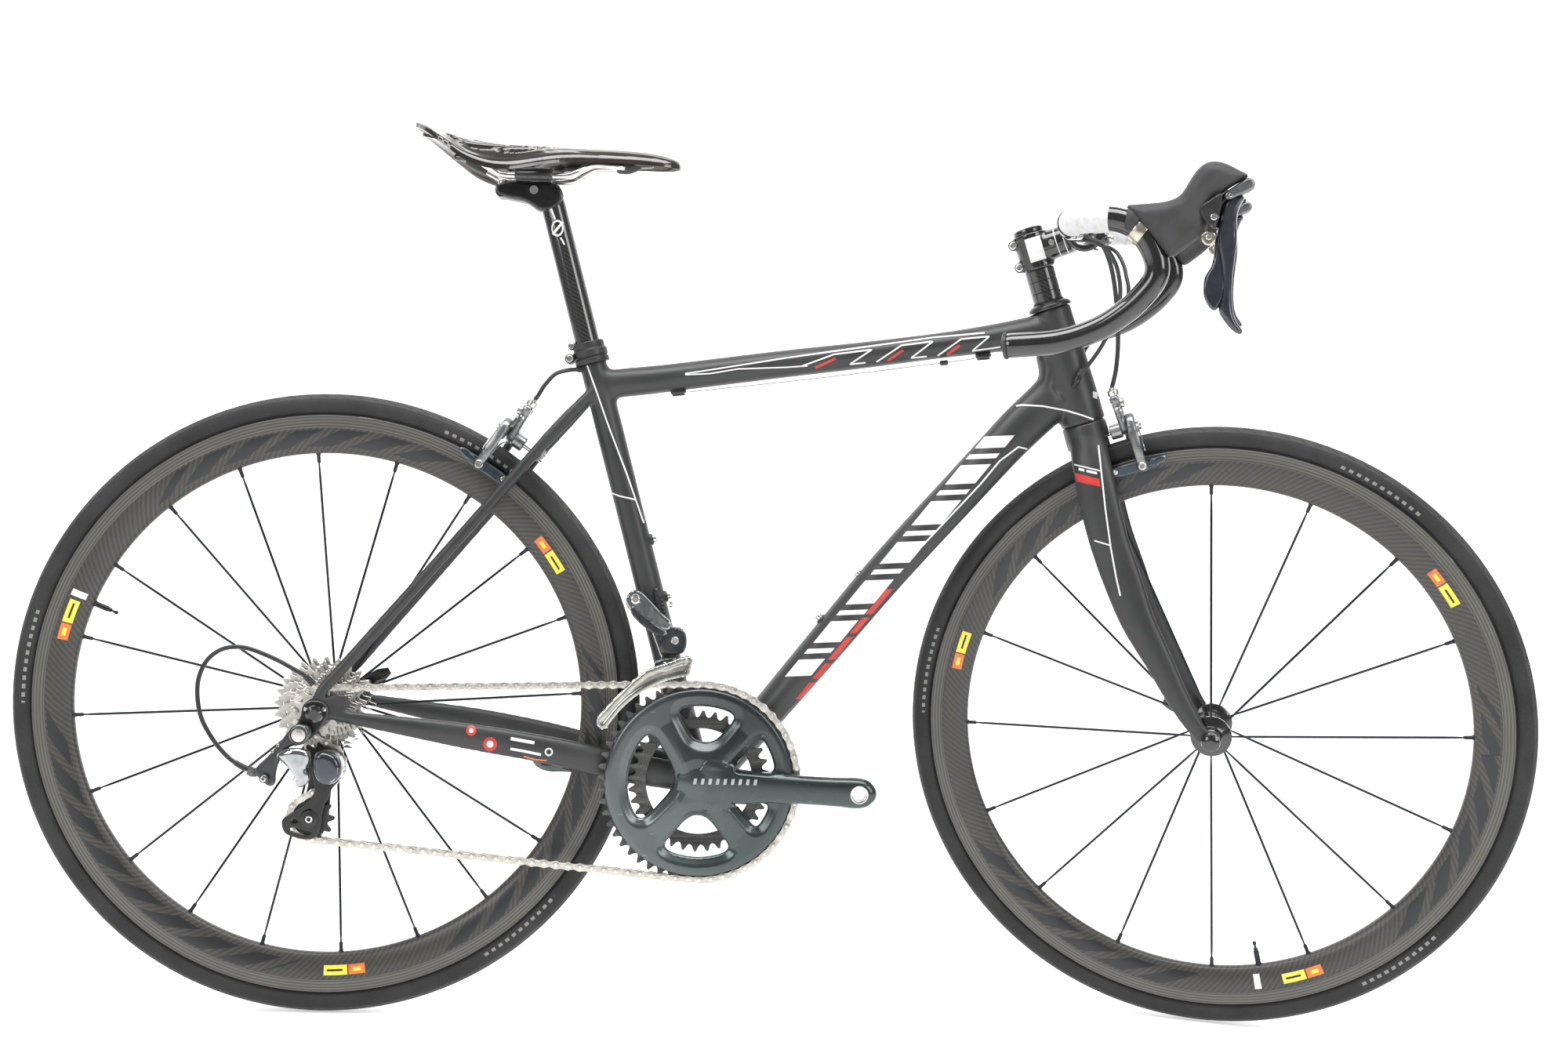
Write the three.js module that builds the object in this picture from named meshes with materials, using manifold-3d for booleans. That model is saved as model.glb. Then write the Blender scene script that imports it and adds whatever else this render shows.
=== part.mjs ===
// Road bicycle, millimetres. +X forward, +Y to the rider's left, +Z up.
// Origin: the rear tyre's contact point with the ground, in the frame's mid plane.
import * as THREE from 'three';
import { mergeVertices } from 'three/addons/utils/BufferGeometryUtils.js';
import Module from 'manifold-3d';

const wasm = await Module();
wasm.setup();

// ---------------------------------------------------------------- dimensions
const TYRE_R = 335;                      // outer radius of a 700 x 23 to 25 tyre
const WHEELBASE = 967.865;
const HEAD_ANGLE = 71.412 * Math.PI / 180;
const RAKE = 41.636;                     // fork offset
const STEER_REST = -18.452 * Math.PI / 180; // bars and front wheel stand turned to the rider's right
const BB = [401.875, 268.036];           // crank axis (x, z)
const CRANK = 170, CRANK_ANGLE = -1.687 * Math.PI / 180;
const RIM_IN = 271, RIM_OUT = 311.5, RIM_HALF = 11.5;
const WHEEL_SEG = 36;
const PITCH = 12.7;                      // chain pitch
const RING_T = 52, SMALL_T = 36, COG_T = 12, PULLEY_T = 11;
const RING_Y = -47, SMALL_Y = -39.9, COG_Y = -55.8;
const GUIDE = [4.4, 278.9], TENSION = [-5.5, 222.2];
const CHAIN_H = 4.5, CHAIN_W = 2.6;      // half height, half width
const OLD_F = 50, OLD_R = 65;            // half spacing of the dropouts
const BAR_HALF = 210, BAR_R = 12, BAR_CLAMP_R = 15.9;
const STEERER_R = 14.3;
const STEM_LENGTH = 60;
const POST_R = 13.6;
const GAP = 0.3;

const pitchR = t => PITCH / (2 * Math.sin(Math.PI / t));
const tipR = t => PITCH / 2 * (0.6 + 1 / Math.tan(Math.PI / t));
const V = (x, y, z) => new THREE.Vector3(x, y, z);
const AX = V(-Math.cos(HEAD_ANGLE), 0, Math.sin(HEAD_ANGLE));   // steering axis, up
const FW = V(Math.sin(HEAD_ANGLE), 0, Math.cos(HEAD_ANGLE));    // forward, square to it
const A0 = V(WHEELBASE, 0, TYRE_R).addScaledVector(FW, -RAKE);  // foot of the axle on the steering axis
const onAxis = t => A0.clone().addScaledVector(AX, t);
const steerMatrix = new THREE.Matrix4().makeTranslation(A0.x, A0.y, A0.z)
  .multiply(new THREE.Matrix4().makeRotationAxis(AX, STEER_REST))
  .multiply(new THREE.Matrix4().makeTranslation(-A0.x, -A0.y, -A0.z));
const turned = p => p.clone().applyMatrix4(steerMatrix);

// ---------------------------------------------------------------- solids
function clean(geo) {
  let g = geo.clone();
  for (const k of Object.keys(g.attributes)) if (k !== 'position') g.deleteAttribute(k);
  g = mergeVertices(g, 1e-4);
  const p = g.attributes.position.array, src = g.index.array, idx = [];
  let vol = 0;
  for (let i = 0; i < src.length; i += 3) {
    const [a, b, c] = [src[i], src[i + 1], src[i + 2]];
    if (a === b || b === c || a === c) continue;
    idx.push(a, b, c);
    const [x1, y1, z1, x2, y2, z2, x3, y3, z3] = [p[3 * a], p[3 * a + 1], p[3 * a + 2], p[3 * b], p[3 * b + 1], p[3 * b + 2], p[3 * c], p[3 * c + 1], p[3 * c + 2]];
    vol += x1 * (y2 * z3 - z2 * y3) - y1 * (x2 * z3 - z2 * x3) + z1 * (x2 * y3 - y2 * x3);
  }
  if (vol < 0) for (let i = 0; i < idx.length; i += 3) [idx[i + 1], idx[i + 2]] = [idx[i + 2], idx[i + 1]];
  g.setIndex(idx);
  return g;
}
function toSolid(geo) {
  const g = clean(geo);
  return new wasm.Manifold(new wasm.Mesh({ numProp: 3, vertProperties: new Float32Array(g.attributes.position.array), triVerts: new Uint32Array(g.index.array) }));
}
function toGeo(m) {
  const q = m.getMesh();
  const g = new THREE.BufferGeometry();
  g.setAttribute('position', new THREE.BufferAttribute(new Float32Array(q.vertProperties), 3));
  g.setIndex(Array.from(q.triVerts));
  return g;
}
const join = (...gs) => toGeo(gs.map(toSolid).reduce((a, b) => a.add(b)));
// cuts, then keeps the main body and drops the slivers left behind the cutters
const cut = (g, ...cs) => toGeo(cs.map(toSolid).reduce((a, b) => a.subtract(b), toSolid(g)).decompose().reduce((a, b) => (b.volume() > a.volume() ? b : a)));

const basis = (ex, ey, ez, o) => new THREE.Matrix4().makeBasis(ex, ey, ez).setPosition(o);
// turned section: closed profile of [radius, height along axis]; axis is local Y
function lathe(profile, seg = 24, phi = 0) {
  const pts = profile.map(([r, h]) => new THREE.Vector2(r, h));
  pts.push(pts[0].clone());
  return new THREE.LatheGeometry(pts, seg, phi);
}
const latheY = (profile, x, z, seg = 24, phi = 0) => lathe(profile, seg, phi).translate(x, 0, z);
const axisMatrix = basis(FW, AX, V(0, -1, 0), A0);
const latheAx = (profile, seg = 20) => lathe(profile, seg, Math.PI / seg).applyMatrix4(axisMatrix);
const ring = (r0, r1, y0, y1, x, z, seg = 20, phi = 0) => latheY([[r0, y0], [r1, y0], [r1, y1], [r0, y1]], x, z, seg, phi);
function cylY(r, y0, y1, x, z, seg = 16) {
  return new THREE.CylinderGeometry(r, r, y1 - y0, seg).translate(x, (y0 + y1) / 2, z);
}
function rod(p0, p1, r0, r1 = r0, seg = 12) {
  const d = p1.clone().sub(p0), n = d.clone().normalize();
  const ref = Math.abs(n.y) > 0.9 ? V(1, 0, 0) : V(0, 1, 0);
  const ez = new THREE.Vector3().crossVectors(ref, n).normalize(), ex = new THREE.Vector3().crossVectors(n, ez);
  return new THREE.CylinderGeometry(r1, r0, d.length(), seg).applyMatrix4(basis(ex, n, ez, p0.clone().add(p1).multiplyScalar(0.5)));
}
// flat plate: outline in (x, z), between y0 and y1; holes are outlines too
function plate(pts, y0, y1, holes = []) {
  const s = new THREE.Shape(pts.map(p => new THREE.Vector2(p[0], p[1])));
  for (const h of holes) s.holes.push(new THREE.Path(h.map(p => new THREE.Vector2(p[0], p[1]))));
  return new THREE.ExtrudeGeometry(s, { depth: y1 - y0, bevelEnabled: false, steps: 1 }).rotateX(Math.PI / 2).translate(0, y1, 0);
}
// plate in a local frame: outline along eu and ev, thickness along ew, from w0 to w1
function plateIn(o, eu, ev, ew, pts, w0, w1) {
  const s = new THREE.Shape(pts.map(p => new THREE.Vector2(p[0], p[1])));
  return new THREE.ExtrudeGeometry(s, { depth: w1 - w0, bevelEnabled: false }).translate(0, 0, w0).applyMatrix4(basis(eu, ev, ew, o));
}
const box = (x0, x1, y0, y1, z0, z1) => new THREE.BoxGeometry(x1 - x0, y1 - y0, z1 - z0).translate((x0 + x1) / 2, (y0 + y1) / 2, (z0 + z1) / 2);
const circle = (x, z, r, n, a0 = 0) => Array.from({ length: n }, (_, i) => [x + r * Math.cos(a0 + 2 * Math.PI * i / n), z + r * Math.sin(a0 + 2 * Math.PI * i / n)]);
// skin over rings of equal length, closed at both ends
function skin(rings) {
  const n = rings[0].length, pos = [], idx = [];
  for (const r of rings) for (const p of r) pos.push(p.x, p.y, p.z);
  for (let i = 0; i + 1 < rings.length; i++) for (let j = 0; j < n; j++) {
    const a = i * n + j, b = i * n + (j + 1) % n, c = a + n, d = b + n;
    idx.push(a, b, d, a, d, c);
  }
  for (const [k, flip] of [[0, true], [rings.length - 1, false]]) {
    const c = new THREE.Vector3(); rings[k].forEach(p => c.add(p)); c.divideScalar(n);
    const m = pos.length / 3; pos.push(c.x, c.y, c.z);
    for (let j = 0; j < n; j++) { const a = k * n + j, b = k * n + (j + 1) % n; flip ? idx.push(m, b, a) : idx.push(m, a, b); }
  }
  const g = new THREE.BufferGeometry();
  g.setAttribute('position', new THREE.BufferAttribute(new Float32Array(pos), 3));
  g.setIndex(idx);
  return g;
}
// tapered tube: stations of [x, y, z, half height in the plane, half width across]; extra widens it
function tube(st, n = 14, extra = 0) {
  return skin(st.map((s, i) => {
    const a = st[Math.max(i - 1, 0)], b = st[Math.min(i + 1, st.length - 1)];
    const t = V(b[0] - a[0], b[1] - a[1], b[2] - a[2]).normalize();
    const side = V(0, 1, 0).addScaledVector(t, -t.y).normalize();
    const up = new THREE.Vector3().crossVectors(side, t);
    return Array.from({ length: n }, (_, k) => {
      const f = 2 * Math.PI * (k + 0.5) / n;
      return V(s[0], s[1], s[2]).addScaledVector(side, Math.cos(f) * (s[4] + extra)).addScaledVector(up, Math.sin(f) * (s[3] + extra));
    });
  }));
}
const mirrorY = st => st.map(s => [s[0], -s[1], ...s.slice(2)]);
function hose(pts, r, steps, sides = 8) {
  const shape = new THREE.Shape(circle(0, 0, r, sides).map(p => new THREE.Vector2(p[0], p[1])));
  return new THREE.ExtrudeGeometry(shape, { steps, bevelEnabled: false, extrudePath: new THREE.CatmullRomCurve3(pts, false, 'centripetal') });
}
function sprocket(teeth, rHole, y0, y1, x, z, phase = 0) {
  const rt = tipR(teeth), rr = pitchR(teeth) - 3.9, out = [];
  for (let i = 0; i < teeth; i++) {
    const a = phase + 2 * Math.PI * i / teeth, w = 2 * Math.PI / teeth;
    out.push([x + rr * Math.cos(a - 0.26 * w), z + rr * Math.sin(a - 0.26 * w)], [x + rt * Math.cos(a), z + rt * Math.sin(a)], [x + rr * Math.cos(a + 0.26 * w), z + rr * Math.sin(a + 0.26 * w)]);
  }
  return plate(out, y0, y1, [circle(x, z, rHole, 24).reverse()]);
}

const bike = new THREE.Group();
const steering = new THREE.Group();
steering.applyMatrix4(steerMatrix);
bike.add(steering);
function put(name, geo, color, roughness, metalness, parent = bike) {
  const g = clean(geo); g.computeVertexNormals();
  const m = new THREE.Mesh(g, new THREE.MeshStandardMaterial({ color, roughness, metalness }));
  m.name = name; parent.add(m);
}
const CARBON = 0x1c1d1f, GLOSS = 0x0b0b0c, GREY = 0x55595d, SILVER = 0xb9b7b0, RUBBER = 0x1b1b1c, TEAL = 0x2a3638;

// ---------------------------------------------------------------- frame
const HT0 = 365, HT1 = 494.9;
const headProfile = e => [[24.4 + e, HT0 - e], [24.4 + e, 385], [23.6 + e, 440], [21.8 + e, 480], [21.6 + e, HT1 + e]];
const headSolid = e => latheAx([[0.01, HT0 - e], ...headProfile(e), [0.01, HT1 + e]].map(p => [Math.max(p[0], 0), p[1]]), 20);
put('head_tube', latheAx([[15.0, HT0], ...headProfile(0), [15.0, HT1]], 20), CARBON, 0.5, 0);

const seatX = z => 265.7 + (737.1 - z) * 0.2833;
const SEAT_DIR = V(-0.2726, 0, 0.9621);
const seatSt = [[716, 15.3, 15.3], [690, 15.3, 15.3], [600, 14.8, 15.2], [475, 14.8, 16], [380, 15.4, 19], [300, 16.5, 24], [283, 17, 24]].map(([z, h, w]) => [seatX(z), 0, z, h, w]);
const shell = (e = 0) => cylY(25 + e, -40 - e, 40 + e, BB[0], BB[1], 24);
const boss = (x, z, nx, nz, l0, l1) => join(rod(V(x + nx * l0, 0, z + nz * l0), V(x + nx * l1, 0, z + nz * l1), 5.5, 5.5, 10), rod(V(x + nx * l0, 0, z + nz * l0), V(x + nx * (l1 + 5), 0, z + nz * (l1 + 5)), 3.6, 3.6, 8));
// bottle cage bosses stand on the front of the seat tube and the top of the down tube, 64 mm apart
const sb = [520, 458.4].map(z => boss(seatX(z), z, 0.9621, 0.2726, 10, 17.2));
const postBore = rod(V(seatX(560), 0, 560), V(seatX(780), 0, 780), POST_R + GAP + 0.1, POST_R + GAP + 0.1, 20);
put('seat_tube', cut(join(tube(seatSt), ...sb), shell(GAP), postBore), CARBON, 0.5, 0);
const seatKeep = tube(seatSt, 14, GAP);

const topSt = [[282, 0, 690, 16, 13], [301, 0, 692.6, 16.2, 14.5], [352, 0, 699.6, 15.3, 15.5], [475, 0, 719.2, 15.1, 17], [565, 0, 732.6, 14.6, 18], [651, 0, 746.5, 14.2, 18.5], [712, 0, 757, 16, 19], [766, 0, 766.5, 20, 19]];
put('top_tube', cut(tube(topSt), headSolid(GAP), seatKeep), CARBON, 0.5, 0);
const downSt = [[410, 0, 262, 18.5, 27], [440, 0, 297, 18.8, 26], [476.8, 0, 341.4, 19.5, 24], [541, 0, 422, 21.5, 22.5], [605.6, 0, 503.1, 22.8, 22], [682.7, 0, 592.3, 23.3, 22], [722, 0, 637.5, 23.8, 21.5], [746, 0, 664, 25, 21], [779, 0, 697, 26, 20]];
const db = [[530.7, 442.2], [571.8, 491.2]].map(([x, z]) => boss(x + 0.766 * 12, z - 0.643 * 12, -0.766, 0.643, 0, 14));
put('down_tube', cut(join(tube(downSt), ...db), headSolid(GAP), shell(GAP), seatKeep, tube(topSt, 14, GAP)), CARBON, 0.5, 0);
put('bb_shell', ring(12.5, 25, -40, 40, BB[0], BB[1], 24), CARBON, 0.5, 0);

const stayR = [[16, -67.2, 333, 6, 3.6], [76, -62, 324.4, 9.4, 6], [158, -54, 312, 14, 7.5], [241, -44, 298, 15, 8], [300, -32, 284, 16.2, 8], [335, -28, 277, 17, 8], [385, -27, 269.5, 17, 9]];
const seatStayR = [[4, -67.2, 356, 6.4, 3.2], [31.2, -60.5, 389.8, 6.4, 4.6], [110, -49.5, 485, 6.2, 5], [188.3, -38, 580.2, 6.4, 5.2], [228.3, -28, 629.3, 6.8, 5.4], [262, -17, 668, 7.5, 6], [280, -11, 689, 7.5, 6]];
const dropDisc = (s, e) => cylY(14 + e, s < 0 ? -69.2 - e : 65.2 - e, s < 0 ? -65.2 + e : 69.2 + e, 0, 335, 20);
const axleSlot = s => join(cylY(5.2, s < 0 ? -80 : 60, s < 0 ? -60 : 80, 0, 335, 16), box(-5.2, 5.2, s < 0 ? -80 : 60, s < 0 ? -60 : 80, 315, 335));
const stayNode = (st, s) => cut(join(tube(st, 12), dropDisc(s, 0)), axleSlot(s), shell(GAP), seatKeep, tube(downSt, 14, GAP));
put('chainstay_right', stayNode(stayR, -1), CARBON, 0.5, 0);
put('chainstay_left', stayNode(mirrorY(stayR), 1), CARBON, 0.5, 0);
const keepR = [dropDisc(-1, GAP), tube(stayR, 12, GAP)], keepL = [dropDisc(1, GAP), tube(mirrorY(stayR), 12, GAP)];
put('seatstay_right', cut(tube(seatStayR, 12), ...keepR, seatKeep, tube(topSt, 14, GAP)), CARBON, 0.5, 0);
// the brake bridge is moulded with the left stay and meets the right one
const RB0 = V(190.6, 0, 628.5), RBT = V(-0.8387, 0, 0.5446), RBR = V(0.5446, 0, 0.8387);
const bridge = cylY(7.5, -30, 30, 216.1, 612, 14);
put('seatstay_left', cut(join(tube(mirrorY(seatStayR), 12), cut(bridge, tube(seatStayR, 12, GAP))), ...keepL, seatKeep, tube(topSt, 14, GAP)), CARBON, 0.5, 0);

// replaceable hanger bolted on the outside of the right dropout
const HANG = [-14.2, 314.1];
put('derailleur_hanger', cut(join(cylY(13, -73.3, -69.5, 0, 335, 18), cylY(9, -73.3, -69.5, HANG[0], HANG[1], 16), plate([[-12.5, 338], [-23, 315], [-7, 308], [10, 325]], -73.3, -69.5)), cylY(5.2, -80, -60, 0, 335, 16)), 0x17181a, 0.45, 0.6);

const seatM = basis(V(0.9621, 0, 0.2726), SEAT_DIR, V(0, -1, 0), V(seatX(714), 0, 714));
const collar = lathe([[15.9, -1], [18.4, -1], [18.6, 3], [18.6, 14], [17.4, 15], [17.2, 22], [14.1, 22], [14.1, 2.6], [15.9, 2.6]], 20).applyMatrix4(seatM);
put('seat_collar', cut(join(collar, rod(V(248, -12, 716.5), V(248, 12, 716.5), 4.8, 4.8, 12)), seatKeep, tube(topSt, 14, GAP), ...[seatStayR, mirrorY(seatStayR)].map(s => tube(s, 12, GAP))), 0x141414, 0.4, 0.7);

// ---------------------------------------------------------------- saddle and post
const postTop = V(223.5, 0, 886);
const cradle = plate([[167, 902.5], [166, 889], [196, 885], [212, 874], [232, 878], [234, 896], [228, 903]], -15, 15);
const clampTop = join(box(186, 224, -8, 8, 890, 914), box(184, 226, -26.5, 26.5, 914, 918));
put('seatpost', join(rod(V(seatX(600), 0, 600), postTop, POST_R, POST_R, 20), cradle, clampTop), GLOSS, 0.2, 0);
const railPts = s => [V(146, s * 36, 922), V(158, s * 28, 915), V(172, s * 22, 908.6), V(205, s * 22, 909.2), V(238, s * 22, 910), V(250, s * 21.5, 914), V(267, s * 15, 923.5), V(283, s * 12, 924.5), V(297, s * 8, 924)];
put('saddle_rails', hose([...railPts(-1), V(303, 0, 925), ...railPts(1).reverse()], 3.5, 34, 6), SILVER, 0.25, 1);
const saddleSt = [[82, 30, 958, 959], [96, 52, 955, 950], [115, 62, 951.5, 936], [136, 66, 947.5, 922], [160, 65.5, 944.6, 914], [182, 60, 943.6, 914], [204, 48, 944, 920], [228, 34, 944.2, 927], [256, 25, 944.4, 930], [290, 21.5, 944.2, 931], [320, 20, 942.6, 931], [342, 17, 939.5, 930.5], [356, 10, 935, 930], [361, 4, 931.5, 929.5]];
put('saddle_shell', skin(saddleSt.map(([x, w, zc, ze]) => {
  const top = [], bot = [];
  for (let k = -4; k <= 4; k++) {
    const u = k / 4, f = Math.pow(Math.abs(u), 2.1);
    const notch = x < 100 ? (1 - Math.abs(u)) * (100 - x) * 0.0 : 0;
    top.push(V(x + (x < 90 ? 0 : 0), u * w, zc - (zc - ze) * f + notch));
    bot.push(V(x, u * (w - 0.6), zc - (zc - ze) * f - 4));
  }
  return [...top, ...bot.reverse()];
})), GLOSS, 0.2, 0);

// ---------------------------------------------------------------- fork, stem, bars (straight-ahead coordinates inside the steering group)
const bladeR = [[818, -13, 652, 20, 12], [826, -27, 622, 21.5, 11], [838, -33.5, 577, 21.6, 9.6], [849.5, -36.5, 540, 21.4, 9], [865.7, -39.5, 500, 21, 8.8], [884, -43, 458, 18.6, 8.4], [909, -47, 416, 15.2, 7.8], [930.4, -50.5, 379, 12.4, 7], [949, -53.4, 351.5, 10, 5.4], [961, -53.9, 338, 9, 3.6]];
const crown = skin([[364.7, 24.4, 24.4, 0], [352, 24.6, 26, 0], [338, 24, 32, -0.5], [322, 21, 37, -1], [312, 17, 36, -1]].map(([t, hn, hy, dx]) => {
  const c = onAxis(t).addScaledVector(FW, dx);
  return Array.from({ length: 16 }, (_, k) => { const f = 2 * Math.PI * (k + 0.5) / 16; return c.clone().addScaledVector(FW, Math.sin(f) * hn).add(V(0, Math.cos(f) * hy, 0)); });
}));
const wheelArch = cylY(345, -17, 17, WHEELBASE, TYRE_R, 48);
const steererRod = rod(onAxis(350), onAxis(580.5), STEERER_R, STEERER_R, 20);
const forkDrop = s => cylY(11, s < 0 ? -57.3 : OLD_F + 0.4, s < 0 ? -OLD_F - 0.4 : 57.3, WHEELBASE, TYRE_R, 18);
const forkSlot = s => join(cylY(5.2, s < 0 ? -65 : 45, s < 0 ? -45 : 65, WHEELBASE, TYRE_R, 16), box(WHEELBASE - 5.2, WHEELBASE + 5.2, s < 0 ? -65 : 45, s < 0 ? -45 : 65, 315, TYRE_R));
const fork = cut(join(cut(join(crown, tube(bladeR, 12), tube(mirrorY(bladeR), 12)), wheelArch), steererRod, forkDrop(-1), forkDrop(1)), forkSlot(-1), forkSlot(1));
put('fork', fork, CARBON, 0.5, 0, steering);
put('headset_spacers', latheAx([[14.8, 495.3], [23.4, 495.3], [23.2, 497.5], [18, 501], [16.2, 502], [16.2, 539.6], [14.8, 539.6]], 20), GLOSS, 0.2, 0, steering);
const BARC = onAxis(563).addScaledVector(FW, STEM_LENGTH);
const barPath = s => [V(BARC.x, s * 60, BARC.z), V(BARC.x, s * 120, BARC.z), V(806, s * 165, 878.5), V(812, s * 192, 879.6), V(830, s * 206, 880.4), V(850.4, s * BAR_HALF, 880.5), V(870.8, s * BAR_HALF, 872.9), V(885.5, s * BAR_HALF, 855.5), V(892.4, s * BAR_HALF, 838), V(891, s * BAR_HALF, 824.5), V(882.7, s * BAR_HALF, 811), V(865.5, s * BAR_HALF, 793.2), V(838.2, s * BAR_HALF, 774.6), V(801.4, s * BAR_HALF, 761.5), V(749.7, s * BAR_HALF, 755.5)];
const barLine = [...barPath(-1).reverse(), V(BARC.x, 0, BARC.z), ...barPath(1)];
const barSweep = (r, steps) => hose(barLine, r, steps, 8);
put('handlebar', join(barSweep(BAR_R, 44), cylY(BAR_CLAMP_R, -34, 34, BARC.x, BARC.z, 20)), GLOSS, 0.15, 0, steering);
const stemBody = join(latheAx([[0, 540], [18.6, 540], [18.6, 580.5], [0, 580.5]], 20), rod(onAxis(561.5), BARC, 17.5, 16.5, 16), cylY(21, -22, 22, BARC.x, BARC.z, 20),
  rod(onAxis(547).addScaledVector(FW, -17).add(V(0, -13, 0)), onAxis(547).addScaledVector(FW, -17).add(V(0, 13, 0)), 5, 5, 10),
  rod(onAxis(572).addScaledVector(FW, -17).add(V(0, -13, 0)), onAxis(572).addScaledVector(FW, -17).add(V(0, 13, 0)), 5, 5, 10));
put('stem', cut(stemBody, latheAx([[0, 500], [STEERER_R + 0.5, 500], [STEERER_R + 0.5, 600], [0, 600]], 20), cylY(BAR_CLAMP_R + GAP + 0.2, -30, 30, BARC.x, BARC.z, 20)), GLOSS, 0.2, 0.2, steering);
put('top_cap', latheAx([[0, 580.9], [16, 580.9], [16.6, 583], [15.5, 586], [0, 586.5]], 20), 0x101010, 0.3, 0.5, steering);

const hoodOutline = [[860.5, 893.6], [880, 895], [904, 898.5], [914, 906], [924.5, 926.5], [932, 933.4], [946, 935], [959, 928.5], [951.5, 908.5], [936.5, 896], [935.5, 871], [927, 861.5], [907, 844.5], [898, 848], [893, 857], [880, 866], [861.5, 870]];
const leverOutline = [[954.2, 892.4], [951.8, 868], [950.2, 845], [952.6, 822], [959.6, 799], [965.4, 779], [969, 773.6], [975.6, 776.5], [974.6, 788], [969.6, 810], [963.4, 836], [962.4, 862], [965, 882], [968, 896.6]];
const paddleOutline = [[949.2, 860], [949.6, 845], [952, 822], [958.6, 800], [955, 792], [949.4, 792.6], [941, 815], [939, 834], [942.6, 850]];
const unitOutline = [[937.2, 894.5], [952, 907.6], [963.5, 923.5], [974, 919.5], [976.6, 911.5], [968.5, 898.4], [953, 894], [948.6, 874], [943.8, 872], [938.6, 880]];
for (const [side, s] of [['right', -1], ['left', 1]]) {
  const y = s * BAR_HALF, hood = plate(hoodOutline, y - 16, y + 16);
  put(`hood_${side}`, cut(hood, barSweep(BAR_R + GAP + 0.2, 44)), RUBBER, 0.75, 0, steering);
  put(`shift_unit_${side}`, plate(unitOutline, y - 9, y + 9), GREY, 0.3, 0.9, steering);
  put(`brake_lever_${side}`, plate(leverOutline, y - 5.5, y + 5.5), 0x1d2125, 0.25, 0.6, steering);
  put(`shift_paddle_${side}`, plate(paddleOutline, y - 4, y + 4), 0x1d2125, 0.3, 0.5, steering);
}

// ---------------------------------------------------------------- brakes: dual-pivot arms in a local frame (y, radial, along the bolt)
const FB0 = onAxis(346).addScaledVector(FW, 38);
function brakeArms(o, er, et) {
  // et is the bolt axis, pointing away from the frame; arms stack along it
  const eu = V(0, 1, 0), flip = new THREE.Vector3().crossVectors(eu, er).dot(et) < 0;
  const U = flip ? V(0, -1, 0) : eu;
  const P = (pts, w0, w1) => plateIn(o, U, er, et, pts.map(([y, r]) => [flip ? -y : y, r]), w0, w1);
  const right = [[-9, -6], [-9, 8], [-20, 15], [-31, 12], [-36, -4], [-36, -24], [-31, -44], [-23, -46], [-23, -36], [-27, -22], [-26, -8], [-19, -4]];
  const left = [[9, -7], [22, -6], [27, -12], [27, -24], [23, -36], [23, -46], [31, -44], [35, -24], [35, -4], [28, 6], [9, 9], [-8, 12], [-20, 34], [-30, 38], [-32, 33], [-22, 14], [-9, -7]];
  const pad = s => P(s < 0 ? [[-23.2, -47], [-15, -46], [-15, -36.5], [-23.2, -36]] : [[15, -46], [23.2, -47], [23.2, -36], [15, -36.5]], -20, 30);
  const adj = rod(o.clone().add(V(0, -24, 0)).addScaledVector(er, 26).addScaledVector(et, 4), o.clone().add(V(0, -24, 0)).addScaledVector(er, 47).addScaledVector(et, 4), 4.4, 4.4, 10);
  return [join(P(right, 8.6, 16.6), pad(-1)), join(P(left, 0, 8), pad(1), adj, P([[-8, -8], [8, -8], [8, 8], [-8, 8]], -12, 8))];
}
const [fbR, fbL] = brakeArms(FB0, AX, FW), [rbR, rbL] = brakeArms(RB0, RBR, RBT);
put('front_brake_arm_right', fbR, GREY, 0.35, 0.9, steering);
put('front_brake_arm_left', cut(fbL, rod(onAxis(346), onAxis(346).addScaledVector(FW, 25), 12, 12, 12)), GREY, 0.35, 0.9, steering);
put('rear_brake_arm_right', rbR, GREY, 0.35, 0.9);
put('rear_brake_arm_left', cut(rbL, cylY(8, -40, 40, 216.1, 612, 14)), GREY, 0.35, 0.9);

// ---------------------------------------------------------------- wheels
const K = 1 / Math.cos(Math.PI / WHEEL_SEG), PHI = Math.PI / WHEEL_SEG;
const rimProfile = [[RIM_IN, -3.5], [RIM_IN, 3.5], [285, 9], [300, 11.2], [RIM_OUT, RIM_HALF], [RIM_OUT, -RIM_HALF], [300, -11.2], [285, -9]].map(([r, y]) => [r * K, y]);
const tyreProfile = [[311.9, -9], [318, -12.3], [326, -12], [332, -8.8], [TYRE_R, -4], [TYRE_R, 4], [332, 8.8], [326, 12], [318, 12.3], [311.9, 9]].map(([r, y]) => [r * K, y]);
function spokes(x, z, count, phase, yA, yB, r0) {
  const out = [];
  for (let i = 0; i < count; i++) {
    const a = phase + 2 * Math.PI * i / count, s = i % 2 ? 1 : -1, y0 = s > 0 ? yB : yA;
    const d = V(Math.cos(a), 0, Math.sin(a));
    out.push(rod(V(x, y0, z).addScaledVector(d, r0), V(x, s * 1.0, z).addScaledVector(d, RIM_IN - 0.4), 1.1, 1.1, 4));
  }
  return out;
}
const rad = a => a * Math.PI / 180;
const frontHub = latheY([[5.3, -49.6], [9.5, -49.6], [10.5, -36], [22, -33.5], [22, -29.5], [12, -26], [11, 0], [12, 26], [22, 29.5], [22, 33.5], [10.5, 36], [9.5, 49.6], [5.3, 49.6]], WHEELBASE, TYRE_R, 18);
put('front_tyre', latheY(tyreProfile, WHEELBASE, TYRE_R, WHEEL_SEG, PHI), RUBBER, 0.85, 0, steering);
put('front_rim', latheY(rimProfile, WHEELBASE, TYRE_R, WHEEL_SEG, PHI), 0x3c3833, 0.5, 0, steering);
put('front_hub', join(frontHub, ...spokes(WHEELBASE, TYRE_R, 16, rad(3.2), -31.5, 31.5, 19)), GLOSS, 0.25, 0.3, steering);
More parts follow.
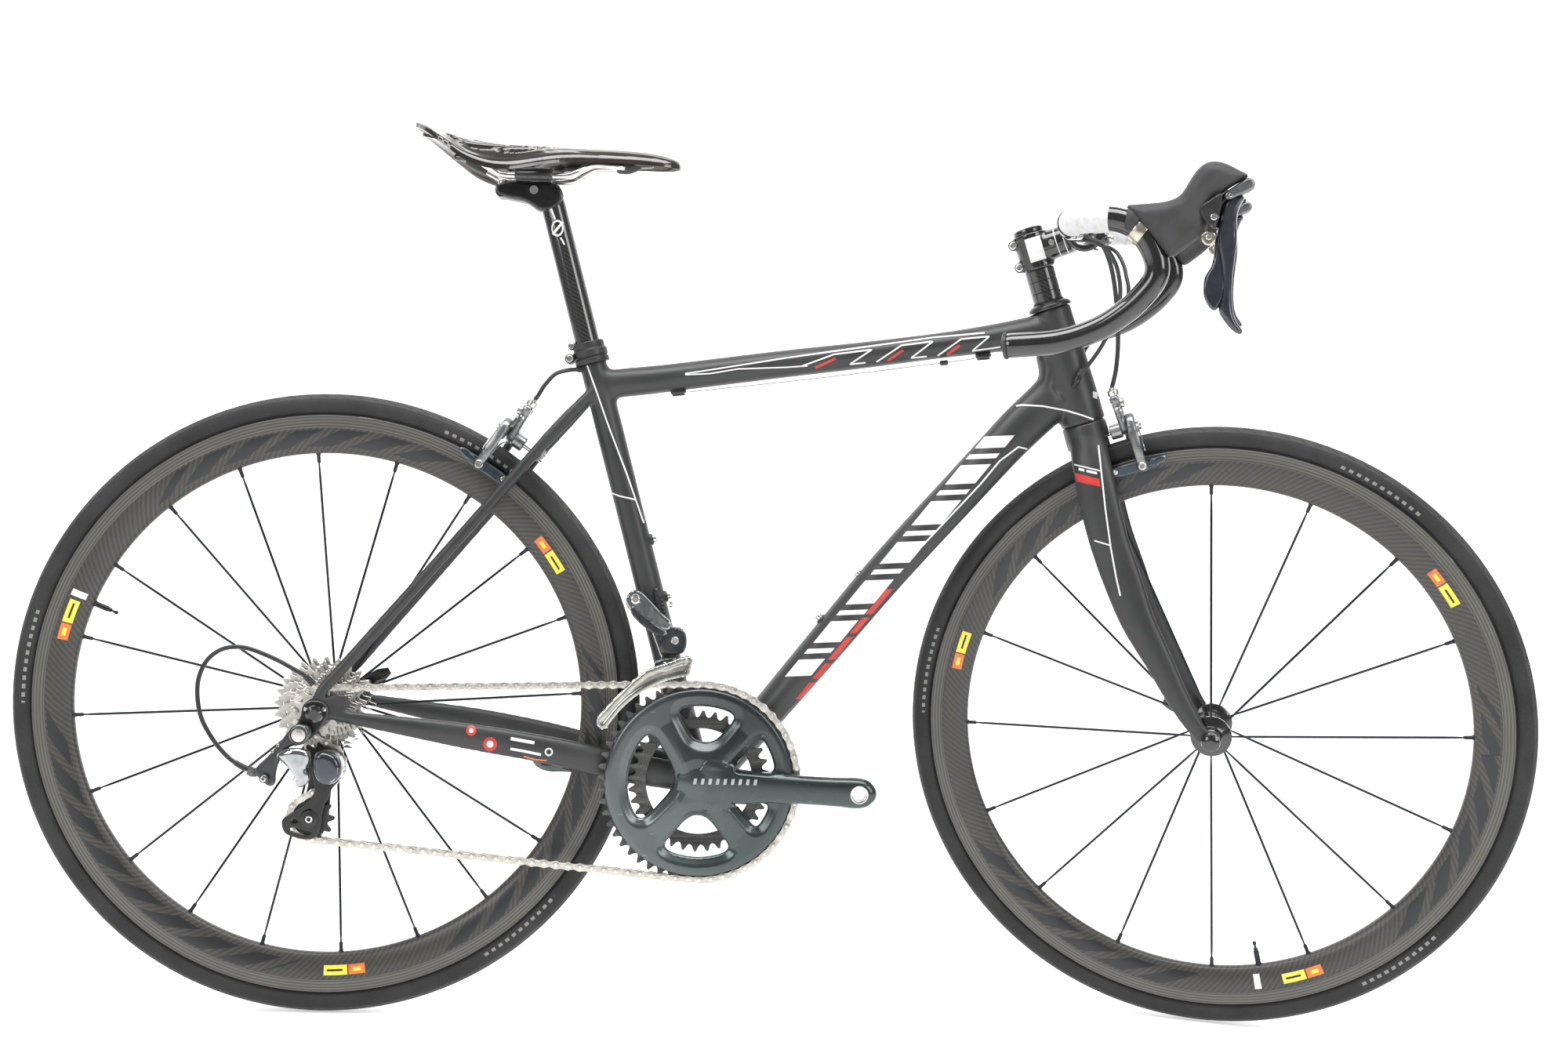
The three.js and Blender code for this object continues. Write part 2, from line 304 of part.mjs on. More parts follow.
put('front_axle', join(cylY(4.7, -60, 60, WHEELBASE, TYRE_R, 16), latheY([[0, -66], [8.5, -66], [9, -63], [9, -57.6], [0, -57.6]], WHEELBASE, TYRE_R, 16), cylY(8.5, 57.6, 60.5, WHEELBASE, TYRE_R, 16)), 0x161616, 0.3, 0.5, steering);
const rearHub = latheY([[5.3, -20.1], [24, -20.1], [24.5, -15.5], [14, -12], [13, 20], [14, 31], [22, 34], [22, 38], [11, 41], [9.5, 64.6], [5.3, 64.6]], 0, TYRE_R, 18);
put('rear_tyre', latheY(tyreProfile, 0, TYRE_R, WHEEL_SEG, PHI), RUBBER, 0.85, 0);
put('rear_rim', latheY(rimProfile, 0, TYRE_R, WHEEL_SEG, PHI), 0x3c3833, 0.5, 0);
put('rear_hub', join(rearHub, ...spokes(0, TYRE_R, 20, rad(4), -18, 36, 20)), GLOSS, 0.25, 0.3);
put('rear_axle', join(cylY(4.7, -78, 72, 0, TYRE_R, 16), cylY(8.5, -64.8, -61.9, 0, TYRE_R, 16), latheY([[0, -82], [8.5, -82], [9.5, -79], [9.5, -73.7], [0, -73.7]], 0, TYRE_R, 16), cylY(8.5, 69.6, 74, 0, TYRE_R, 16)), 0x161616, 0.3, 0.5);
const cogY = i => -59.54 + 3.74 * i;
put('cassette', latheY([[5.3, -61.6], [15, -61.6], [16, cogY(0) - 0.8], [tipR(11), cogY(0) - 0.8], [tipR(11), cogY(0) + 0.8], [18.8, cogY(0) + 0.8], [18.8, cogY(1) - 0.8], [tipR(12), cogY(1) - 0.8], [tipR(12), cogY(1) + 0.8], [18.8, cogY(1) + 0.8], [18.8, cogY(2) - 0.8], [tipR(13), cogY(2) - 0.8], [tipR(17), cogY(6)], [tipR(25), cogY(10) - 0.8], [tipR(25), cogY(10) + 0.8], [5.3, cogY(10) + 0.8]], 0, TYRE_R, 24), SILVER, 0.35, 0.9);

// quick-release levers on the left side, folded back along the fork and the stay
const QR_R = V(0.873, 0, 0.488), QR_F = V(-0.98, 0, 0.2);
function qrLever(x, y, d) {
  const n = new THREE.Vector3().crossVectors(V(0, 1, 0), d), c = V(x, y, TYRE_R);
  const b = plateIn(c, d, V(0, 1, 0), n.clone().negate(), [[4, -3], [20, 0], [46, -2], [55, -6], [57, -2], [48, 5], [20, 6], [4, 5]], -6, 6);
  return join(rod(c.clone().addScaledVector(n, -7), c.clone().addScaledVector(n, 7), 6.5, 6.5, 14), b);
}
put('rear_qr_lever', qrLever(0, 81, QR_R), 0x161616, 0.3, 0.4);
put('front_qr_lever', qrLever(WHEELBASE, 67.4, QR_F), 0x161616, 0.3, 0.4, steering);

// ---------------------------------------------------------------- crankset
const cr = (s, n) => [BB[0] + s * Math.cos(CRANK_ANGLE) - n * Math.sin(CRANK_ANGLE), BB[1] + s * Math.sin(CRANK_ANGLE) + n * Math.cos(CRANK_ANGLE)];
const armOutline = [[-14, -20], [22, -24], [58, -16.5], [110, -16], [160, -17]].map(([s, n]) => [s, n]);
const armShape = [...armOutline, [160, 17], [110, 16], [58, 16.5], [22, 24], [-14, 20]];
function bend(geo, dir) {   // the arm leans outwards towards the pedal
  const g = geo.clone(), p = g.attributes.position;
  for (let i = 0; i < p.count; i++) { const s = Math.abs(p.getX(i) - BB[0]); p.setY(i, p.getY(i) + dir * 7 * Math.min(1, Math.max(0, (s - 20) / 140))); }
  return g;
}
const pedal = cr(CRANK, 0), pedalL = cr(-CRANK, 0);
const spiderPts = [];
for (const [a, w] of [[50, 9], [121, 9], [229, 9], [310, 9]]) {
  const t = rad(a), u = [Math.cos(t), Math.sin(t)], n = [-u[1], u[0]];
  spiderPts.push([[BB[0] + u[0] * 12 - n[0] * w * 1.6, BB[1] + u[1] * 12 - n[1] * w * 1.6], [BB[0] + u[0] * 64.6 - n[0] * w, BB[1] + u[1] * 64.6 - n[1] * w], [BB[0] + u[0] * 64.6 + n[0] * w, BB[1] + u[1] * 64.6 + n[1] * w], [BB[0] + u[0] * 12 + n[0] * w * 1.6, BB[1] + u[1] * 12 + n[1] * w * 1.6]]);
}
const armRight = cut(join(bend(plate(armShape.map(([s, n]) => cr(s, n)), -64, -54), -1), cylY(17.3, -71.4, -60.8, pedal[0], pedal[1], 28)), cylY(7.1, -90, -50, pedal[0], pedal[1], 16));
put('crank_arm_right', join(armRight, cylY(25, -56, -41.2, BB[0], BB[1], 24), ...spiderPts.map(p => plate(p, -56, -41.2)), cylY(11.9, -42, 58, BB[0], BB[1], 20)), TEAL, 0.3, 0.8);
const armLeft = cut(join(bend(plate(armShape.map(([s, n]) => cr(-s, n)), 48, 58), 1), cylY(17.3, 54.8, 65.4, pedalL[0], pedalL[1], 28)), cylY(7.1, 50, 90, pedalL[0], pedalL[1], 16));
put('crank_arm_left', cut(join(armLeft, cylY(20, 43, 60, BB[0], BB[1], 20)), cylY(12.3, 20, 90, BB[0], BB[1], 20)), TEAL, 0.3, 0.8);
put('chainring_big', join(sprocket(RING_T, 66, RING_Y - 1, RING_Y + 1, BB[0], BB[1], rad(-1.687)), ring(66, 100.3, -53.6, RING_Y - 0.8, BB[0], BB[1], 36)), TEAL, 0.3, 0.8);
put('chainring_small', sprocket(SMALL_T, 56, SMALL_Y - 1, SMALL_Y + 1, BB[0], BB[1], rad(-1.687)), 0x1a1c1d, 0.35, 0.8);

// ---------------------------------------------------------------- chain: closed loop round chainring, cog and both pulleys
const wheels4 = [[BB[0], BB[1], pitchR(RING_T), 1, 22], [0, TYRE_R, pitchR(COG_T), 1, 10], [GUIDE[0], GUIDE[1], pitchR(PULLEY_T), -1, 7], [TENSION[0], TENSION[1], pitchR(PULLEY_T), 1, 8]];
const heading = wheels4.map((a, i) => {
  const b = wheels4[(i + 1) % 4], dx = b[0] - a[0], dz = b[1] - a[1];
  return Math.atan2(dz, dx) + Math.asin((a[3] * a[2] - b[3] * b[2]) / Math.hypot(dx, dz));
});
const loop = [];
wheels4.forEach((w, i) => {
  let f0 = heading[(i + 3) % 4], f1 = heading[i];
  if (w[3] > 0) while (f1 < f0) f1 += 2 * Math.PI; else while (f1 > f0) f1 -= 2 * Math.PI;
  for (let k = 0; k <= w[4]; k++) { const f = f0 + (f1 - f0) * k / w[4], m = [Math.sin(f), -Math.cos(f)]; loop.push([w[0] + w[3] * w[2] * m[0], w[1] + w[3] * w[2] * m[1], m]); }
  // the straight runs lean sideways only between the cog and the chainring
  if (i === 0 || i === 3) {
    const [x, z, m] = loop[loop.length - 1], d = [-m[1], m[0]];
    for (const xs of i ? [34, 292] : [292, 34]) { const l = (xs - x) / d[0]; loop.push([xs, z + d[1] * l, m]); }
  }
});
const chainY = x => { const u = Math.min(1, Math.max(0, (x - 32) / 262)); return COG_Y + (RING_Y - COG_Y) * u; };
const chainBand = (() => {
  const n = loop.length, pos = [], idx = [];
  for (const [x, z, m] of loop) for (const [h, w] of [[CHAIN_H, -CHAIN_W], [CHAIN_H, CHAIN_W], [-CHAIN_H, CHAIN_W], [-CHAIN_H, -CHAIN_W]]) {
    const px = x + m[0] * h, pz = z + m[1] * h; pos.push(px, chainY(px) + w, pz);
  }
  for (let i = 0; i < n; i++) for (let j = 0; j < 4; j++) {
    const a = i * 4 + j, b = i * 4 + (j + 1) % 4, c = ((i + 1) % n) * 4 + j, d = ((i + 1) % n) * 4 + (j + 1) % 4;
    idx.push(a, b, d, a, d, c);
  }
  const g = new THREE.BufferGeometry();
  g.setAttribute('position', new THREE.BufferAttribute(new Float32Array(pos), 3)); g.setIndex(idx);
  return g;
})();
const groove = (t, y, x, z, h = 1.35) => cylY(tipR(t) + 0.35, y - h, y + h, x, z, 40);
put('chain', cut(chainBand, groove(RING_T, RING_Y, BB[0], BB[1], 1.5), groove(COG_T, COG_Y, 0, TYRE_R), groove(PULLEY_T, COG_Y, ...GUIDE), groove(PULLEY_T, COG_Y, ...TENSION)), SILVER, 0.35, 0.9);

// ---------------------------------------------------------------- rear derailleur
const knuckle = [[-5, 323], [-18, 323], [-26, 314], [-43, 292], [-57, 277.5], [-55, 270], [-43, 259.5], [-37, 262], [-38.5, 276], [-35, 288], [-28, 300.5], [-15, 303.5], [-4, 312]];
put('rd_b_knuckle', join(plate(knuckle, -83, -73.7)), GREY, 0.35, 0.8);
const LB = V(-27.5, -76, 290), LP = V(15, -84, 281);
put('rd_link', plate([[-28, 296], [-20, 298.5], [-5, 297.5], [-3.6, 289], [-8, 276], [-16, 268], [-21, 276], [-22, 285], [-30, 288]], -92, -78), 0x8b9095, 0.15, 1);
put('rd_p_knuckle', join(plate([[2, 294.5], [10, 298], [24, 294.5], [31, 286], [31, 272], [22, 263], [9, 265], [3, 274]], -91, -66.5), cylY(9, -67, -62.4, 16, 279, 16)), 0x34383c, 0.2, 0.8);
const cageOut = [[3, 298], [16, 299], [27, 290], [28, 274], [17, 246], [12, 214], [3, 197.5], [-13, 196], [-31, 205], [-35, 217], [-28, 227], [-14, 243], [-9, 264], [-8, 284]];
const cageIn = [[3, 292], [14, 288], [17, 276], [14, 250], [12, 214], [3, 199], [-13, 197.5], [-28, 208], [-31, 219], [-20, 232], [-10, 250], [-8, 284]];
const pinG = cylY(3, -61, -51, ...GUIDE, 12), pinT = cylY(3, -61, -51, ...TENSION, 12);
put('rd_cage', join(plate(cageOut, -62, -60.4), plate(cageIn, -51.4, -49.9), pinG, pinT), 0x1a1a1b, 0.4, 0.5);
const pulleyPhase = (i) => heading[i] - Math.PI / 2;
const pulley = c => toGeo(toSolid(plate((() => { const o = [], rt = tipR(PULLEY_T), rr = pitchR(PULLEY_T) - 3.9; for (let i = 0; i < PULLEY_T; i++) { const a = 2 * Math.PI * i / PULLEY_T, w = 2 * Math.PI / PULLEY_T; o.push([c[0] + rr * Math.cos(a - 0.26 * w), c[1] + rr * Math.sin(a - 0.26 * w)], [c[0] + rt * Math.cos(a), c[1] + rt * Math.sin(a)], [c[0] + rr * Math.cos(a + 0.26 * w), c[1] + rr * Math.sin(a + 0.26 * w)]); } return o; })(), COG_Y - 1, COG_Y + 1, [circle(c[0], c[1], 3.4, 12).reverse()])));
put('guide_pulley', pulley(GUIDE), 0x222222, 0.6, 0);
put('tension_pulley', pulley(TENSION), 0x222222, 0.6, 0);

// ---------------------------------------------------------------- front derailleur
const fdBody = join(box(354, 384, -33, -17.5, 402, 432), plate([[352, 430], [366, 436], [332, 470], [320, 466], [317, 456], [326, 446]], -33, -25));
put('front_derailleur_body', cut(fdBody, seatKeep), GREY, 0.3, 0.9);
const arc = (r, a0, a1, n) => Array.from({ length: n + 1 }, (_, i) => { const a = rad(a0 + (a1 - a0) * i / n); return [BB[0] + r * Math.cos(a), BB[1] + r * Math.sin(a)]; });
const cageShape = [...arc(115.5, 97, 141, 7), [300, 324], [291, 333], [329, 376], [347, 388], [372, 398], [390, 402]];
put('fd_cage', join(plate(cageShape, -53, -51.4), plate(cageShape, -42.6, -41), plate([[352, 390], [372, 397.5], [390, 401.5], [390, 393.5], [372, 391], [356, 384.5]], -52.9, -34), plate([[350, 384], [372, 392], [366, 398.5], [350, 396]], -41.5, -27.5)), SILVER, 0.25, 1);

// ---------------------------------------------------------------- brake and gear housings
put('rear_brake_housing', hose([V(256.6, -4, 705), V(246.5, -8, 704.2), V(233.8, -14, 699.5), V(223.4, -19, 687.5), V(217.4, -22.6, 676.6), V(216.3, -23.2, 674.2)], 2.4, 12, 6), 0x1a1a1a, 0.5, 0);
put('rd_housing', hose([V(-9, -69, 371), V(-22.2, -71, 380), V(-42.5, -73, 391), V(-66.8, -75, 400.6), V(-82.9, -75, 402.6), V(-98.8, -75, 398.5), V(-112.8, -75, 385.5), V(-120.3, -75, 362.4), V(-117.2, -75, 332.3), V(-104.7, -76, 308.2), V(-88.2, -77, 289), V(-73, -78, 279), V(-58.6, -78.5, 272)], 2.4, 26, 6), 0x1a1a1a, 0.5, 0);
put('front_brake_housing', hose([V(819, -74, 864), V(828, -62, 862), V(836, -48, 848), V(841, -34, 818), V(846, -26, 772), V(FB0.x + AX.x * 56, -24, FB0.z + AX.z * 56).addScaledVector(FW, 4), V(FB0.x + AX.x * 51.4, -24, FB0.z + AX.z * 51.4).addScaledVector(FW, 4)], 2.4, 14, 6), 0x1a1a1a, 0.5, 0, steering);
for (const [side, s] of [['right', -1], ['left', 1]]) {
  const e = onAxis(418).add(V(0, s * 27.2, 0)).addScaledVector(FW, 6);
  put(`shift_housing_${side}`, hose([turned(V(817, s * 90, 862)), turned(V(832, s * 80, 858)), turned(V(846, s * 64, 836)), turned(V(848, s * 50, 800)).addScaledVector(V(0, 0, 1), 0), V(e.x + 22, s * 40, e.z + 36), V(e.x + 7, s * 30.5, e.z + 9), e], 2.2, 16, 6), 0x1a1a1a, 0.5, 0);
}

export default bike;
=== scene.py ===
# Road bicycle, visual model. Lengths in the tables are millimetres; meshes are made in metres.
import math
import bpy
import bmesh
import numpy as np
from mathutils import Matrix, Vector
from mathutils.bvhtree import BVHTree


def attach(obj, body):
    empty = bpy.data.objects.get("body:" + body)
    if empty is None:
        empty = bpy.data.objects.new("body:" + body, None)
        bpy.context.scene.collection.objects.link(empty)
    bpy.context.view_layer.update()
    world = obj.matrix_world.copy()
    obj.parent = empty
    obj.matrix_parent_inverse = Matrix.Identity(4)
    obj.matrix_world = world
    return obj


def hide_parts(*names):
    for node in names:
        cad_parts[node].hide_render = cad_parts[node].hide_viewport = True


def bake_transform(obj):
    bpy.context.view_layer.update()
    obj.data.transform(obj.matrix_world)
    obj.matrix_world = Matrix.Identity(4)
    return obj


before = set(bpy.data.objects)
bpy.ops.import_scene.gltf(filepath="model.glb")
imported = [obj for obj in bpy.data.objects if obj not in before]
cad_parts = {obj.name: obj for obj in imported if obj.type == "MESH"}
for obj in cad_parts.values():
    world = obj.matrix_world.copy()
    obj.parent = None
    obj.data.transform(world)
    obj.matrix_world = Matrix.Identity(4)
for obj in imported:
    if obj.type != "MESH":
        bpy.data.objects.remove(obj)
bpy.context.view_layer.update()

SC = 0.001
rad = math.radians
sin, cos, pi = math.sin, math.cos, math.pi
A = np.array


def unit(v):
    v = A(v, float)
    return v / np.linalg.norm(v)


# ------------------------------------------------------------------ layout
TYRE_R, WHEELBASE = 335.0, 967.865
BB = (401.875, 268.036)
CRANK, CRANK_A = 170.0, rad(-1.687)
AX = A([-0.318763, 0.0, 0.947834])
FW = A([0.947834, 0.0, 0.318763])
A0 = A([WHEELBASE, 0.0, TYRE_R]) - FW * 41.636
Y1 = A([0.0, 1.0, 0.0])
GUIDE, TENSION = (4.4, 278.9), (-5.5, 222.2)
RING_Y, SMALL_Y, COG_Y = -47.0, -39.9, -55.8
STEER = Matrix.Translation(Vector(A0 * SC)) @ Matrix.Rotation(rad(-18.452), 4, Vector(AX)) @ Matrix.Translation(Vector(-A0 * SC))


def on_axis(t):
    return A0 + AX * t


def turned(p):
    return A(STEER @ Vector(A(p, float) * SC)) / SC


def pitch_r(t):
    return 6.35 / sin(pi / t)


def tip_r(t):
    return 6.35 * (0.6 + 1 / math.tan(pi / t))


# ------------------------------------------------------------------ mesh pieces
class Acc:
    """Gathers solids (millimetres) for one visible piece; each solid has a material number."""

    def __init__(self):
        self.v, self.f, self.m, self.n = [], [], [], 0

    def add(self, vf, m=0):
        v, f = vf
        v = np.asarray(v, float).reshape(-1, 3)
        self.v.append(v)
        n = self.n
        self.f.extend([tuple(i + n for i in q) for q in f])
        self.m.extend([m] * len(f))
        self.n += len(v)
        return self

    def mirror(self, vf, m=0):
        v, f = vf
        self.add(vf, m)
        w = np.asarray(v, float) * A([1, -1, 1])
        return self.add((w, [tuple(reversed(q)) for q in f]), m)

    def obj(self, name, mats, body, slot, replaces=(), matrix=None, origin=(0, 0, 0), angle=32, subsurf=0):
        v = (np.concatenate(self.v) - A(origin)) * SC
        me = bpy.data.meshes.new(name)
        me.from_pydata(v.tolist(), [], self.f)
        me.polygons.foreach_set("material_index", self.m)
        o = make(name, me, mats, angle)
        mw = Matrix.Translation(Vector(A(origin, float) * SC))
        o.matrix_world = (matrix @ mw) if matrix is not None else mw
        if subsurf:
            apply_mod(o, "SUBSURF", levels=subsurf, render_levels=subsurf)
        settle(o, body, replaces)
        return o


def make(name, me, mats, angle=32):
    bm = bmesh.new()
    bm.from_mesh(me)
    bmesh.ops.remove_doubles(bm, verts=bm.verts, dist=1.5e-6)
    bmesh.ops.dissolve_degenerate(bm, edges=bm.edges, dist=1e-7)
    bmesh.ops.recalc_face_normals(bm, faces=bm.faces)
    bm.to_mesh(me)
    bm.free()
    for m in mats:
        me.materials.append(m)
    me.shade_smooth()
    if angle:
        me.set_sharp_from_angle(angle=rad(angle))
    o = bpy.data.objects.new(name, me)
    bpy.context.scene.collection.objects.link(o)
    return o


def apply_mod(o, kind, **k):
    m = o.modifiers.new("m", kind)
    for a, b in k.items():
        setattr(m, a, b)
    dg = bpy.context.evaluated_depsgraph_get()
    dg.update()
    me = bpy.data.meshes.new_from_object(o.evaluated_get(dg), preserve_all_data_layers=True, depsgraph=dg)
    o.modifiers.clear()
    old = o.data
    o.data = me
    bpy.data.meshes.remove(old)
    return o


def settle(o, body, replaces=()):
    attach(o, body)
    if replaces:
        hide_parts(*replaces)
    return o


def catmull(pts, n, closed=False):
    """Smooth line through the points, n steps between each two."""
    p = A(pts, float)
    k = len(p)
    if k < 3 and not closed:
        t = np.linspace(0, 1, n + 1)[:, None]
        return p[0] * (1 - t) + p[-1] * t
    out = []
    for i in range(k if closed else k - 1):
        if closed:
            a, b, c, d = p[i - 1], p[i], p[(i + 1) % k], p[(i + 2) % k]
        else:
            b, c = p[i], p[i + 1]
            a = p[i - 1] if i else 2 * b - c
            d = p[i + 2] if i + 2 < k else 2 * c - b
        for s in range(n):
            t = s / n
            out.append(0.5 * (2 * b + (c - a) * t + (2 * a - 5 * b + 4 * c - d) * t * t + (3 * b - a - 3 * c + d) * t ** 3))
    if not closed:
        out.append(p[-1])
    return A(out)


def chaikin(pts, n=2):
    p = A(pts, float)
    for _ in range(n):
        q = np.roll(p, -1, 0)
        p = np.stack([p * 0.75 + q * 0.25, p * 0.25 + q * 0.75], 1).reshape(-1, p.shape[1])
    return p


def loft(rings, caps=True, closed=False):
    r = A(rings, float)
    k, n = r.shape[:2]
    f = []
    for i in range(k if closed else k - 1):
        a, b = i * n, ((i + 1) % k) * n
        for j in range(n):
            j2 = (j + 1) % n
            f.append((a + j, a + j2, b + j2, b + j))
    v = r.reshape(-1, 3)
    if caps and not closed:
        v = np.vstack([v, r[0].mean(0), r[-1].mean(0)])
        c0, c1 = k * n, k * n + 1
        f += [(c0, (j + 1) % n, j) for j in range(n)] + [(c1, (k - 1) * n + j, (k - 1) * n + (j + 1) % n) for j in range(n)]
    return v, f


def frames(p, up=None):
    """Side and up vectors along a line, without twist."""
    t = np.gradient(p, axis=0)
    t /= np.linalg.norm(t, axis=1)[:, None]
    ref = A(up, float) if up is not None else (Y1 if abs(t[0][1]) < 0.8 else A([0, 0, 1.0]))
    e = unit(ref - t[0] * ref.dot(t[0]))
    es = []
    for q in t:
        if up is not None:
            e = A(up, float)
        e = unit(e - q * e.dot(q))
        es.append(e)
    es = A(es)
    return t, es, np.cross(t, es)


def sweep(pts, r, sides=12, sub=6, up=None, flat=1.0, caps=True, closed=False, dome=True):
    """Tube along a smooth line. r is a radius, or one radius per given point; flat scales it along the third axis."""
    p = catmull(pts, sub, closed) if sub > 1 else A(pts, float)
    if np.ndim(r) == 0:
        rr = np.full(len(p), float(r))
    else:
        rr = np.interp(np.linspace(0, 1, len(p)), np.linspace(0, 1, len(r)), r)
    t, e, f = frames(p, up)
    if caps and dome and not closed:
        h = min(rr[0], rr[-1]) * 0.25
        p = np.vstack([p[0], p[0] + t[0] * h * 0.3, p[0] + t[0] * h, p[1:-1], p[-1] - t[-1] * h, p[-1] - t[-1] * h * 0.3, p[-1]])
        rr = np.r_[rr[0] * 0.72, rr[0] * 0.9, rr[0], rr[1:-1], rr[-1], rr[-1] * 0.9, rr[-1] * 0.72]
        e = np.vstack([e[0], e[0], e[0], e[1:-1], e[-1], e[-1], e[-1]])
        f = np.vstack([f[0], f[0], f[0], f[1:-1], f[-1], f[-1], f[-1]])
    a = np.arange(sides) * 2 * pi / sides
    rings = p[:, None] + rr[:, None, None] * (e[:, None] * np.cos(a)[None, :, None] + f[:, None] * np.sin(a)[None, :, None] * flat)
    return loft(rings, caps, closed)


def turn(profile, p, d, seg=32, closed=False, arc=None, ripple=None):
    """Turned shape: profile of (radius, distance along d) from p. ripple(angle, k) scales the radius."""
    d = unit(d)
    ref = A([1.0, 0, 0]) if abs(d[1]) > 0.9 else Y1
    e = unit(ref - d * ref.dot(d))
    f = np.cross(d, e)
    a = np.arange(seg) * 2 * pi / seg
    rings = []
    for k, (r, h) in enumerate(profile):
        rr = np.full(seg, max(r, 1e-4)) * (A([ripple(x, k) for x in a]) if ripple else 1)
        rings.append(A(p, float) + d * h + rr[:, None] * (e * np.cos(a)[:, None] + f * np.sin(a)[:, None]))
    return loft(rings, caps=not closed, closed=closed)


def wheel_turn(profile, seg=120):
    """Closed section of (radius, y) turned about the Y axis through the origin."""
    a = np.arange(seg) * 2 * pi / seg
    rings = [np.stack([r * np.cos(a), np.full(seg, y), r * np.sin(a)], 1) for r, y in profile]
    return loft(rings, caps=False, closed=True)


def bolt(p, d, r, h, socket=0.5, depth=None):
    """Round-headed screw with a six-sided socket; p is the seat, d points out."""
    depth = depth or h * 0.7
    n = 24

    def hexa(x, k):
        if k < 5:
            return 1.0
        y = (x + pi / 6) % (pi / 3) - pi / 6
        return 0.9 / cos(y)
    prof = [(r * 0.97, -0.6), (r, 0), (r, h * 0.62), (r * 0.94, h * 0.88), (r * 0.82, h), (r * socket, h), (r * socket * 0.97, h - 0.25), (r * socket * 0.93, h - depth), (0, h - depth)]
    return turn(prof, p, d, n, ripple=hexa)


def box_round(c, half, ex=(1, 0, 0), ey=(0, 1, 0), ez=(0, 0, 1), r=1.0):
    """Block with rounded edges (superellipse shells), centre c, half sizes."""
    c, ex, ey, ez = A(c, float), A(ex, float), A(ey, float), A(ez, float)
    hx, hy, hz = half
    r = min(r, hx * 0.98, hy * 0.98, hz * 0.98)
    n = 4
    ang = [i * pi / 2 / (n - 1) for i in range(n)]
    ring = []
    for q, (sx, sy) in enumerate([(1, 1), (-1, 1), (-1, -1), (1, -1)]):
        for a in ang:
            t = a + q * pi / 2
            ring.append((sx * (hx - r), sy * (hy - r), cos(t), sin(t)))
    rings = []
    for zz, k in [(-hz, 0.35), (-hz + r * 0.13, 0.72), (-hz + r * 0.5, 0.93), (-hz + r, 1), (hz - r, 1), (hz - r * 0.5, 0.93), (hz - r * 0.13, 0.72), (hz, 0.35)]:
        rings.append([c + ex * (x + ca * r * k) + ey * (y + sa * r * k) + ez * zz for x, y, ca, sa in ring])
    return loft(rings)


def seg_dist(p, poly):
    a, b = poly, np.roll(poly, -1, 0)
    d = b - a
    l2 = np.maximum((d ** 2).sum(1), 1e-12)
    out = np.full(len(p), 1e18)
    for i in range(len(a)):
        w = p - a[i]
        t = np.clip(w @ d[i] / l2[i], 0, 1)
        q = w - t[:, None] * d[i]
        out = np.minimum(out, (q ** 2).sum(1))
    return np.sqrt(out)


def inside(p, poly):
    r = np.zeros(len(p), bool)
    a, b = poly, np.roll(poly, -1, 0)
    for (x1, y1), (x2, y2) in zip(a, b):
        if y1 == y2:
            continue
        c = ((y1 > p[:, 1]) != (y2 > p[:, 1])) & (p[:, 0] < (x2 - x1) * (p[:, 1] - y1) / (y2 - y1) + x1)
        r ^= c
    return r


def sdf(p, poly):
    poly = A(poly, float)
    return np.where(inside(p, poly), -1, 1) * seg_dist(p, poly)


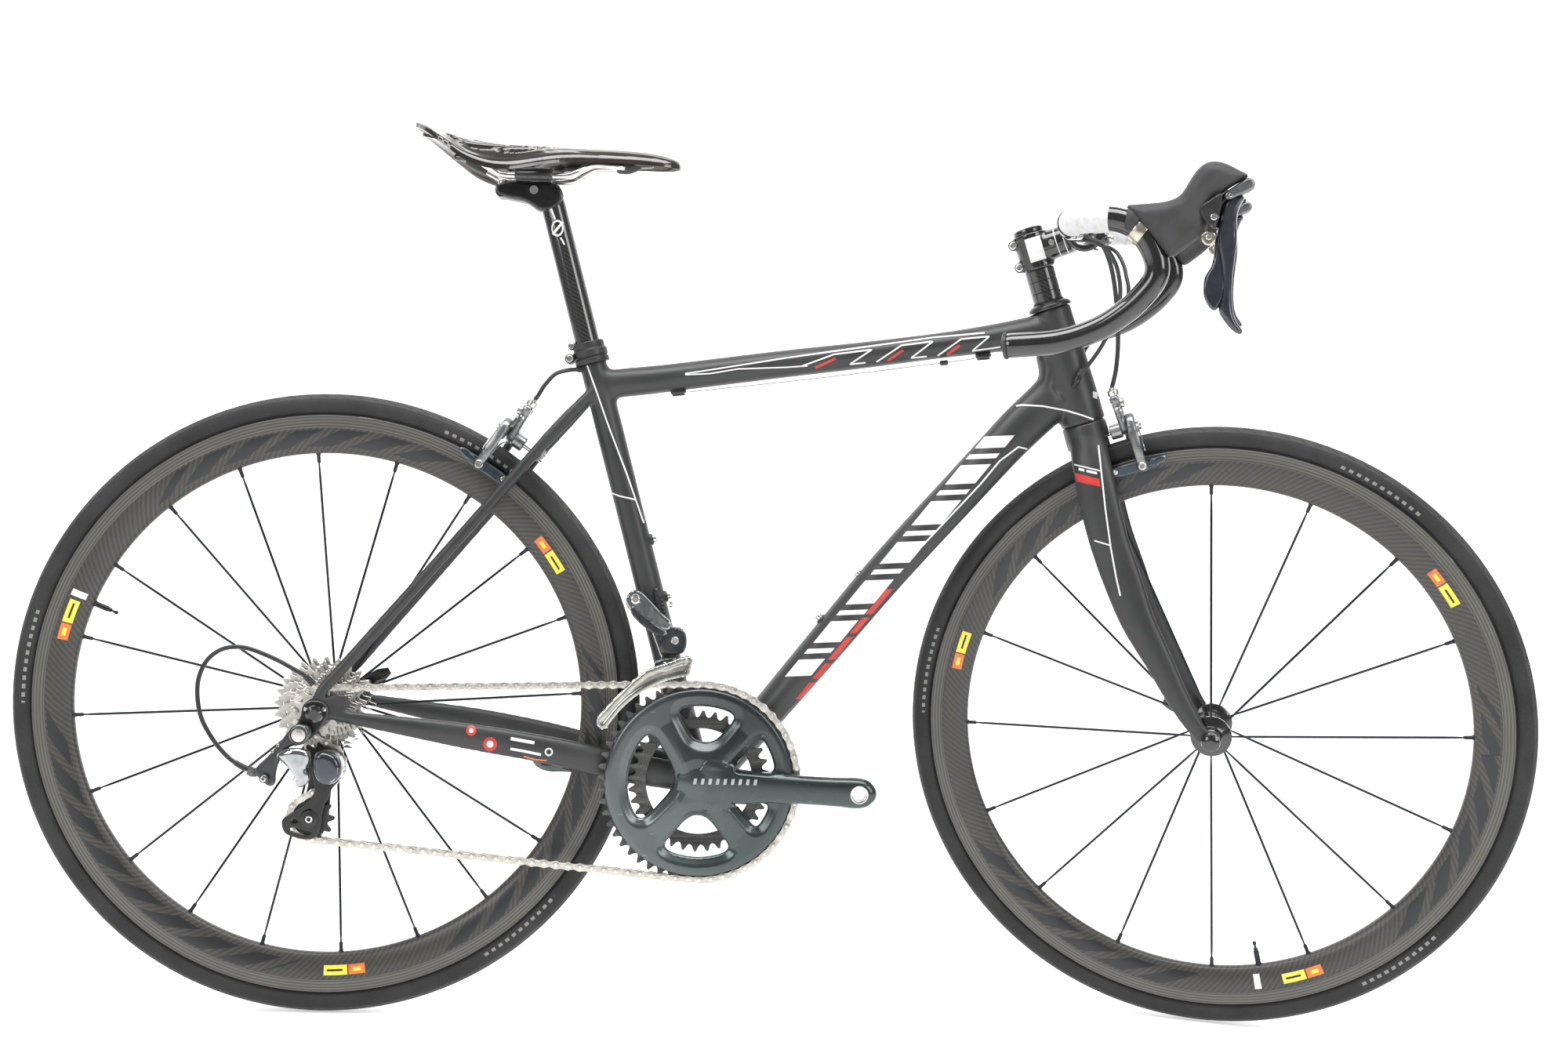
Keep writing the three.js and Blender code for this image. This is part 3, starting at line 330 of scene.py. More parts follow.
def pillow(outline, top, bot, cell=1.2, holes=(), rnd=2, eu=(1, 0, 0), ev=(0, 0, 1), ew=(0, 1, 0), o=(0, 0, 0)):
    """Sculpted plate: outline (u, v) with holes; top(u, v, d) and bot(u, v, d) give its two faces, d being the distance in from the edge."""
    out = chaikin(outline, rnd) if rnd else A(outline, float)
    hs = [chaikin(h, rnd) if rnd else A(h, float) for h in holes]
    lo, hi = out.min(0) - cell * 1.5, out.max(0) + cell * 1.5
    nx, nz = [int(math.ceil((b - a) / cell)) + 1 for a, b in zip(lo, hi)]
    gx, gz = np.meshgrid(lo[0] + np.arange(nx) * cell, lo[1] + np.arange(nz) * cell, indexing="ij")
    p = np.stack([gx.ravel(), gz.ravel()], 1)

    def field(q):
        s = sdf(q, out)
        for h in hs:
            s = np.maximum(s, -sdf(q, h))
        return s
    s = field(p)
    g = np.stack(np.gradient(s.reshape(nx, nz), cell), -1).reshape(-1, 2)
    gn = np.maximum(np.linalg.norm(g, axis=1), 0.4)
    near = np.abs(s) < 0.56 * cell
    p[near] -= (s / gn ** 2)[near, None] * g[near]
    keep = near | (s < 0)
    s = np.where(near, 0, s)
    d = np.maximum(0, -s)
    idx = np.arange(nx * nz).reshape(nx, nz)
    faces = []
    for i in range(nx - 1):
        for j in range(nz - 1):
            q = [idx[i, j], idx[i + 1, j], idx[i + 1, j + 1], idx[i, j + 1]]
            k = [x for x in q if keep[x]]
            if len(k) == 4 and not all(near[x] for x in q):
                faces.append(q)
            elif len(k) == 3 and not all(near[x] for x in k):
                faces.append(k)
            elif len(k) >= 3:
                c = p[k].mean(0)
                if field(c[None])[0] < -0.05 * cell:
                    faces.append(k)
    used = sorted({x for f in faces for x in f})
    new = {x: i for i, x in enumerate(used)}
    faces = [tuple(new[x] for x in f) for f in faces]
    p, d = p[used], d[used]
    n = len(used)
    wt, wb = top(p[:, 0], p[:, 1], d) * np.ones(n), bot(p[:, 0], p[:, 1], d) * np.ones(n)
    o, eu, ev, ew = A(o, float), A(eu, float), A(ev, float), A(ew, float)
    base = o + p[:, :1] * eu + p[:, 1:] * ev
    v = np.vstack([base + wt[:, None] * ew, base + wb[:, None] * ew])
    edges = {}
    for f in faces:
        for a, b in zip(f, f[1:] + f[:1]):
            edges[(a, b)] = 1
    rim = [(a, b) for a, b in edges if (b, a) not in edges]
    return v, faces + [tuple(x + n for x in reversed(f)) for f in faces] + [(b, a, a + n, b + n) for a, b in rim]


def flat_faces(w0, w1, r=1.0, crown=0.0):
    """top and bot for a plate from w0 to w1 with edges rounded by r."""
    def drop(d):
        k = np.clip(1 - d / r, 0, 1)
        return r * (1 - np.sqrt(np.maximum(0, 1 - k * k))) * 0.92
    return (lambda u, v, d: w1 - drop(d) + crown * np.minimum(d, 6) / 6), (lambda u, v, d: w0 + drop(d))


def slab(outline, w0, w1, r=1.0, cell=1.2, holes=(), rnd=2, crown=0.0, **k):
    t, b = flat_faces(w0, w1, min(r, (w1 - w0) * 0.48), crown)
    return pillow(outline, t, b, cell, holes, rnd, **k)


def cplate(outline, w0, w1, holes=(), bevel=0.25, eu=(1, 0, 0), ev=(0, 0, 1), ew=(0, 1, 0), o=(0, 0, 0)):
    """Flat plate with crisp bevelled edges, from a filled curve."""
    cu = bpy.data.curves.new("t", "CURVE")
    cu.dimensions, cu.fill_mode = "2D", "BOTH"
    cu.extrude = (w1 - w0) / 2 - bevel
    cu.bevel_depth, cu.bevel_resolution, cu.offset = bevel, 0, -bevel
    for pl in [outline, *holes]:
        pl = A(pl, float)
        s = cu.splines.new("POLY")
        s.points.add(len(pl) - 1)
        s.points.foreach_set("co", np.c_[pl, np.zeros(len(pl)), np.ones(len(pl))].ravel())
        s.use_cyclic_u = True
    ob = bpy.data.objects.new("t", cu)
    bpy.context.scene.collection.objects.link(ob)
    me = bpy.data.meshes.new_from_object(ob)
    co = np.zeros(len(me.vertices) * 3)
    me.vertices.foreach_get("co", co)
    co = co.reshape(-1, 3)
    f = [tuple(q.vertices) for q in me.polygons]
    bpy.data.objects.remove(ob)
    bpy.data.curves.remove(cu)
    bpy.data.meshes.remove(me)
    o, eu, ev, ew = A(o, float), A(eu, float), A(ev, float), A(ew, float)
    return o + co[:, :1] * eu + co[:, 1:2] * ev + (co[:, 2:] + (w0 + w1) / 2) * ew, f


def circ(x, z, r, n=32, a0=0.0):
    a = a0 + np.arange(n) * 2 * pi / n
    return np.stack([x + r * np.cos(a), z + r * np.sin(a)], 1)


def teeth(t, phase, x=0.0, z=0.0, worn=0.0):
    """Sprocket outline with its roller seats at phase."""
    rp, rt = pitch_r(t), tip_r(t) - worn
    rr = rp - 3.9
    w = 2 * pi / t
    prof = [(-0.46, rt), (-0.40, rt - 0.5), (-0.30, rp + 0.3), (-0.20, rp - 2.4), (-0.09, rr + 0.25), (0.0, rr), (0.09, rr + 0.25), (0.20, rp - 2.4), (0.30, rp + 0.3), (0.40, rt - 0.5)]
    out = []
    for i in range(t):
        for f, r in prof:
            a = phase + (i + f) * w
            out.append((x + r * cos(a), z + r * sin(a)))
    return A(out)


def stations(st, sub=4, n=20, extra=0.0):
    """Rings of a tapered oval tube from stations [x, y, z, half height, half width]."""
    s = catmull(A(st, float), sub)
    p = s[:, :3]
    t = np.gradient(p, axis=0)
    t /= np.linalg.norm(t, axis=1)[:, None]
    side = Y1[None] - t * t[:, 1:2]
    side /= np.linalg.norm(side, axis=1)[:, None]
    up = np.cross(side, t)
    a = 2 * pi * (np.arange(n) + 0.5) / n
    return p[:, None] + side[:, None] * (np.cos(a)[None, :, None] * (s[:, 4] + extra)[:, None, None]) + up[:, None] * (np.sin(a)[None, :, None] * (s[:, 3] + extra)[:, None, None])


def mirror_st(st):
    return [[q[0], -q[1], *q[2:]] for q in st]


def fuse(name, solids, voxel, mats, body, replaces=(), matrix=None, even=4, near=(), cuts=(), ride=True):
    """Joins overlapping solids into one skin and blends it: `near` is a list of (point, radius, rounds) where the joints are smoothed more."""
    acc = Acc()
    for s in solids:
        acc.add(s)
    me = bpy.data.meshes.new(name)
    me.from_pydata((np.concatenate(acc.v) * SC).tolist(), [], acc.f)
    o = make(name, me, mats, 0)
    apply_mod(o, "REMESH", mode="VOXEL", voxel_size=voxel * SC)
    for c in cuts:
        ca = Acc().add(c)
        mc = bpy.data.meshes.new("cut")
        mc.from_pydata((np.concatenate(ca.v) * SC).tolist(), [], ca.f)
        oc = make("cut", mc, [], 0)
        apply_mod(o, "BOOLEAN", operation="DIFFERENCE", object=oc, solver="EXACT")
        bpy.data.objects.remove(oc)
    me = o.data
    nv = len(me.vertices)
    co = np.zeros(nv * 3)
    me.vertices.foreach_get("co", co)
    co = co.reshape(-1, 3) / SC
    ed = np.zeros(len(me.edges) * 2, int)
    me.edges.foreach_get("vertices", ed)
    ed = ed.reshape(-1, 2)
    deg = np.bincount(ed.ravel(), minlength=nv).astype(float)[:, None]

    def lap(c):
        s = np.stack([np.bincount(ed[:, 0], c[ed[:, 1], k], nv) + np.bincount(ed[:, 1], c[ed[:, 0], k], nv) for k in range(3)], 1)
        return s / np.maximum(deg, 1) - c
    for _ in range(even):      # evens out the grid steps without shrinking
        co = co + 0.6 * lap(co)
        co = co - 0.62 * lap(co)
    for q, r, rounds in near:
        w = np.clip(1.25 - np.linalg.norm(co - A(q, float), axis=1) / r, 0, 1)[:, None]
        w = w * w * (3 - 2 * w)
        for _ in range(rounds):
            co = co + 0.5 * w * lap(co)
    for _ in range(2):
        co = co + 0.3 * lap(co)
    me.vertices.foreach_set("co", (co * SC).ravel())
    me.update()
    me.materials.clear()
    for m in mats:
        me.materials.append(m)
    me.polygons.foreach_set("material_index", np.zeros(len(me.polygons), int))
    me.shade_smooth()
    if matrix is not None:
        o.matrix_world = matrix
    if ride:
        settle(o, body, replaces)
    return o


def bvh(o):
    me = o.data
    co = np.zeros(len(me.vertices) * 3)
    me.vertices.foreach_get("co", co)
    co = (co.reshape(-1, 3) / SC)
    return BVHTree.FromPolygons(co.tolist(), [tuple(p.vertices) for p in me.polygons])


# ------------------------------------------------------------------ materials
class G:
    """Small helper for node trees."""

    def __init__(self, name):
        self.m = bpy.data.materials.new(name)
        self.m.use_nodes = True
        self.nt = self.m.node_tree
        self.b = self.nt.nodes["Principled BSDF"]

    def node(self, kind, **props):
        n = self.nt.nodes.new(kind)
        for k, v in props.items():
            setattr(n, k, v)
        return n

    def put(self, sock, v):
        if isinstance(v, bpy.types.NodeSocket):
            self.nt.links.new(v, sock)
        elif v is not None:
            if hasattr(sock.default_value, "__len__") and not hasattr(v, "__len__"):
                sock.default_value = [v] * len(sock.default_value)
            elif hasattr(sock.default_value, "__len__") and len(sock.default_value) == 4 and len(v) == 3:
                sock.default_value = (*v, 1)
            else:
                sock.default_value = v

    def math(self, op, a, b=None, c=None, clamp=False):
        n = self.node("ShaderNodeMath", operation=op, use_clamp=clamp)
        for s, v in zip(n.inputs, (a, b, c)):
            self.put(s, v)
        return n.outputs[0]

    def mix(self, f, a, b, blend="MIX"):
        n = self.node("ShaderNodeMix", data_type="RGBA", blend_type=blend)
        self.put(n.inputs[0], f)
        self.put(n.inputs[6], a)
        self.put(n.inputs[7], b)
        return n.outputs[2]

    def span(self, v, a, b, c=0.0, d=1.0, smooth=False):
        n = self.node("ShaderNodeMapRange", interpolation_type="SMOOTHSTEP" if smooth else "LINEAR")
        for s, x in zip(n.inputs, (v, a, b, c, d)):
            self.put(s, x)
        return n.outputs[0]

    def obj(self):
        if not hasattr(self, "_o"):
            self._o = self.node("ShaderNodeTexCoord").outputs["Object"]
            self._s = self.node("ShaderNodeSeparateXYZ")
            self.nt.links.new(self._o, self._s.inputs[0])
        return self._o

    def xyz(self, k):
        self.obj()
        return self._s.outputs[k]

    def noise(self, scale, detail=3.0, rough=0.55, vec=None, dist=0.0):
        n = self.node("ShaderNodeTexNoise")
        self.put(n.inputs["Vector"], vec or self.obj())
        self.put(n.inputs["Scale"], scale)
        self.put(n.inputs["Detail"], detail)
        self.put(n.inputs["Roughness"], rough)
        self.put(n.inputs["Distortion"], dist)
        return n.outputs["Fac"]

    def bump(self, h, strength, dist):
        n = self.node("ShaderNodeBump")
        self.put(n.inputs["Strength"], strength)
        self.put(n.inputs["Distance"], dist)
        self.put(n.inputs["Height"], h)
        self.put(self.b.inputs["Normal"], n.outputs[0])

    def set(self, **k):
        for a, v in k.items():
            self.put(self.b.inputs[a.replace("_", " ")], v)
        return self


def surface(name, c1, c2, rough=(0.3, 0.4), metal=0.0, scale=40.0, fine=900.0, bump=0.15, depth=0.00008, coat=0.0, coat_r=0.05, spec=0.5, edge=None, aniso=0.0, dirt=None):
    """Two close tones, a roughness that varies, a fine grain, and worn edges where edge gives their colour."""
    g = G(name)
    n1, n2 = g.noise(scale, 4.0), g.noise(fine, 2.0)
    col = g.mix(g.span(n1, 0.35, 0.65, smooth=True), c1, c2)
    r = g.span(g.math("ADD", g.math("MULTIPLY", n1, 0.6), g.math("MULTIPLY", n2, 0.4)), 0.3, 0.7, rough[0], rough[1])
    if dirt:
        col = g.mix(g.span(g.noise(scale * 3.1, 5.0, 0.7), 0.55, 0.75, 0, dirt[1]), col, dirt[0])
    if edge:
        pt = g.node("ShaderNodeNewGeometry").outputs["Pointiness"]
        col = g.mix(g.math("MULTIPLY", g.span(pt, 0.53, 0.62), g.span(n2, 0.3, 0.6)), col, edge)
    g.set(Base_Color=col, Roughness=r, Metallic=metal, Coat_Weight=coat, Coat_Roughness=coat_r, Specular_IOR_Level=spec, Anisotropic=aniso)
    g.bump(n2, bump, depth)
    return g.m


def twill(g, u, v, size):
    """2/2 twill on coordinates u, v (metres): returns the warp/weft mask and a thread height."""
    a, b = g.math("DIVIDE", u, size), g.math("DIVIDE", v, size)
    k = g.math("MODULO", g.math("ADD", g.math("ADD", g.math("FLOOR", a), g.math("FLOOR", b)), 4000.0), 4.0)
    warp = g.math("LESS_THAN", k, 1.5)
    fa, fb = g.math("FRACT", a), g.math("FRACT", b)
    ha = g.math("SUBTRACT", 1.0, g.math("ABSOLUTE", g.math("SUBTRACT", g.math("MULTIPLY", fa, 2.0), 1.0)))
    hb = g.math("SUBTRACT", 1.0, g.math("ABSOLUTE", g.math("SUBTRACT", g.math("MULTIPLY", fb, 2.0), 1.0)))
    n = g.node("ShaderNodeMix", data_type="FLOAT")
    g.put(n.inputs[0], warp)
    g.put(n.inputs[2], ha)
    g.put(n.inputs[3], hb)
    return warp, n.outputs[0]


def weave_tube(name, dark, light, size=0.0021, coat=1.0, radius=0.0136, rough=(0.12, 0.2)):
    """Glossy woven carbon on a tube whose axis is the object's own Z."""
    g = G(name)
    th = g.math("MULTIPLY", g.math("ARCTAN2", g.xyz(1), g.xyz(0)), radius)
    u = th
    v = g.xyz(2)
    w, h = twill(g, u, v, size)
    f = g.math("ADD", g.math("MULTIPLY", w, 0.75), g.math("MULTIPLY", h, 0.25))
    f = g.math("MULTIPLY", f, g.span(g.noise(60.0), 0.3, 0.7, 0.75, 1.0))
    g.set(Base_Color=g.mix(f, dark, light), Roughness=g.span(h, 0, 1, rough[1], rough[0]), Coat_Weight=coat, Coat_Roughness=0.03, Specular_IOR_Level=0.6)
    g.bump(h, 0.08, 0.0001)
    return g.m


def rim_mat(name, marks):
    """Woven rim wall in the wheel's own polar coordinates, with a lighter brake track and plain dark slanted marks."""
    g = G(name)
    x, y, z = g.xyz(0), g.xyz(1), g.xyz(2)
    r = g.math("SQRT", g.math("ADD", g.math("MULTIPLY", x, x), g.math("MULTIPLY", z, z)))
    th = g.math("ARCTAN2", z, x)
    arc = g.math("MULTIPLY", th, 0.3)
    size = 0.0017
    w, h = twill(g, arc, r, size)
    u2, v2 = g.math("ADD", arc, g.math("MULTIPLY", r, 1.0)), g.math("SUBTRACT", r, arc)
    w2, h2 = twill(g, u2, v2, 0.0016)
    track = g.span(r, 0.2986, 0.2990, 0, 1)
    cloud = g.noise(22.0, 4.0)
    body = g.mix(g.math("MULTIPLY", w, g.span(cloud, 0.3, 0.7, 0.6, 1.0)), (0.030, 0.0285, 0.026), (0.062, 0.058, 0.051))
    tr = g.mix(g.math("MULTIPLY", w2, g.span(cloud, 0.3, 0.7, 0.7, 1.0)), (0.055, 0.052, 0.046), (0.125, 0.118, 0.105))
    col = g.mix(track, body, tr)
    # plain slanted bars, in groups round the wheel
    deg = g.math("MULTIPLY", g.math("MODULO", g.math("ADD", th, 4 * pi), 2 * pi), 180 / pi)
    lean = g.math("ADD", deg, g.math("MULTIPLY", g.math("SUBTRACT", r, 0.287), 420.0))
    mask = None
    for a0, a1, pitch, duty in marks:
        inn = g.math("MULTIPLY", g.math("GREATER_THAN", lean, a0), g.math("LESS_THAN", lean, a1))
        bar = g.math("LESS_THAN", g.math("FRACT", g.math("DIVIDE", g.math("SUBTRACT", lean, a0), pitch)), duty)
        k = g.math("MULTIPLY", inn, bar)
        mask = k if mask is None else g.math("MAXIMUM", mask, k)
    band = g.math("MULTIPLY", g.math("GREATER_THAN", r, 0.2785), g.math("LESS_THAN", r, 0.2965))
    mask = g.math("MULTIPLY", mask, band)
    col = g.mix(mask, col, (0.012, 0.0135, 0.0155))
    edge = g.math("MULTIPLY", g.span(r, 0.2983, 0.2987, 0, 1), g.span(r, 0.2987, 0.2991, 1, 0))
    col = g.mix(g.math("MULTIPLY", edge, 0.7), col, (0.02, 0.02, 0.02))
    g.set(Base_Color=col, Roughness=g.span(g.math("ADD", h, g.math("MULTIPLY", cloud, 0.6)), 0.2, 1.4, 0.46, 0.34), Specular_IOR_Level=0.45, Coat_Weight=0.25, Coat_Roughness=0.25)
    g.bump(g.math("ADD", g.math("MULTIPLY", h, 0.5), g.math("MULTIPLY", h2, g.math("MULTIPLY", track, 0.5))), 0.25, 0.00012)
    return g.m


def tyre_mat(name):
    """Slick tyre: grained rubber, fine slanted sipes on the shoulders, a casing line and plain short dashes on the sidewall."""
    g = G(name)
    x, y, z = g.xyz(0), g.xyz(1), g.xyz(2)
    r = g.math("SQRT", g.math("ADD", g.math("MULTIPLY", x, x), g.math("MULTIPLY", z, z)))
    th = g.math("ARCTAN2", z, x)
    ay = g.math("ABSOLUTE", y)
    grain = g.noise(700.0, 3.0)
    cloud = g.noise(18.0, 4.0)
    tread = g.span(ay, 0.0102, 0.0094, 0, 1)
    tread = g.math("MULTIPLY", tread, g.math("GREATER_THAN", r, 0.325))
    sipe = g.math("FRACT", g.math("ADD", g.math("MULTIPLY", th, 118.0 / (2 * pi)), g.math("MULTIPLY", ay, 130.0)))
    sipe = g.math("MULTIPLY", g.math("LESS_THAN", sipe, 0.10), g.math("MULTIPLY", g.math("GREATER_THAN", ay, 0.0035), g.math("LESS_THAN", ay, 0.0088)))
    side = g.mix(g.span(cloud, 0.35, 0.65), (0.016, 0.016, 0.017), (0.028, 0.028, 0.029))
    top = g.mix(g.span(cloud, 0.35, 0.65), (0.040, 0.040, 0.041), (0.058, 0.057, 0.056))
    col = g.mix(tread, side, top)
    col = g.mix(g.math("MULTIPLY", sipe, tread), col, (0.012, 0.012, 0.012))
    deg = g.math("MULTIPLY", g.math("MODULO", g.math("ADD", th, 4 * pi), 2 * pi), 180 / pi)
    dash = g.math("LESS_THAN", g.math("FRACT", g.math("MULTIPLY", deg, 0.62)), 0.52)
    zone = None
    for a in (172.0, 312.0, 60.0):
        k = g.math("LESS_THAN", g.math("ABSOLUTE", g.math("SUBTRACT", deg, a)), 9.0)
        zone = k if zone is None else g.math("MAXIMUM", zone, k)
    ring = g.math("MULTIPLY", g.math("GREATER_THAN", r, 0.3188), g.math("LESS_THAN", r, 0.3222))
    dm = g.math("MULTIPLY", g.math("MULTIPLY", dash, zone), ring)
    col = g.mix(g.math("MULTIPLY", dm, 0.75), col, (0.30, 0.30, 0.29))
    g.set(Base_Color=col, Roughness=g.span(grain, 0.3, 0.7, 0.62, 0.82), Specular_IOR_Level=0.4)
    h = g.math("SUBTRACT", g.math("MULTIPLY", grain, 0.4), g.math("MULTIPLY", sipe, tread))
    g.bump(h, 0.5, 0.0003)
    return g.m


def crank_mat(name):
    """Dark grey-green metallic finish with a painted sheen that lightens and greens it downwards and lightens it to
    grey towards the rear, and a few light scuffs.
    """
    g = G(name)
    x, z = g.xyz(0), g.xyz(2)
    n1, n2 = g.noise(30.0, 4.0), g.noise(1200.0, 2.0)
    # painted sheen: lighter and greener downwards, lighter grey towards the rear
    down = g.span(z, 0.085, -0.05, 0, 1, smooth=True)
    rear = g.span(x, 0.06, -0.09, 0, 1, smooth=True)
    col = g.mix(down, (0.044, 0.050, 0.053), (0.060, 0.080, 0.076))
    col = g.mix(g.math("MULTIPLY", rear, 0.55), col, (0.150, 0.163, 0.168))
    v = g.node("ShaderNodeTexNoise")
    mp = g.node("ShaderNodeMapping")
    mp.inputs["Rotation"].default_value = (0, 0.9, 0)
    mp.inputs["Scale"].default_value = (1.0, 1.0, 14.0)
    g.put(mp.inputs[0], g.obj())
    g.put(v.inputs["Vector"], mp.outputs[0])
    g.put(v.inputs["Scale"], 55.0)
    g.put(v.inputs["Detail"], 6.0)
    scr = g.math("MULTIPLY", g.math("GREATER_THAN", v.outputs["Fac"], 0.715), g.math("GREATER_THAN", n1, 0.52))
    col = g.mix(g.math("MULTIPLY", scr, 0.8), col, (0.55, 0.56, 0.56))
    pt = g.node("ShaderNodeNewGeometry").outputs["Pointiness"]
    col = g.mix(g.math("MULTIPLY", g.span(pt, 0.54, 0.66), 0.5), col, (0.30, 0.34, 0.35))
    g.set(Base_Color=col, Metallic=0.82, Roughness=g.span(n1, 0.3, 0.7, 0.24, 0.34), Coat_Weight=0.35, Coat_Roughness=0.12)
    g.bump(n2, 0.05, 0.00005)
    return g.m


def tape_mat(name):
    g = G(name)
    w = g.node("ShaderNodeTexWave", wave_type="BANDS", bands_direction="X", wave_profile="SAW")
    g.put(w.inputs["Vector"], g.obj())
    g.put(w.inputs["Scale"], 26.0)
    g.put(w.inputs["Distortion"], 3.0)
    n = g.noise(160.0, 4.0)
    col = g.mix(g.span(n, 0.35, 0.7), (0.70, 0.71, 0.71), (0.58, 0.58, 0.57))
    g.set(Base_Color=col, Roughness=g.span(n, 0.3, 0.7, 0.32, 0.5), Specular_IOR_Level=0.4)
    g.bump(g.math("ADD", w.outputs["Fac"], g.math("MULTIPLY", n, 0.8)), 0.35, 0.0006)
    return g.m


def floor_mat(name, c):
    g = G(name)
    n = g.noise(1.5, 3.0)
    g.set(Base_Color=g.mix(n, [k * 0.985 for k in c], c), Roughness=g.span(g.noise(9.0), 0.3, 0.7, 0.6, 0.8), Specular_IOR_Level=0.25, Emission_Color=(1, 1, 1), Emission_Strength=0.40)
    return g.m


FRAME = surface("carbon_satin", (0.0215, 0.0220, 0.0230), (0.0300, 0.0305, 0.0315), rough=(0.36, 0.47), scale=14, fine=1500, bump=0.12, depth=0.00006, spec=0.55)
GLOSS = surface("black_gloss", (0.0065, 0.0065, 0.007), (0.010, 0.010, 0.0105), rough=(0.16, 0.24), scale=30, fine=500, bump=0.04, depth=0.00005, coat=1.0, coat_r=0.03)
# painted sheen: the lever base colour is raised to a blue-grey that stands in for reflections; the lighter edge colour
# is wear
LEVER_GLOSS_PAINTED_SHEEN = surface("lever_gloss_painted_sheen", (0.030, 0.036, 0.048), (0.044, 0.050, 0.064), rough=(0.14, 0.24), metal=0.55, scale=60, fine=800, bump=0.04, coat=0.9, coat_r=0.05, edge=(0.06, 0.07, 0.08))
SATIN = surface("black_satin", (0.012, 0.012, 0.013), (0.020, 0.020, 0.021), rough=(0.34, 0.5), scale=70, fine=1200, bump=0.12, edge=(0.06, 0.06, 0.06))
ALLOY_BLACK = surface("black_alloy", (0.016, 0.016, 0.017), (0.026, 0.026, 0.028), rough=(0.26, 0.38), metal=0.6, scale=90, fine=1400, bump=0.08, edge=(0.22, 0.22, 0.22))
HOUSING = surface("housing", (0.014, 0.014, 0.015), (0.022, 0.022, 0.023), rough=(0.28, 0.4), scale=120, fine=900, bump=0.08)
HOOD = surface("hood_rubber", (0.036, 0.036, 0.038), (0.050, 0.050, 0.052), rough=(0.55, 0.68), scale=45, fine=2200, bump=0.45, depth=0.00015, spec=0.4)
STEEL = surface("steel", (0.60, 0.59, 0.57), (0.70, 0.69, 0.67), rough=(0.16, 0.3), metal=1.0, scale=160, fine=1800, bump=0.05)
CHAINM = surface("chain_nickel", (0.47, 0.445, 0.40), (0.62, 0.59, 0.535), rough=(0.28, 0.44), metal=0.9, scale=150, fine=1600, bump=0.1, dirt=((0.12, 0.10, 0.08), 0.55), edge=(0.8, 0.78, 0.74))
COGM = surface("cog_nickel", (0.42, 0.405, 0.37), (0.56, 0.54, 0.50), rough=(0.26, 0.42), metal=0.92, scale=110, fine=1500, bump=0.08, dirt=((0.07, 0.06, 0.05), 0.5), edge=(0.75, 0.73, 0.70))
CHROME = surface("chrome_dark", (0.36, 0.37, 0.38), (0.46, 0.47, 0.48), rough=(0.07, 0.16), metal=1.0, scale=120, fine=1500, bump=0.04, edge=(0.7, 0.7, 0.7))
GREYALLOY = surface("grey_alloy", (0.155, 0.162, 0.168), (0.215, 0.222, 0.228), rough=(0.26, 0.38), metal=0.85, scale=120, fine=1500, bump=0.08, edge=(0.5, 0.5, 0.5))
BLUEGREY = surface("blue_grey_alloy", (0.050, 0.068, 0.085), (0.078, 0.100, 0.120), rough=(0.24, 0.36), metal=0.75, scale=100, fine=1400, bump=0.07, edge=(0.28, 0.30, 0.32))
RDGREY = surface("mech_grey", (0.032, 0.036, 0.040), (0.052, 0.056, 0.060), rough=(0.22, 0.36), metal=0.7, scale=110, fine=1500, bump=0.07, coat=0.3, coat_r=0.12, edge=(0.3, 0.3, 0.3))
RINGBLACK = surface("ring_black", (0.010, 0.0105, 0.011), (0.018, 0.0185, 0.019), rough=(0.3, 0.42), metal=0.4, scale=90, fine=1300, bump=0.1, edge=(0.22, 0.22, 0.21))
CAGEM = surface("cage_steel", (0.33, 0.33, 0.295), (0.45, 0.45, 0.41), rough=(0.14, 0.26), metal=1.0, scale=90, fine=1500, bump=0.05, edge=(0.8, 0.8, 0.76))
PLASTIC = surface("pulley_plastic", (0.018, 0.018, 0.018), (0.030, 0.029, 0.028), rough=(0.45, 0.6), scale=130, fine=1400, bump=0.2)
PAD = surface("brake_pad", (0.016, 0.016, 0.016), (0.026, 0.026, 0.026), rough=(0.7, 0.85), scale=90, fine=900, bump=0.4)
SPOKE = surface("spoke_black", (0.010, 0.011, 0.016), (0.016, 0.018, 0.026), rough=(0.26, 0.36), metal=0.4, scale=80, fine=900, bump=0.05, spec=0.5)
SADDLE = surface("saddle_gloss", (0.014, 0.010, 0.0085), (0.026, 0.018, 0.015), rough=(0.14, 0.26), scale=22, fine=600, bump=0.06, coat=1.0, coat_r=0.05)
CRANKM = crank_mat("crank_finish_painted_sheen")
TYRE = tyre_mat("tyre_rubber")
RIM_R = rim_mat("rim_weave_rear", [(68, 128, 9.4, 0.62), (186, 262, 9.4, 0.62), (300, 372, 9.4, 0.62), (0, 12, 9.4, 0.62)])
RIM_F = rim_mat("rim_weave_front", [(96, 152, 9.4, 0.62), (214, 268, 9.4, 0.62), (318, 372, 9.4, 0.62), (0, 12, 9.4, 0.62)])
WEAVE = weave_tube("post_weave", (0.006, 0.006, 0.0065), (0.034, 0.033, 0.031), size=0.0013)
WEAVE_S = weave_tube("spacer_weave", (0.006, 0.006, 0.0065), (0.034, 0.033, 0.031), size=0.0013, radius=0.0162)
TAPE = tape_mat("bar_tape_white")
WHITE = surface("mark_white", (0.70, 0.70, 0.69), (0.76, 0.76, 0.75), rough=(0.3, 0.42), scale=60, fine=900, bump=0.04)
RED = surface("mark_red", (0.52, 0.030, 0.022), (0.58, 0.045, 0.032), rough=(0.3, 0.42), scale=60, fine=900, bump=0.04)
YELLOW = surface("mark_yellow", (0.80, 0.66, 0.05), (0.84, 0.72, 0.10), rough=(0.3, 0.42), scale=60, fine=900, bump=0.04)
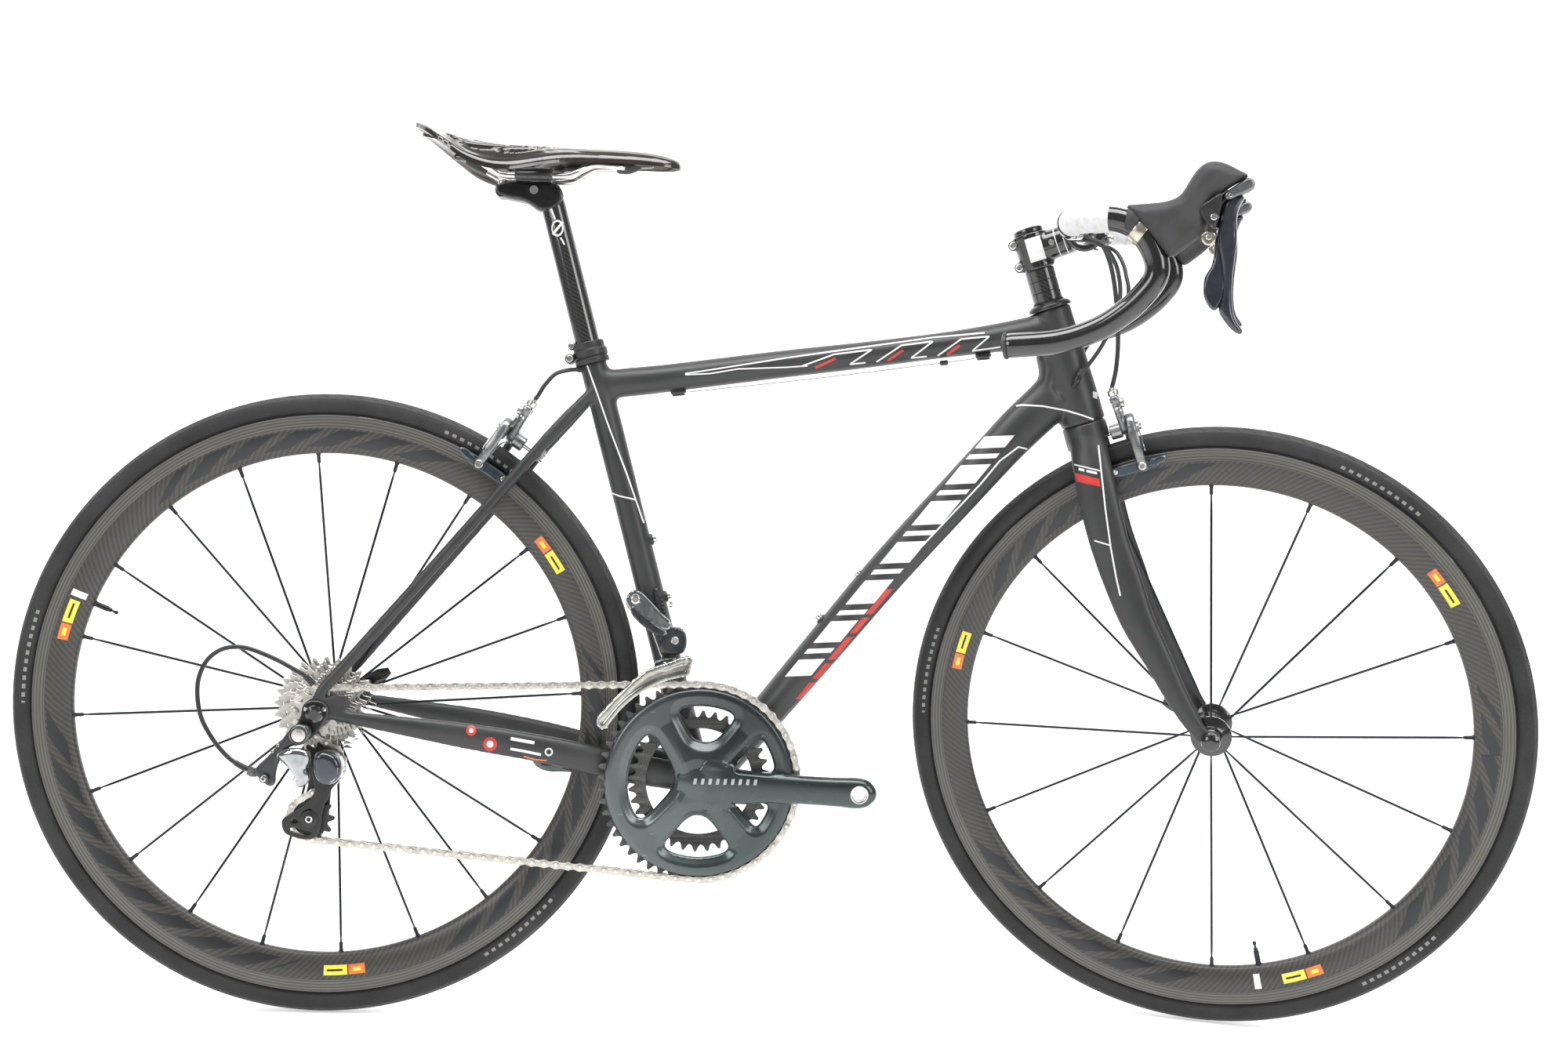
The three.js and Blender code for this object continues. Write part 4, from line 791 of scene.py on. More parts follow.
ORANGE = surface("mark_orange", (0.68, 0.16, 0.04), (0.74, 0.20, 0.05), rough=(0.3, 0.42), scale=60, fine=900, bump=0.04)
DARKM = surface("mark_dark", (0.010, 0.010, 0.010), (0.016, 0.016, 0.016), rough=(0.3, 0.42), scale=60, fine=900, bump=0.04)
BRASS = surface("clamp_steel", (0.50, 0.45, 0.36), (0.62, 0.57, 0.48), rough=(0.2, 0.32), metal=1.0, scale=160, fine=1500, bump=0.05)

# ------------------------------------------------------------------ camera, light, stage
scene = bpy.context.scene
scene.view_settings.view_transform = "Standard"
scene.view_settings.look = "None"
cd = bpy.data.cameras.new("camera")
cd.sensor_width, cd.lens, cd.sensor_fit = 36.0, 39.707, "HORIZONTAL"
cd.clip_end = 50
cam = bpy.data.objects.new("camera", cd)
scene.collection.objects.link(cam)
cr_, cu_, cf_ = (0.9980412, -0.0525017, 0.0340195), (-0.0322176, 0.0347928, 0.9988751), (0.0536263, 0.9980145, -0.0330332)
cam.matrix_world = Matrix(((cr_[0], cu_[0], -cf_[0], 0.384246), (cr_[1], cu_[1], -cf_[1], -1.888251), (cr_[2], cu_[2], -cf_[2], 0.611328), (0, 0, 0, 1)))
scene.camera = cam
CAM = A([384.246, -1888.251, 611.328])


def area(name, loc, target, size, power, color=(1, 1, 1)):
    l = bpy.data.lights.new(name, "AREA")
    l.shape, l.size, l.size_y, l.energy, l.color = "RECTANGLE", size[0], size[1], power, color
    o = bpy.data.objects.new(name, l)
    o.location = loc
    o.rotation_mode = "QUATERNION"
    o.rotation_quaternion = (Vector(target) - Vector(loc)).to_track_quat("-Z", "Y")
    scene.collection.objects.link(o)
    return o


world = bpy.data.worlds.new("world")
world.use_nodes = True
world.node_tree.nodes["Background"].inputs[0].default_value = (1.0, 1.0, 1.0, 1)
world.node_tree.nodes["Background"].inputs[1].default_value = 0.26
scene.world = world
area("over", (0.3, -0.7, 2.7), (0.45, 0.1, 0.4), (3.2, 1.2), 84)
area("front_left", (-1.9, -2.3, 1.7), (0.3, 0, 0.5), (1.2, 1.6), 32)
area("front_right", (2.4, -2.0, 1.5), (0.7, 0, 0.5), (1.0, 1.6), 24)
area("back_wash", (0.45, 0.9, 2.5), (0.45, 2.2, 0.7), (4.0, 0.6), 22)

fl = []
ys = [-3.6, -2.4, -1.2, 0.0, 0.8, 1.35] + [1.35 + 0.55 * sin(a) for a in np.linspace(0.2, pi / 2, 8)] + [1.9, 1.9, 1.9]
zs = [0, 0, 0, 0, 0, 0] + [0.55 - 0.55 * cos(a) for a in np.linspace(0.2, pi / 2, 8)] + [1.4, 2.6, 3.8]
xs = np.linspace(-4.5, 5.5, 9)
vs = [(x, y, z - 0.0006) for y, z in zip(ys, zs) for x in xs]
fs = [(i * 9 + j, i * 9 + j + 1, (i + 1) * 9 + j + 1, (i + 1) * 9 + j) for i in range(len(ys) - 1) for j in range(8)]
fm = bpy.data.meshes.new("floor")
fm.from_pydata(vs, [], fs)
fm.materials.append(floor_mat("floor_white", (0.86, 0.86, 0.855)))
fm.shade_smooth()
floor = bpy.data.objects.new("floor", fm)
scene.collection.objects.link(floor)

# ------------------------------------------------------------------ frame
def seat_x(z):
    return 265.7 + (737.1 - z) * 0.2833


SEATD = A([-0.2726, 0, 0.9621])
seat_st = [[seat_x(z), 0, z, h, w] for z, h, w in [[716, 15.3, 15.3], [690, 15.3, 15.3], [600, 14.8, 15.2], [475, 14.8, 16], [380, 15.4, 19], [300, 16.5, 24], [283, 17, 24], [262, 17, 24]]]
top_st = [[270, 0, 688, 15, 12], [301, 0, 692.6, 16.2, 14.5], [352, 0, 699.6, 15.3, 15.5], [475, 0, 719.2, 15.1, 17], [565, 0, 732.6, 14.6, 18], [651, 0, 746.5, 14.2, 18.5], [712, 0, 757, 16, 19], [766, 0, 766.5, 20, 19]]
down_st = [[410, 0, 262, 18.5, 27], [440, 0, 297, 18.8, 26], [476.8, 0, 341.4, 19.5, 24], [541, 0, 422, 21.5, 22.5], [605.6, 0, 503.1, 22.8, 22], [682.7, 0, 592.3, 23.3, 22], [722, 0, 637.5, 23.8, 21.5], [746, 0, 664, 25, 21], [779, 0, 697, 26, 20]]
stay_r = [[2, -67.2, 334, 6, 2.6], [16, -67.2, 333, 6, 3.6], [76, -62, 324.4, 9.4, 6], [158, -54, 312, 14, 7.5], [241, -44, 298, 15, 8], [300, -32, 284, 16.2, 8], [335, -28, 277, 17, 8], [385, -27, 269.5, 17, 9]]
seatstay_r = [[2, -67.2, 342, 6.4, 2.4], [4, -67.2, 356, 6.4, 3.2], [31.2, -60.5, 389.8, 6.4, 4.6], [110, -49.5, 485, 6.2, 5], [188.3, -38, 580.2, 6.4, 5.2], [228.3, -28, 629.3, 6.8, 5.4], [262, -17, 668, 7.5, 6], [284, -9, 693, 7.5, 6]]
head_prof = [(0, 364.7), (23.6, 364.7), (24.4, 366), (24.4, 385), (23.6, 440), (21.8, 480), (21.6, 494), (21.0, 495.1), (0, 495.1)]
solids = [loft(stations(seat_st)), loft(stations(top_st)), loft(stations(down_st)), turn(head_prof, A0, AX, 40),
          turn([(0, -40), (24.4, -40), (25, -39.2), (25, 39.2), (24.4, 40), (0, 40)], (BB[0], 0, BB[1]), Y1, 40)]
for st in (stay_r, seatstay_r):
    solids += [loft(stations(st, n=16)), loft(stations(mirror_st(st), n=16))]
for s in (-1, 1):
    solids.append(turn([(0, -2), (13.4, -2), (14, -1.2), (14, 1.2), (13.4, 2), (0, 2)], (0, s * 67.2, 335), Y1, 32))
    # gusset between the stays above the dropout
    solids.append(loft(stations([[6, s * 67.2, 338, 10, 2], [22, s * 66, 345, 12, 2.2], [34, s * 64, 349, 7, 2.0]], n=12)))
solids.append(sweep([(216.1, -30, 612), (217, 0, 613.5), (216.1, 30, 612)], 7.5, sides=16, sub=6))
# flare under the top tube where the head tube and both tubes meet
solids.append(loft(stations([[764, 0, 742, 9, 14], [769, 0, 716, 8, 17], [764, 0, 690, 15, 18]], n=16)))
near = [((seat_x(690), 0, 690), 48, 26), ((757, 0, 735), 62, 22), ((742, 0, 700), 46, 20), ((BB[0], 0, BB[1] + 12), 60, 22), ((370, -28, 272), 34, 14), ((370, 28, 272), 34, 14),
        ((12, -66, 340), 26, 12), ((12, 66, 340), 26, 12), ((216, -30, 612), 18, 10), ((216, 30, 612), 18, 10), ((440, 0, 300), 40, 14), ((345, 0, 400), 20, 6)]
TUBES = ["head_tube", "top_tube", "down_tube", "seat_tube", "bb_shell", "chainstay_right", "chainstay_left", "seatstay_right", "seatstay_left"]
slot_cut = [turn([(0, -90), (5.2, -90), (5.2, 90), (0, 90)], (0, 0, 335), Y1, 20), box_round((0, 0, 322), (5.2, 90, 13), r=0.4)]
fr = fuse("frame_shell", solids, 2.0, [FRAME], "frame", TUBES, near=near)
FRAME_BVH = bvh(fr)

# small parts carried by the frame
a = Acc()
# bottle cage bosses and screws; the cable stops are made in the next piece, and no chain catcher plate is made
for z in (520, 458.4):
    p = A([seat_x(z), 0, z]) + A([0.9621, 0, 0.2726]) * 15.5
    a.add(turn([(0, -2), (6.4, -2), (6.2, 0.6), (5.2, 1.7), (0, 1.7)], p, (0.9621, 0, 0.2726), 24), 1)
    a.add(bolt(p + A([0.9621, 0, 0.2726]) * 1.7, (0.9621, 0, 0.2726), 4.2, 4.6), 0)
for x, z in ((530.7, 442.2), (571.8, 491.2)):
    d = A([-0.766, 0, 0.643])
    p = A([x, 0, z]) + A([0.766, 0, -0.643]) * 12 + d * 12.0
    a.add(turn([(0, -3), (6.4, -3), (6.2, 1.2), (5.2, 2.4), (0, 2.4)], p, d, 24), 1)
    a.add(bolt(p + d * 2.4, d, 4.2, 4.6), 0)
a.obj("bottle_cage_screws", [STEEL, FRAME], "frame", "polished_steel")

a = Acc()
# cable stops under the top tube, the bare cable between them and its rubber rings
TT_U = A([0.158, 0, -0.987])
TT_D = unit(A([331.6, 0, 51.2]))
for x, z in ((365.9, 682.5), (697.5, 733.7)):
    c = A([x, -4, z + 2.2])
    a.add(box_round(c + A([0, 0, 1.2]), (8.5, 3.6, 2.6), ex=TT_D, ez=-TT_U, r=2.0), 0)
    a.add(sweep([c - TT_D * 7 + TT_U * 1.0, c + TT_D * 7 + TT_U * 1.0], [2.6, 3.1], sides=14, sub=4), 0)
a.add(sweep([(376, -4, 685.2), (530, -4, 707.4), (688, -4, 733.0)], 0.75, sides=8, sub=10), 1)
a.add(turn([(0.8, -4.6), (2.4, -4.4), (2.9, -3), (2.9, 3), (2.4, 4.4), (0.8, 4.6)], (654.6, -4, 727.4), TT_D, 16), 0)
for s in (-1, 1):
    # shift cable stops on the head tube's sides
    e = on_axis(418) + Y1 * (s * 26.6) + FW * 6
    e2 = on_axis(407) + Y1 * (s * 24.0) - FW * 5
    a.add(sweep([e2, (e + e2) / 2 + Y1 * s * 0.8, e], [2.6, 4.4, 3.9], sides=16, sub=4), 0)
    a.add(turn([(0, -1), (3.4, -1), (3.4, 4.5), (2.7, 5.2), (2.3, 5.2)], e, unit(e - e2), 18), 2)
a.obj("cable_stops", [ALLOY_BLACK, STEEL, SATIN], "frame", "housing_black")

# seat collar: two rings and the clamp ears
a = Acc()
SO = A([seat_x(714), 0, 714])
a.add(turn([(15.6, -1.2), (18.2, -1.2), (18.7, -0.4), (18.8, 3.8), (18.2, 4.6), (17.6, 5.0), (17.6, 5.6), (18.2, 6.0), (18.8, 6.8), (18.8, 13.0), (18.2, 13.9), (17.2, 14.4), (16.9, 15), (17.2, 15.6), (17.2, 21.4), (16.6, 22.2), (14.3, 22.2), (14.1, 21.5), (14.1, -1.2)], SO, SEATD, 64, closed=True), 0)
for s in (-1, 1):
    a.add(turn([(0, 1.4), (4.6, 1.4), (5.3, 2.2), (5.3, 10.6), (4.6, 11.6), (2.6, 11.6)], (248, 0, 716.5), (0, s, 0), 24), 0)
a.add(bolt((248, -11.4, 716.5), (0, -1, 0), 4.0, 2.6, 0.6), 1)
a.add(bolt((249.5, -6.4, 730.5), (0, -1, 0), 3.2, 2.2, 0.6), 1)
a.add(turn([(0, 0), (3.9, 0), (4.2, 0.8), (4.2, 11), (3.4, 12), (0, 12)], (249.5, -6.4, 730.5), (0, 1, 0), 20), 0)
a.obj("collar_and_screw", [SATIN, STEEL], "frame", "black_alloy_satin", ["seat_collar"])

# hanger, axle ends
a = Acc()
a.add(slab([(-13, 344), (-6, 348.4), (6, 348.4), (13, 342), (13.4, 334), (8, 323), (0, 312), (-8, 305.4), (-18, 305), (-23, 311), (-22, 320), (-15, 329)], -73.3, -69.5, r=1.0, cell=1.0, holes=[circ(0, 335, 5.0, 20)], rnd=1), 0)
a.add(bolt((-9.4, -73.3, 339.6), (0, -1, 0), 2.2, 1.2, 0.5), 1)
a.add(bolt((9.6, -73.3, 339.6), (0, -1, 0), 2.2, 1.2, 0.5), 1)
a.obj("hanger_plate", [ALLOY_BLACK, STEEL], "frame", "black_alloy_satin", ["derailleur_hanger"])

a = Acc()
a.add(turn([(0, -78), (4.5, -78), (4.7, -77.6), (4.7, 71.6), (4.5, 72), (0, 72)], (0, 0, 335), Y1, 24), 0)
a.add(turn([(0, 0), (5.2, 0), (5.4, 0.4), (8.6, 2.2), (9.6, 4.8), (9.8, 8.4), (9.4, 9.2), (7.6, 9.4)], (0, -82.2, 335), Y1, 36), 1)
a.add(turn([(4, 61.9), (8.6, 61.9), (8.9, 62.4), (8.9, 64.3), (8.6, 64.8), (4, 64.8)], (0, 0, 335), (0, -1, 0), 32), 0)
a.add(turn([(4, 69.7), (9.4, 69.7), (9.8, 70.4), (9.6, 73.4), (8.8, 74), (4, 74)], (0, 0, 335), (0, 1, 0), 36), 1)
a.obj("rear_axle_ends", [STEEL, GLOSS], "frame", "black_alloy_gloss", ["rear_axle"])

# ------------------------------------------------------------------ fork (straight-ahead coordinates, then turned)
blade_r = [[812, -6, 672, 18, 11], [818, -13, 652, 20, 12], [826, -27, 622, 21.5, 11], [838, -33.5, 577, 21.6, 9.6], [849.5, -36.5, 540, 21.4, 9], [865.7, -39.5, 500, 21, 8.8], [884, -43, 458, 18.6, 8.4], [909, -47, 416, 15.2, 7.8], [930.4, -50.5, 379, 12.4, 7], [949, -53.4, 351.5, 10, 5.4], [961, -53.9, 338, 9, 3.6]]
crown_rings = []
for t, hn, hy, dx in [[364.3, 23.4, 23.4, 0], [363.6, 24.4, 24.4, 0], [352, 24.6, 26, 0], [338, 24, 32, -0.5], [322, 21, 37, -1], [312, 17, 36, -1]]:
    c = on_axis(t) + FW * dx
    crown_rings.append([c + FW * sin(f) * hn + Y1 * cos(f) * hy for f in 2 * pi * (np.arange(28) + 0.5) / 28])
solids = [loft(crown_rings), loft(stations(blade_r)), loft(stations(mirror_st(blade_r)))]
for s in (-1, 1):
    solids.append(turn([(0, -3.4), (10.4, -3.4), (11, -2.8), (11, 2.8), (10.4, 3.4), (0, 3.4)], (WHEELBASE, s * 53.9, TYRE_R), Y1, 32))
arch = turn([(0, -17), (344, -17), (345, -15), (345, 15), (344, 17), (0, 17)], (WHEELBASE, 0, TYRE_R), Y1, 180)
near = [((829, 0, 640), 52, 8), ((955, -54, 345), 20, 8), ((955, 54, 345), 20, 8)]
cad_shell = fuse("fork_shell", solids, 1.8, [FRAME], "steering", ["fork"], matrix=STEER, near=near, cuts=[arch])
FORK_BVH = bvh(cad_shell)
a = Acc()
a.add(turn([(0, 350), (14.3, 350), (14.3, 580), (0, 580.4)], A0, AX, 32), 0)
a.obj("steerer_tube", [FRAME], "steering", "frame_carbon", matrix=STEER)

a = Acc()
c = A([WHEELBASE, 0, TYRE_R])
a.add(turn([(0, -60), (4.5, -60), (4.7, -59.6), (4.7, 59.6), (4.5, 60), (0, 60)], c, Y1, 24), 0)
a.add(turn([(0, 57.5), (9.0, 57.5), (10.2, 58.2), (10.4, 60.4), (9.6, 63.0), (6.4, 65.6), (3.4, 66.2), (0, 66.2)], c, (0, -1, 0), 36), 1)
a.add(turn([(4, 57.6), (9.2, 57.6), (9.8, 58.4), (9.6, 60.0), (8.8, 60.6), (4, 60.6)], c, (0, 1, 0), 36), 1)
a.obj("front_axle_ends", [STEEL, GLOSS], "steering", "black_alloy_gloss", ["front_axle"], matrix=STEER)


def quick_release(name, c, d, body, node, matrix=None):
    a = Acc()
    d = unit(d)
    n = np.cross(Y1, d)
    c = A(c, float)
    a.add(sweep([c - n * 7.4, c - n * 6.5, c + n * 6.5, c + n * 7.4], [6.0, 7.0, 7.0, 6.0], sides=24, sub=2), 0)
    a.add(bolt(c + n * 7.2, n, 4.0, 1.2, 0.5), 1)
    line = [c + d * 2, c + d * 14 - Y1 * 0.5, c + d * 30 - Y1 * 1.5, c + d * 46 - Y1 * 0.5, c + d * 57 + Y1 * 1.0]
    wid, th = [6.0, 6.6, 7.6, 8.2, 4.0], [4.6, 3.2, 2.4, 2.6, 1.8]
    p = catmull(line, 6)
    w, h = np.interp(np.linspace(0, 4, len(p)), range(5), wid), np.interp(np.linspace(0, 4, len(p)), range(5), th)
    rings = []
    for q, ww, hh in zip(p, w, h):
        f = 2 * pi * np.arange(20) / 20
        cc, ss = np.sign(np.cos(f)) * np.abs(np.cos(f)) ** 0.7, np.sign(np.sin(f)) * np.abs(np.sin(f)) ** 0.7
        rings.append(q + n * (cc * ww)[:, None] + Y1 * (ss * hh)[:, None])
    a.add(loft(rings), 0)
    return a.obj(name, [GLOSS, STEEL], body, "black_alloy_gloss", [node], matrix=matrix)


quick_release("rear_release_lever", (0, 81, 335), (0.873, 0, 0.488), "rear_quick_release", "rear_qr_lever")
quick_release("front_release_lever", (WHEELBASE, 67.4, 335), (-0.98, 0, 0.2), "front_quick_release", "front_qr_lever", STEER)

# ------------------------------------------------------------------ wheels, each about its own centre
REAR_C, FRONT_C = A([0, 0, 335.0]), A([WHEELBASE, 0, 335.0])


def polar(r, y, ang):
    return A([r * cos(ang), y, r * sin(ang)])


def build_wheel(tag, c, matrix, body, count, phase, y_a, y_b, y_ca, y_cb, valve, decals, rim_m):
    a = Acc()
    ph = np.linspace(-2.45, 2.45, 35)
    prof = [(322.9 + 12.1 * cos(t), 12.1 * sin(t)) for t in ph]
    prof = [(r, y) for r, y in prof if r > 312.6] 
    prof = [(312.0, -9.6)] + prof + [(312.0, 9.6)]
    a.add(wheel_turn([(r, y) for r, y in reversed(prof)], 160))
    o = a.obj(f"{tag}_tyre_casing", [TYRE], body, "tyre_rubber", [f"{tag}_tyre"], matrix=(matrix or Matrix()) @ Matrix.Translation(Vector(c * SC)), angle=50)
    a = Acc()
    half = [(271.0, 1.2), (271.5, 3.2), (273.5, 5.4), (277.5, 7.7), (283, 9.5), (289, 10.8), (294, 11.4), (298.2, 11.6), (298.7, 11.3), (299.2, 11.2), (309.2, 11.2), (310.3, 11.4), (311.4, 11.4), (311.9, 10.9), (311.8, 9.8), (307, 9.0)]
    prof = half + [(r, -y) for r, y in reversed(half)]
    a.add(wheel_turn(prof, 180), 0)
    ang = phase
    for i in range(count):
        th = rad(phase) + 2 * pi * i / count
        s = 1 if i % 2 else -1
        y0 = y_b if s > 0 else y_a
        p1, p0 = polar(270.5, s * 1.0, th), polar(19.0, y0, th)
        d = unit(p0 - p1)
        a.add(turn([(0, -4), (2.9, -4), (3.1, -1.2), (2.6, 0.4), (2.1, 1.4), (2.0, 8.6), (1.6, 9.6), (0, 9.8)], p1, d, 12), 1)
    vt = rad(valve)
    vp = polar(272, 0, vt)
    vd = -polar(1, 0, vt)
    a.add(turn([(0, -3), (3.6, -3), (3.6, 1.6), (3.1, 2.4), (3.0, 2.4), (3.0, 16), (2.3, 17), (2.3, 19.5), (1.2, 20.4), (1.2, 23.2), (2.0, 23.8), (2.0, 26.4), (1.4, 27.2), (0, 27.2)], vp, vd, 16), 1)
    a.obj(f"{tag}_rim_and_nipples", [rim_m, SPOKE], body, "rim_carbon", [f"{tag}_rim"], matrix=(matrix or Matrix()) @ Matrix.Translation(Vector(c * SC)), angle=30)
    # plain colour patches and the light plug beside the valve
    a = Acc()

    def patch(a0, a1, r0, r1, m, side, lift=0.25):
        n = 8
        out = []
        for yy in (0.0, 1.0):
            for rr in np.linspace(r0, r1, 5):
                wall = np.interp(rr, [277.5, 283, 289, 294, 298.2], [7.7, 9.5, 10.8, 11.4, 11.6])
                for t in np.linspace(rad(a0), rad(a1), n):
                    out.append(polar(rr, side * (wall + (lift if yy else -0.5)), t))
        f = []
        k = 5 * n
        for i in range(4):
            for j in range(n - 1):
                q = (i * n + j, i * n + j + 1, (i + 1) * n + j + 1, (i + 1) * n + j)
                f += [q, tuple(x + k for x in reversed(q))]
        ring = [j for j in range(n)] + [i * n + n - 1 for i in range(1, 5)] + [4 * n + j for j in range(n - 2, -1, -1)] + [i * n for i in range(3, 0, -1)]
        f += [(ring[i], ring[i - 1], ring[i - 1] + k, ring[i] + k) for i in range(len(ring))]
        a.add((A(out), f), m)
    for dg in decals:
        for side in (-1, 1):
            patch(dg - 4.4, dg + 0.6, 283, 293.5, 0, side)
            patch(dg + 0.9, dg + 4.4, 283, 293.5, 1, side)
            patch(dg - 3.7, dg - 0.4, 287.2, 289.2, 2, side, 0.42)
            patch(dg + 1.8, dg + 3.5, 286.4, 290.2, 0, side, 0.42)
    patch(valve - 1.6, valve - 0.2, 279, 295, 3, -1, 0.3)
    patch(valve - 1.6, valve - 0.2, 279, 295, 3, 1, 0.3)
    a.obj(f"{tag}_rim_patches", [YELLOW, ORANGE, DARKM, WHITE], body, "rim_carbon", matrix=(matrix or Matrix()) @ Matrix.Translation(Vector(c * SC)))
    # hub and bladed spokes
    a = Acc()
    if tag == "front":
        prof = [(5.3, -49.6), (8.6, -49.6), (9.4, -49.0), (9.6, -44), (11.2, -41), (11.8, -37.5), (14, -35.6), (20.8, -33.8), (22, -33.0), (22.2, -31.5), (22, -30.2), (20.8, -29.2), (15.5, -27.6), (12.6, -24), (11.2, -14), (10.8, 0)]
        prof = prof + [(r, -h) for r, h in reversed(prof[:-1])]
    else:
        prof = [(5.3, -20.1), (23.6, -20.1), (24.4, -19.3), (24.6, -17.6), (24.2, -16.0), (22.6, -15), (16.5, -13.4), (14.0, -10), (13.0, 0), (13.0, 18), (14.2, 28), (17, 32), (21, 33.6), (22.2, 35), (22.2, 37), (21.2, 38.2), (14, 40), (11.4, 43), (11.2, 50), (9.6, 52), (9.6, 64.2), (9.0, 64.6), (5.3, 64.6)]
    a.add(turn(prof, (0, 0, 0), Y1, 60, closed=True), 0)
    if tag == "front":
        for s in (-1, 1):
            a.add(turn([(5.2, 43), (9.9, 43), (10.2, 43.6), (10.2, 45.4), (9.9, 46), (5.2, 46)], (0, 0, 0), (0, s, 0), 40), 2)
    for i in range(count):
        th = rad(phase) + 2 * pi * i / count
        s = 1 if i % 2 else -1
        y0 = y_b if s > 0 else y_a
        p1, p0 = polar(266, s * 1.0 + (y0 - s) * 0.02, th), polar(18.5, y0, th)
        d = unit(p1 - p0)
        e = A([-sin(th), 0, cos(th)])
        w = np.cross(d, e)
        rings = []
        for t, ww, hh in [(0, 1.0, 1.0), (0.03, 1.0, 1.0), (0.07, 1.25, 0.7), (0.12, 1.35, 0.55), (0.9, 1.35, 0.55), (0.95, 1.2, 0.7), (0.965, 1.0, 1.0), (1, 1.0, 1.0)]:
            q = p0 + (p1 - p0) * t
            f = 2 * pi * np.arange(8) / 8
            rings.append(q + e * (np.cos(f) * ww)[:, None] + w * (np.sin(f) * hh)[:, None])
        a.add(loft(rings), 1)
        # spoke head in its slot on the flange
        a.add(turn([(0, -1.6), (2.3, -1.6), (2.6, -0.8), (2.6, 1.6), (1.6, 3.0), (0, 3.0)], p0, d, 12), 1)
    a.obj(f"{tag}_hub_and_spokes", [GLOSS, SPOKE, STEEL], body, "black_alloy_gloss", [f"{tag}_hub"], matrix=(matrix or Matrix()) @ Matrix.Translation(Vector(c * SC)))


build_wheel("rear", REAR_C, None, "rear_wheel", 20, 4.0, -18, 36, 0, 0, 158, (157 + 6, 36, 275), RIM_R)
build_wheel("front", FRONT_C, STEER, "front_wheel", 16, 3.2, -31.5, 31.5, 0, 0, 284, (166, 37.5, 293), RIM_F)

# ------------------------------------------------------------------ chain line and phases
ring_t, small_t, cog_t, pul_t = 52, 36, 12, 11
wheels4 = [(BB[0], BB[1], pitch_r(ring_t), 1), (0.0, TYRE_R, pitch_r(cog_t), 1), (GUIDE[0], GUIDE[1], pitch_r(pul_t), -1), (TENSION[0], TENSION[1], pitch_r(pul_t), 1)]
head = []
for i, w in enumerate(wheels4):
    q = wheels4[(i + 1) % 4]
    dx, dz = q[0] - w[0], q[1] - w[1]
    head.append(math.atan2(dz, dx) + math.asin((w[3] * w[2] - q[3] * q[2]) / math.hypot(dx, dz)))
line = []
for i, w in enumerate(wheels4):
    f0, f1 = head[i - 1], head[i]
    if w[3] > 0:
        while f1 < f0:
            f1 += 2 * pi
    else:
        while f1 > f0:
            f1 -= 2 * pi
    n = max(6, int(abs(f1 - f0) * w[2] / 1.5))
    for k in range(n + 1):
        f = f0 + (f1 - f0) * k / n
        line.append((w[0] + w[3] * w[2] * sin(f), w[1] - w[3] * w[2] * cos(f), i))
line = A(line)
seg = np.r_[0, np.cumsum(np.hypot(*(np.roll(line[:, :2], -1, 0) - line[:, :2]).T))]
total = seg[-1]
links = int(round(total / 12.7 / 2)) * 2
closed_line = np.vstack([line[:, :2], line[:1, :2]])


def chain_y(x):
    return COG_Y + (RING_Y - COG_Y) * min(1, max(0, (x - 32) / 262))


pins = A([[np.interp((i * total / links) % total, seg, closed_line[:, k]) for k in (0, 1)] for i in range(links)])


def phase_of(c, r, t):
    best = min(pins, key=lambda q: abs(math.hypot(q[0] - c[0], q[1] - c[1]) - r))
    close = [q for q in pins if abs(math.hypot(q[0] - c[0], q[1] - c[1]) - r) < 0.5]
    close = close or [best]
    q = close[len(close) // 2]
    return math.atan2(q[1] - c[1], q[0] - c[0])


a = Acc()
for i in range(links):
    p, q = pins[i], pins[(i + 1) % links]
    d = unit(q - p)
    n = A([-d[1], d[0]])
    gap = float(np.linalg.norm(q - p))
    inner = i % 2 == 0
    y0, y1 = chain_y(p[0]), chain_y(q[0])
    pts = []
    rr, waist = (4.25, 3.0) if not inner else (4.35, 2.7)
    for t in np.linspace(-2.1, 2.1, 9):
        pts.append((gap + rr * cos(t) * 0.98, rr * sin(t)))
    pts.append((gap * 0.5, waist))
    for t in np.linspace(pi - 2.1, pi + 2.1, 9):
        pts.append((rr * cos(t) * 0.98, rr * sin(t)))
    pts.append((gap * 0.5, -waist))
    pts = A(pts)
    for s in (-1, 1):
        w0, w1 = (1.35, 2.05) if inner else (2.15, 2.85)
        rings = []
        for w, k in ((w0, 1.0), (w1 - 0.25, 1.0), (w1, 0.93)):
            c = A([gap / 2, 0])
            u = c + (pts - c) * k
            x = p[0] + u[:, 0] * d[0] + u[:, 1] * n[0]
            z = p[1] + u[:, 0] * d[1] + u[:, 1] * n[1]
            y = y0 + (y1 - y0) * u[:, 0] / gap + s * w
            rings.append(np.stack([x, y, z], 1))
        a.add(loft(rings), 0)
    a.add(turn([(0, -2.95), (1.6, -2.95), (1.85, -2.7), (1.85, 2.7), (1.6, 2.95), (0, 2.95)], (p[0], y0, p[1]), Y1, 10), 1)
    a.add(turn([(1.9, -1.25), (3.6, -1.25), (3.85, -1.0), (3.85, 1.0), (3.6, 1.25), (1.9, 1.25)], (p[0], y0, p[1]), Y1, 14), 1)
a.obj("chain_links", [CHAINM, STEEL], "frame", "polished_steel", ["chain"])

# ------------------------------------------------------------------ crankset
cph = phase_of(BB, pitch_r(ring_t), ring_t)
CO = A([BB[0], 0, BB[1]])
ca, sa_ = cos(CRANK_A), sin(CRANK_A)
EU, EV = A([ca, 0, sa_]), A([-sa_, 0, ca])       # along the arm and square to it
arms = [rad(50) - CRANK_A, rad(121) - CRANK_A, rad(229) - CRANK_A, rad(310) - CRANK_A]


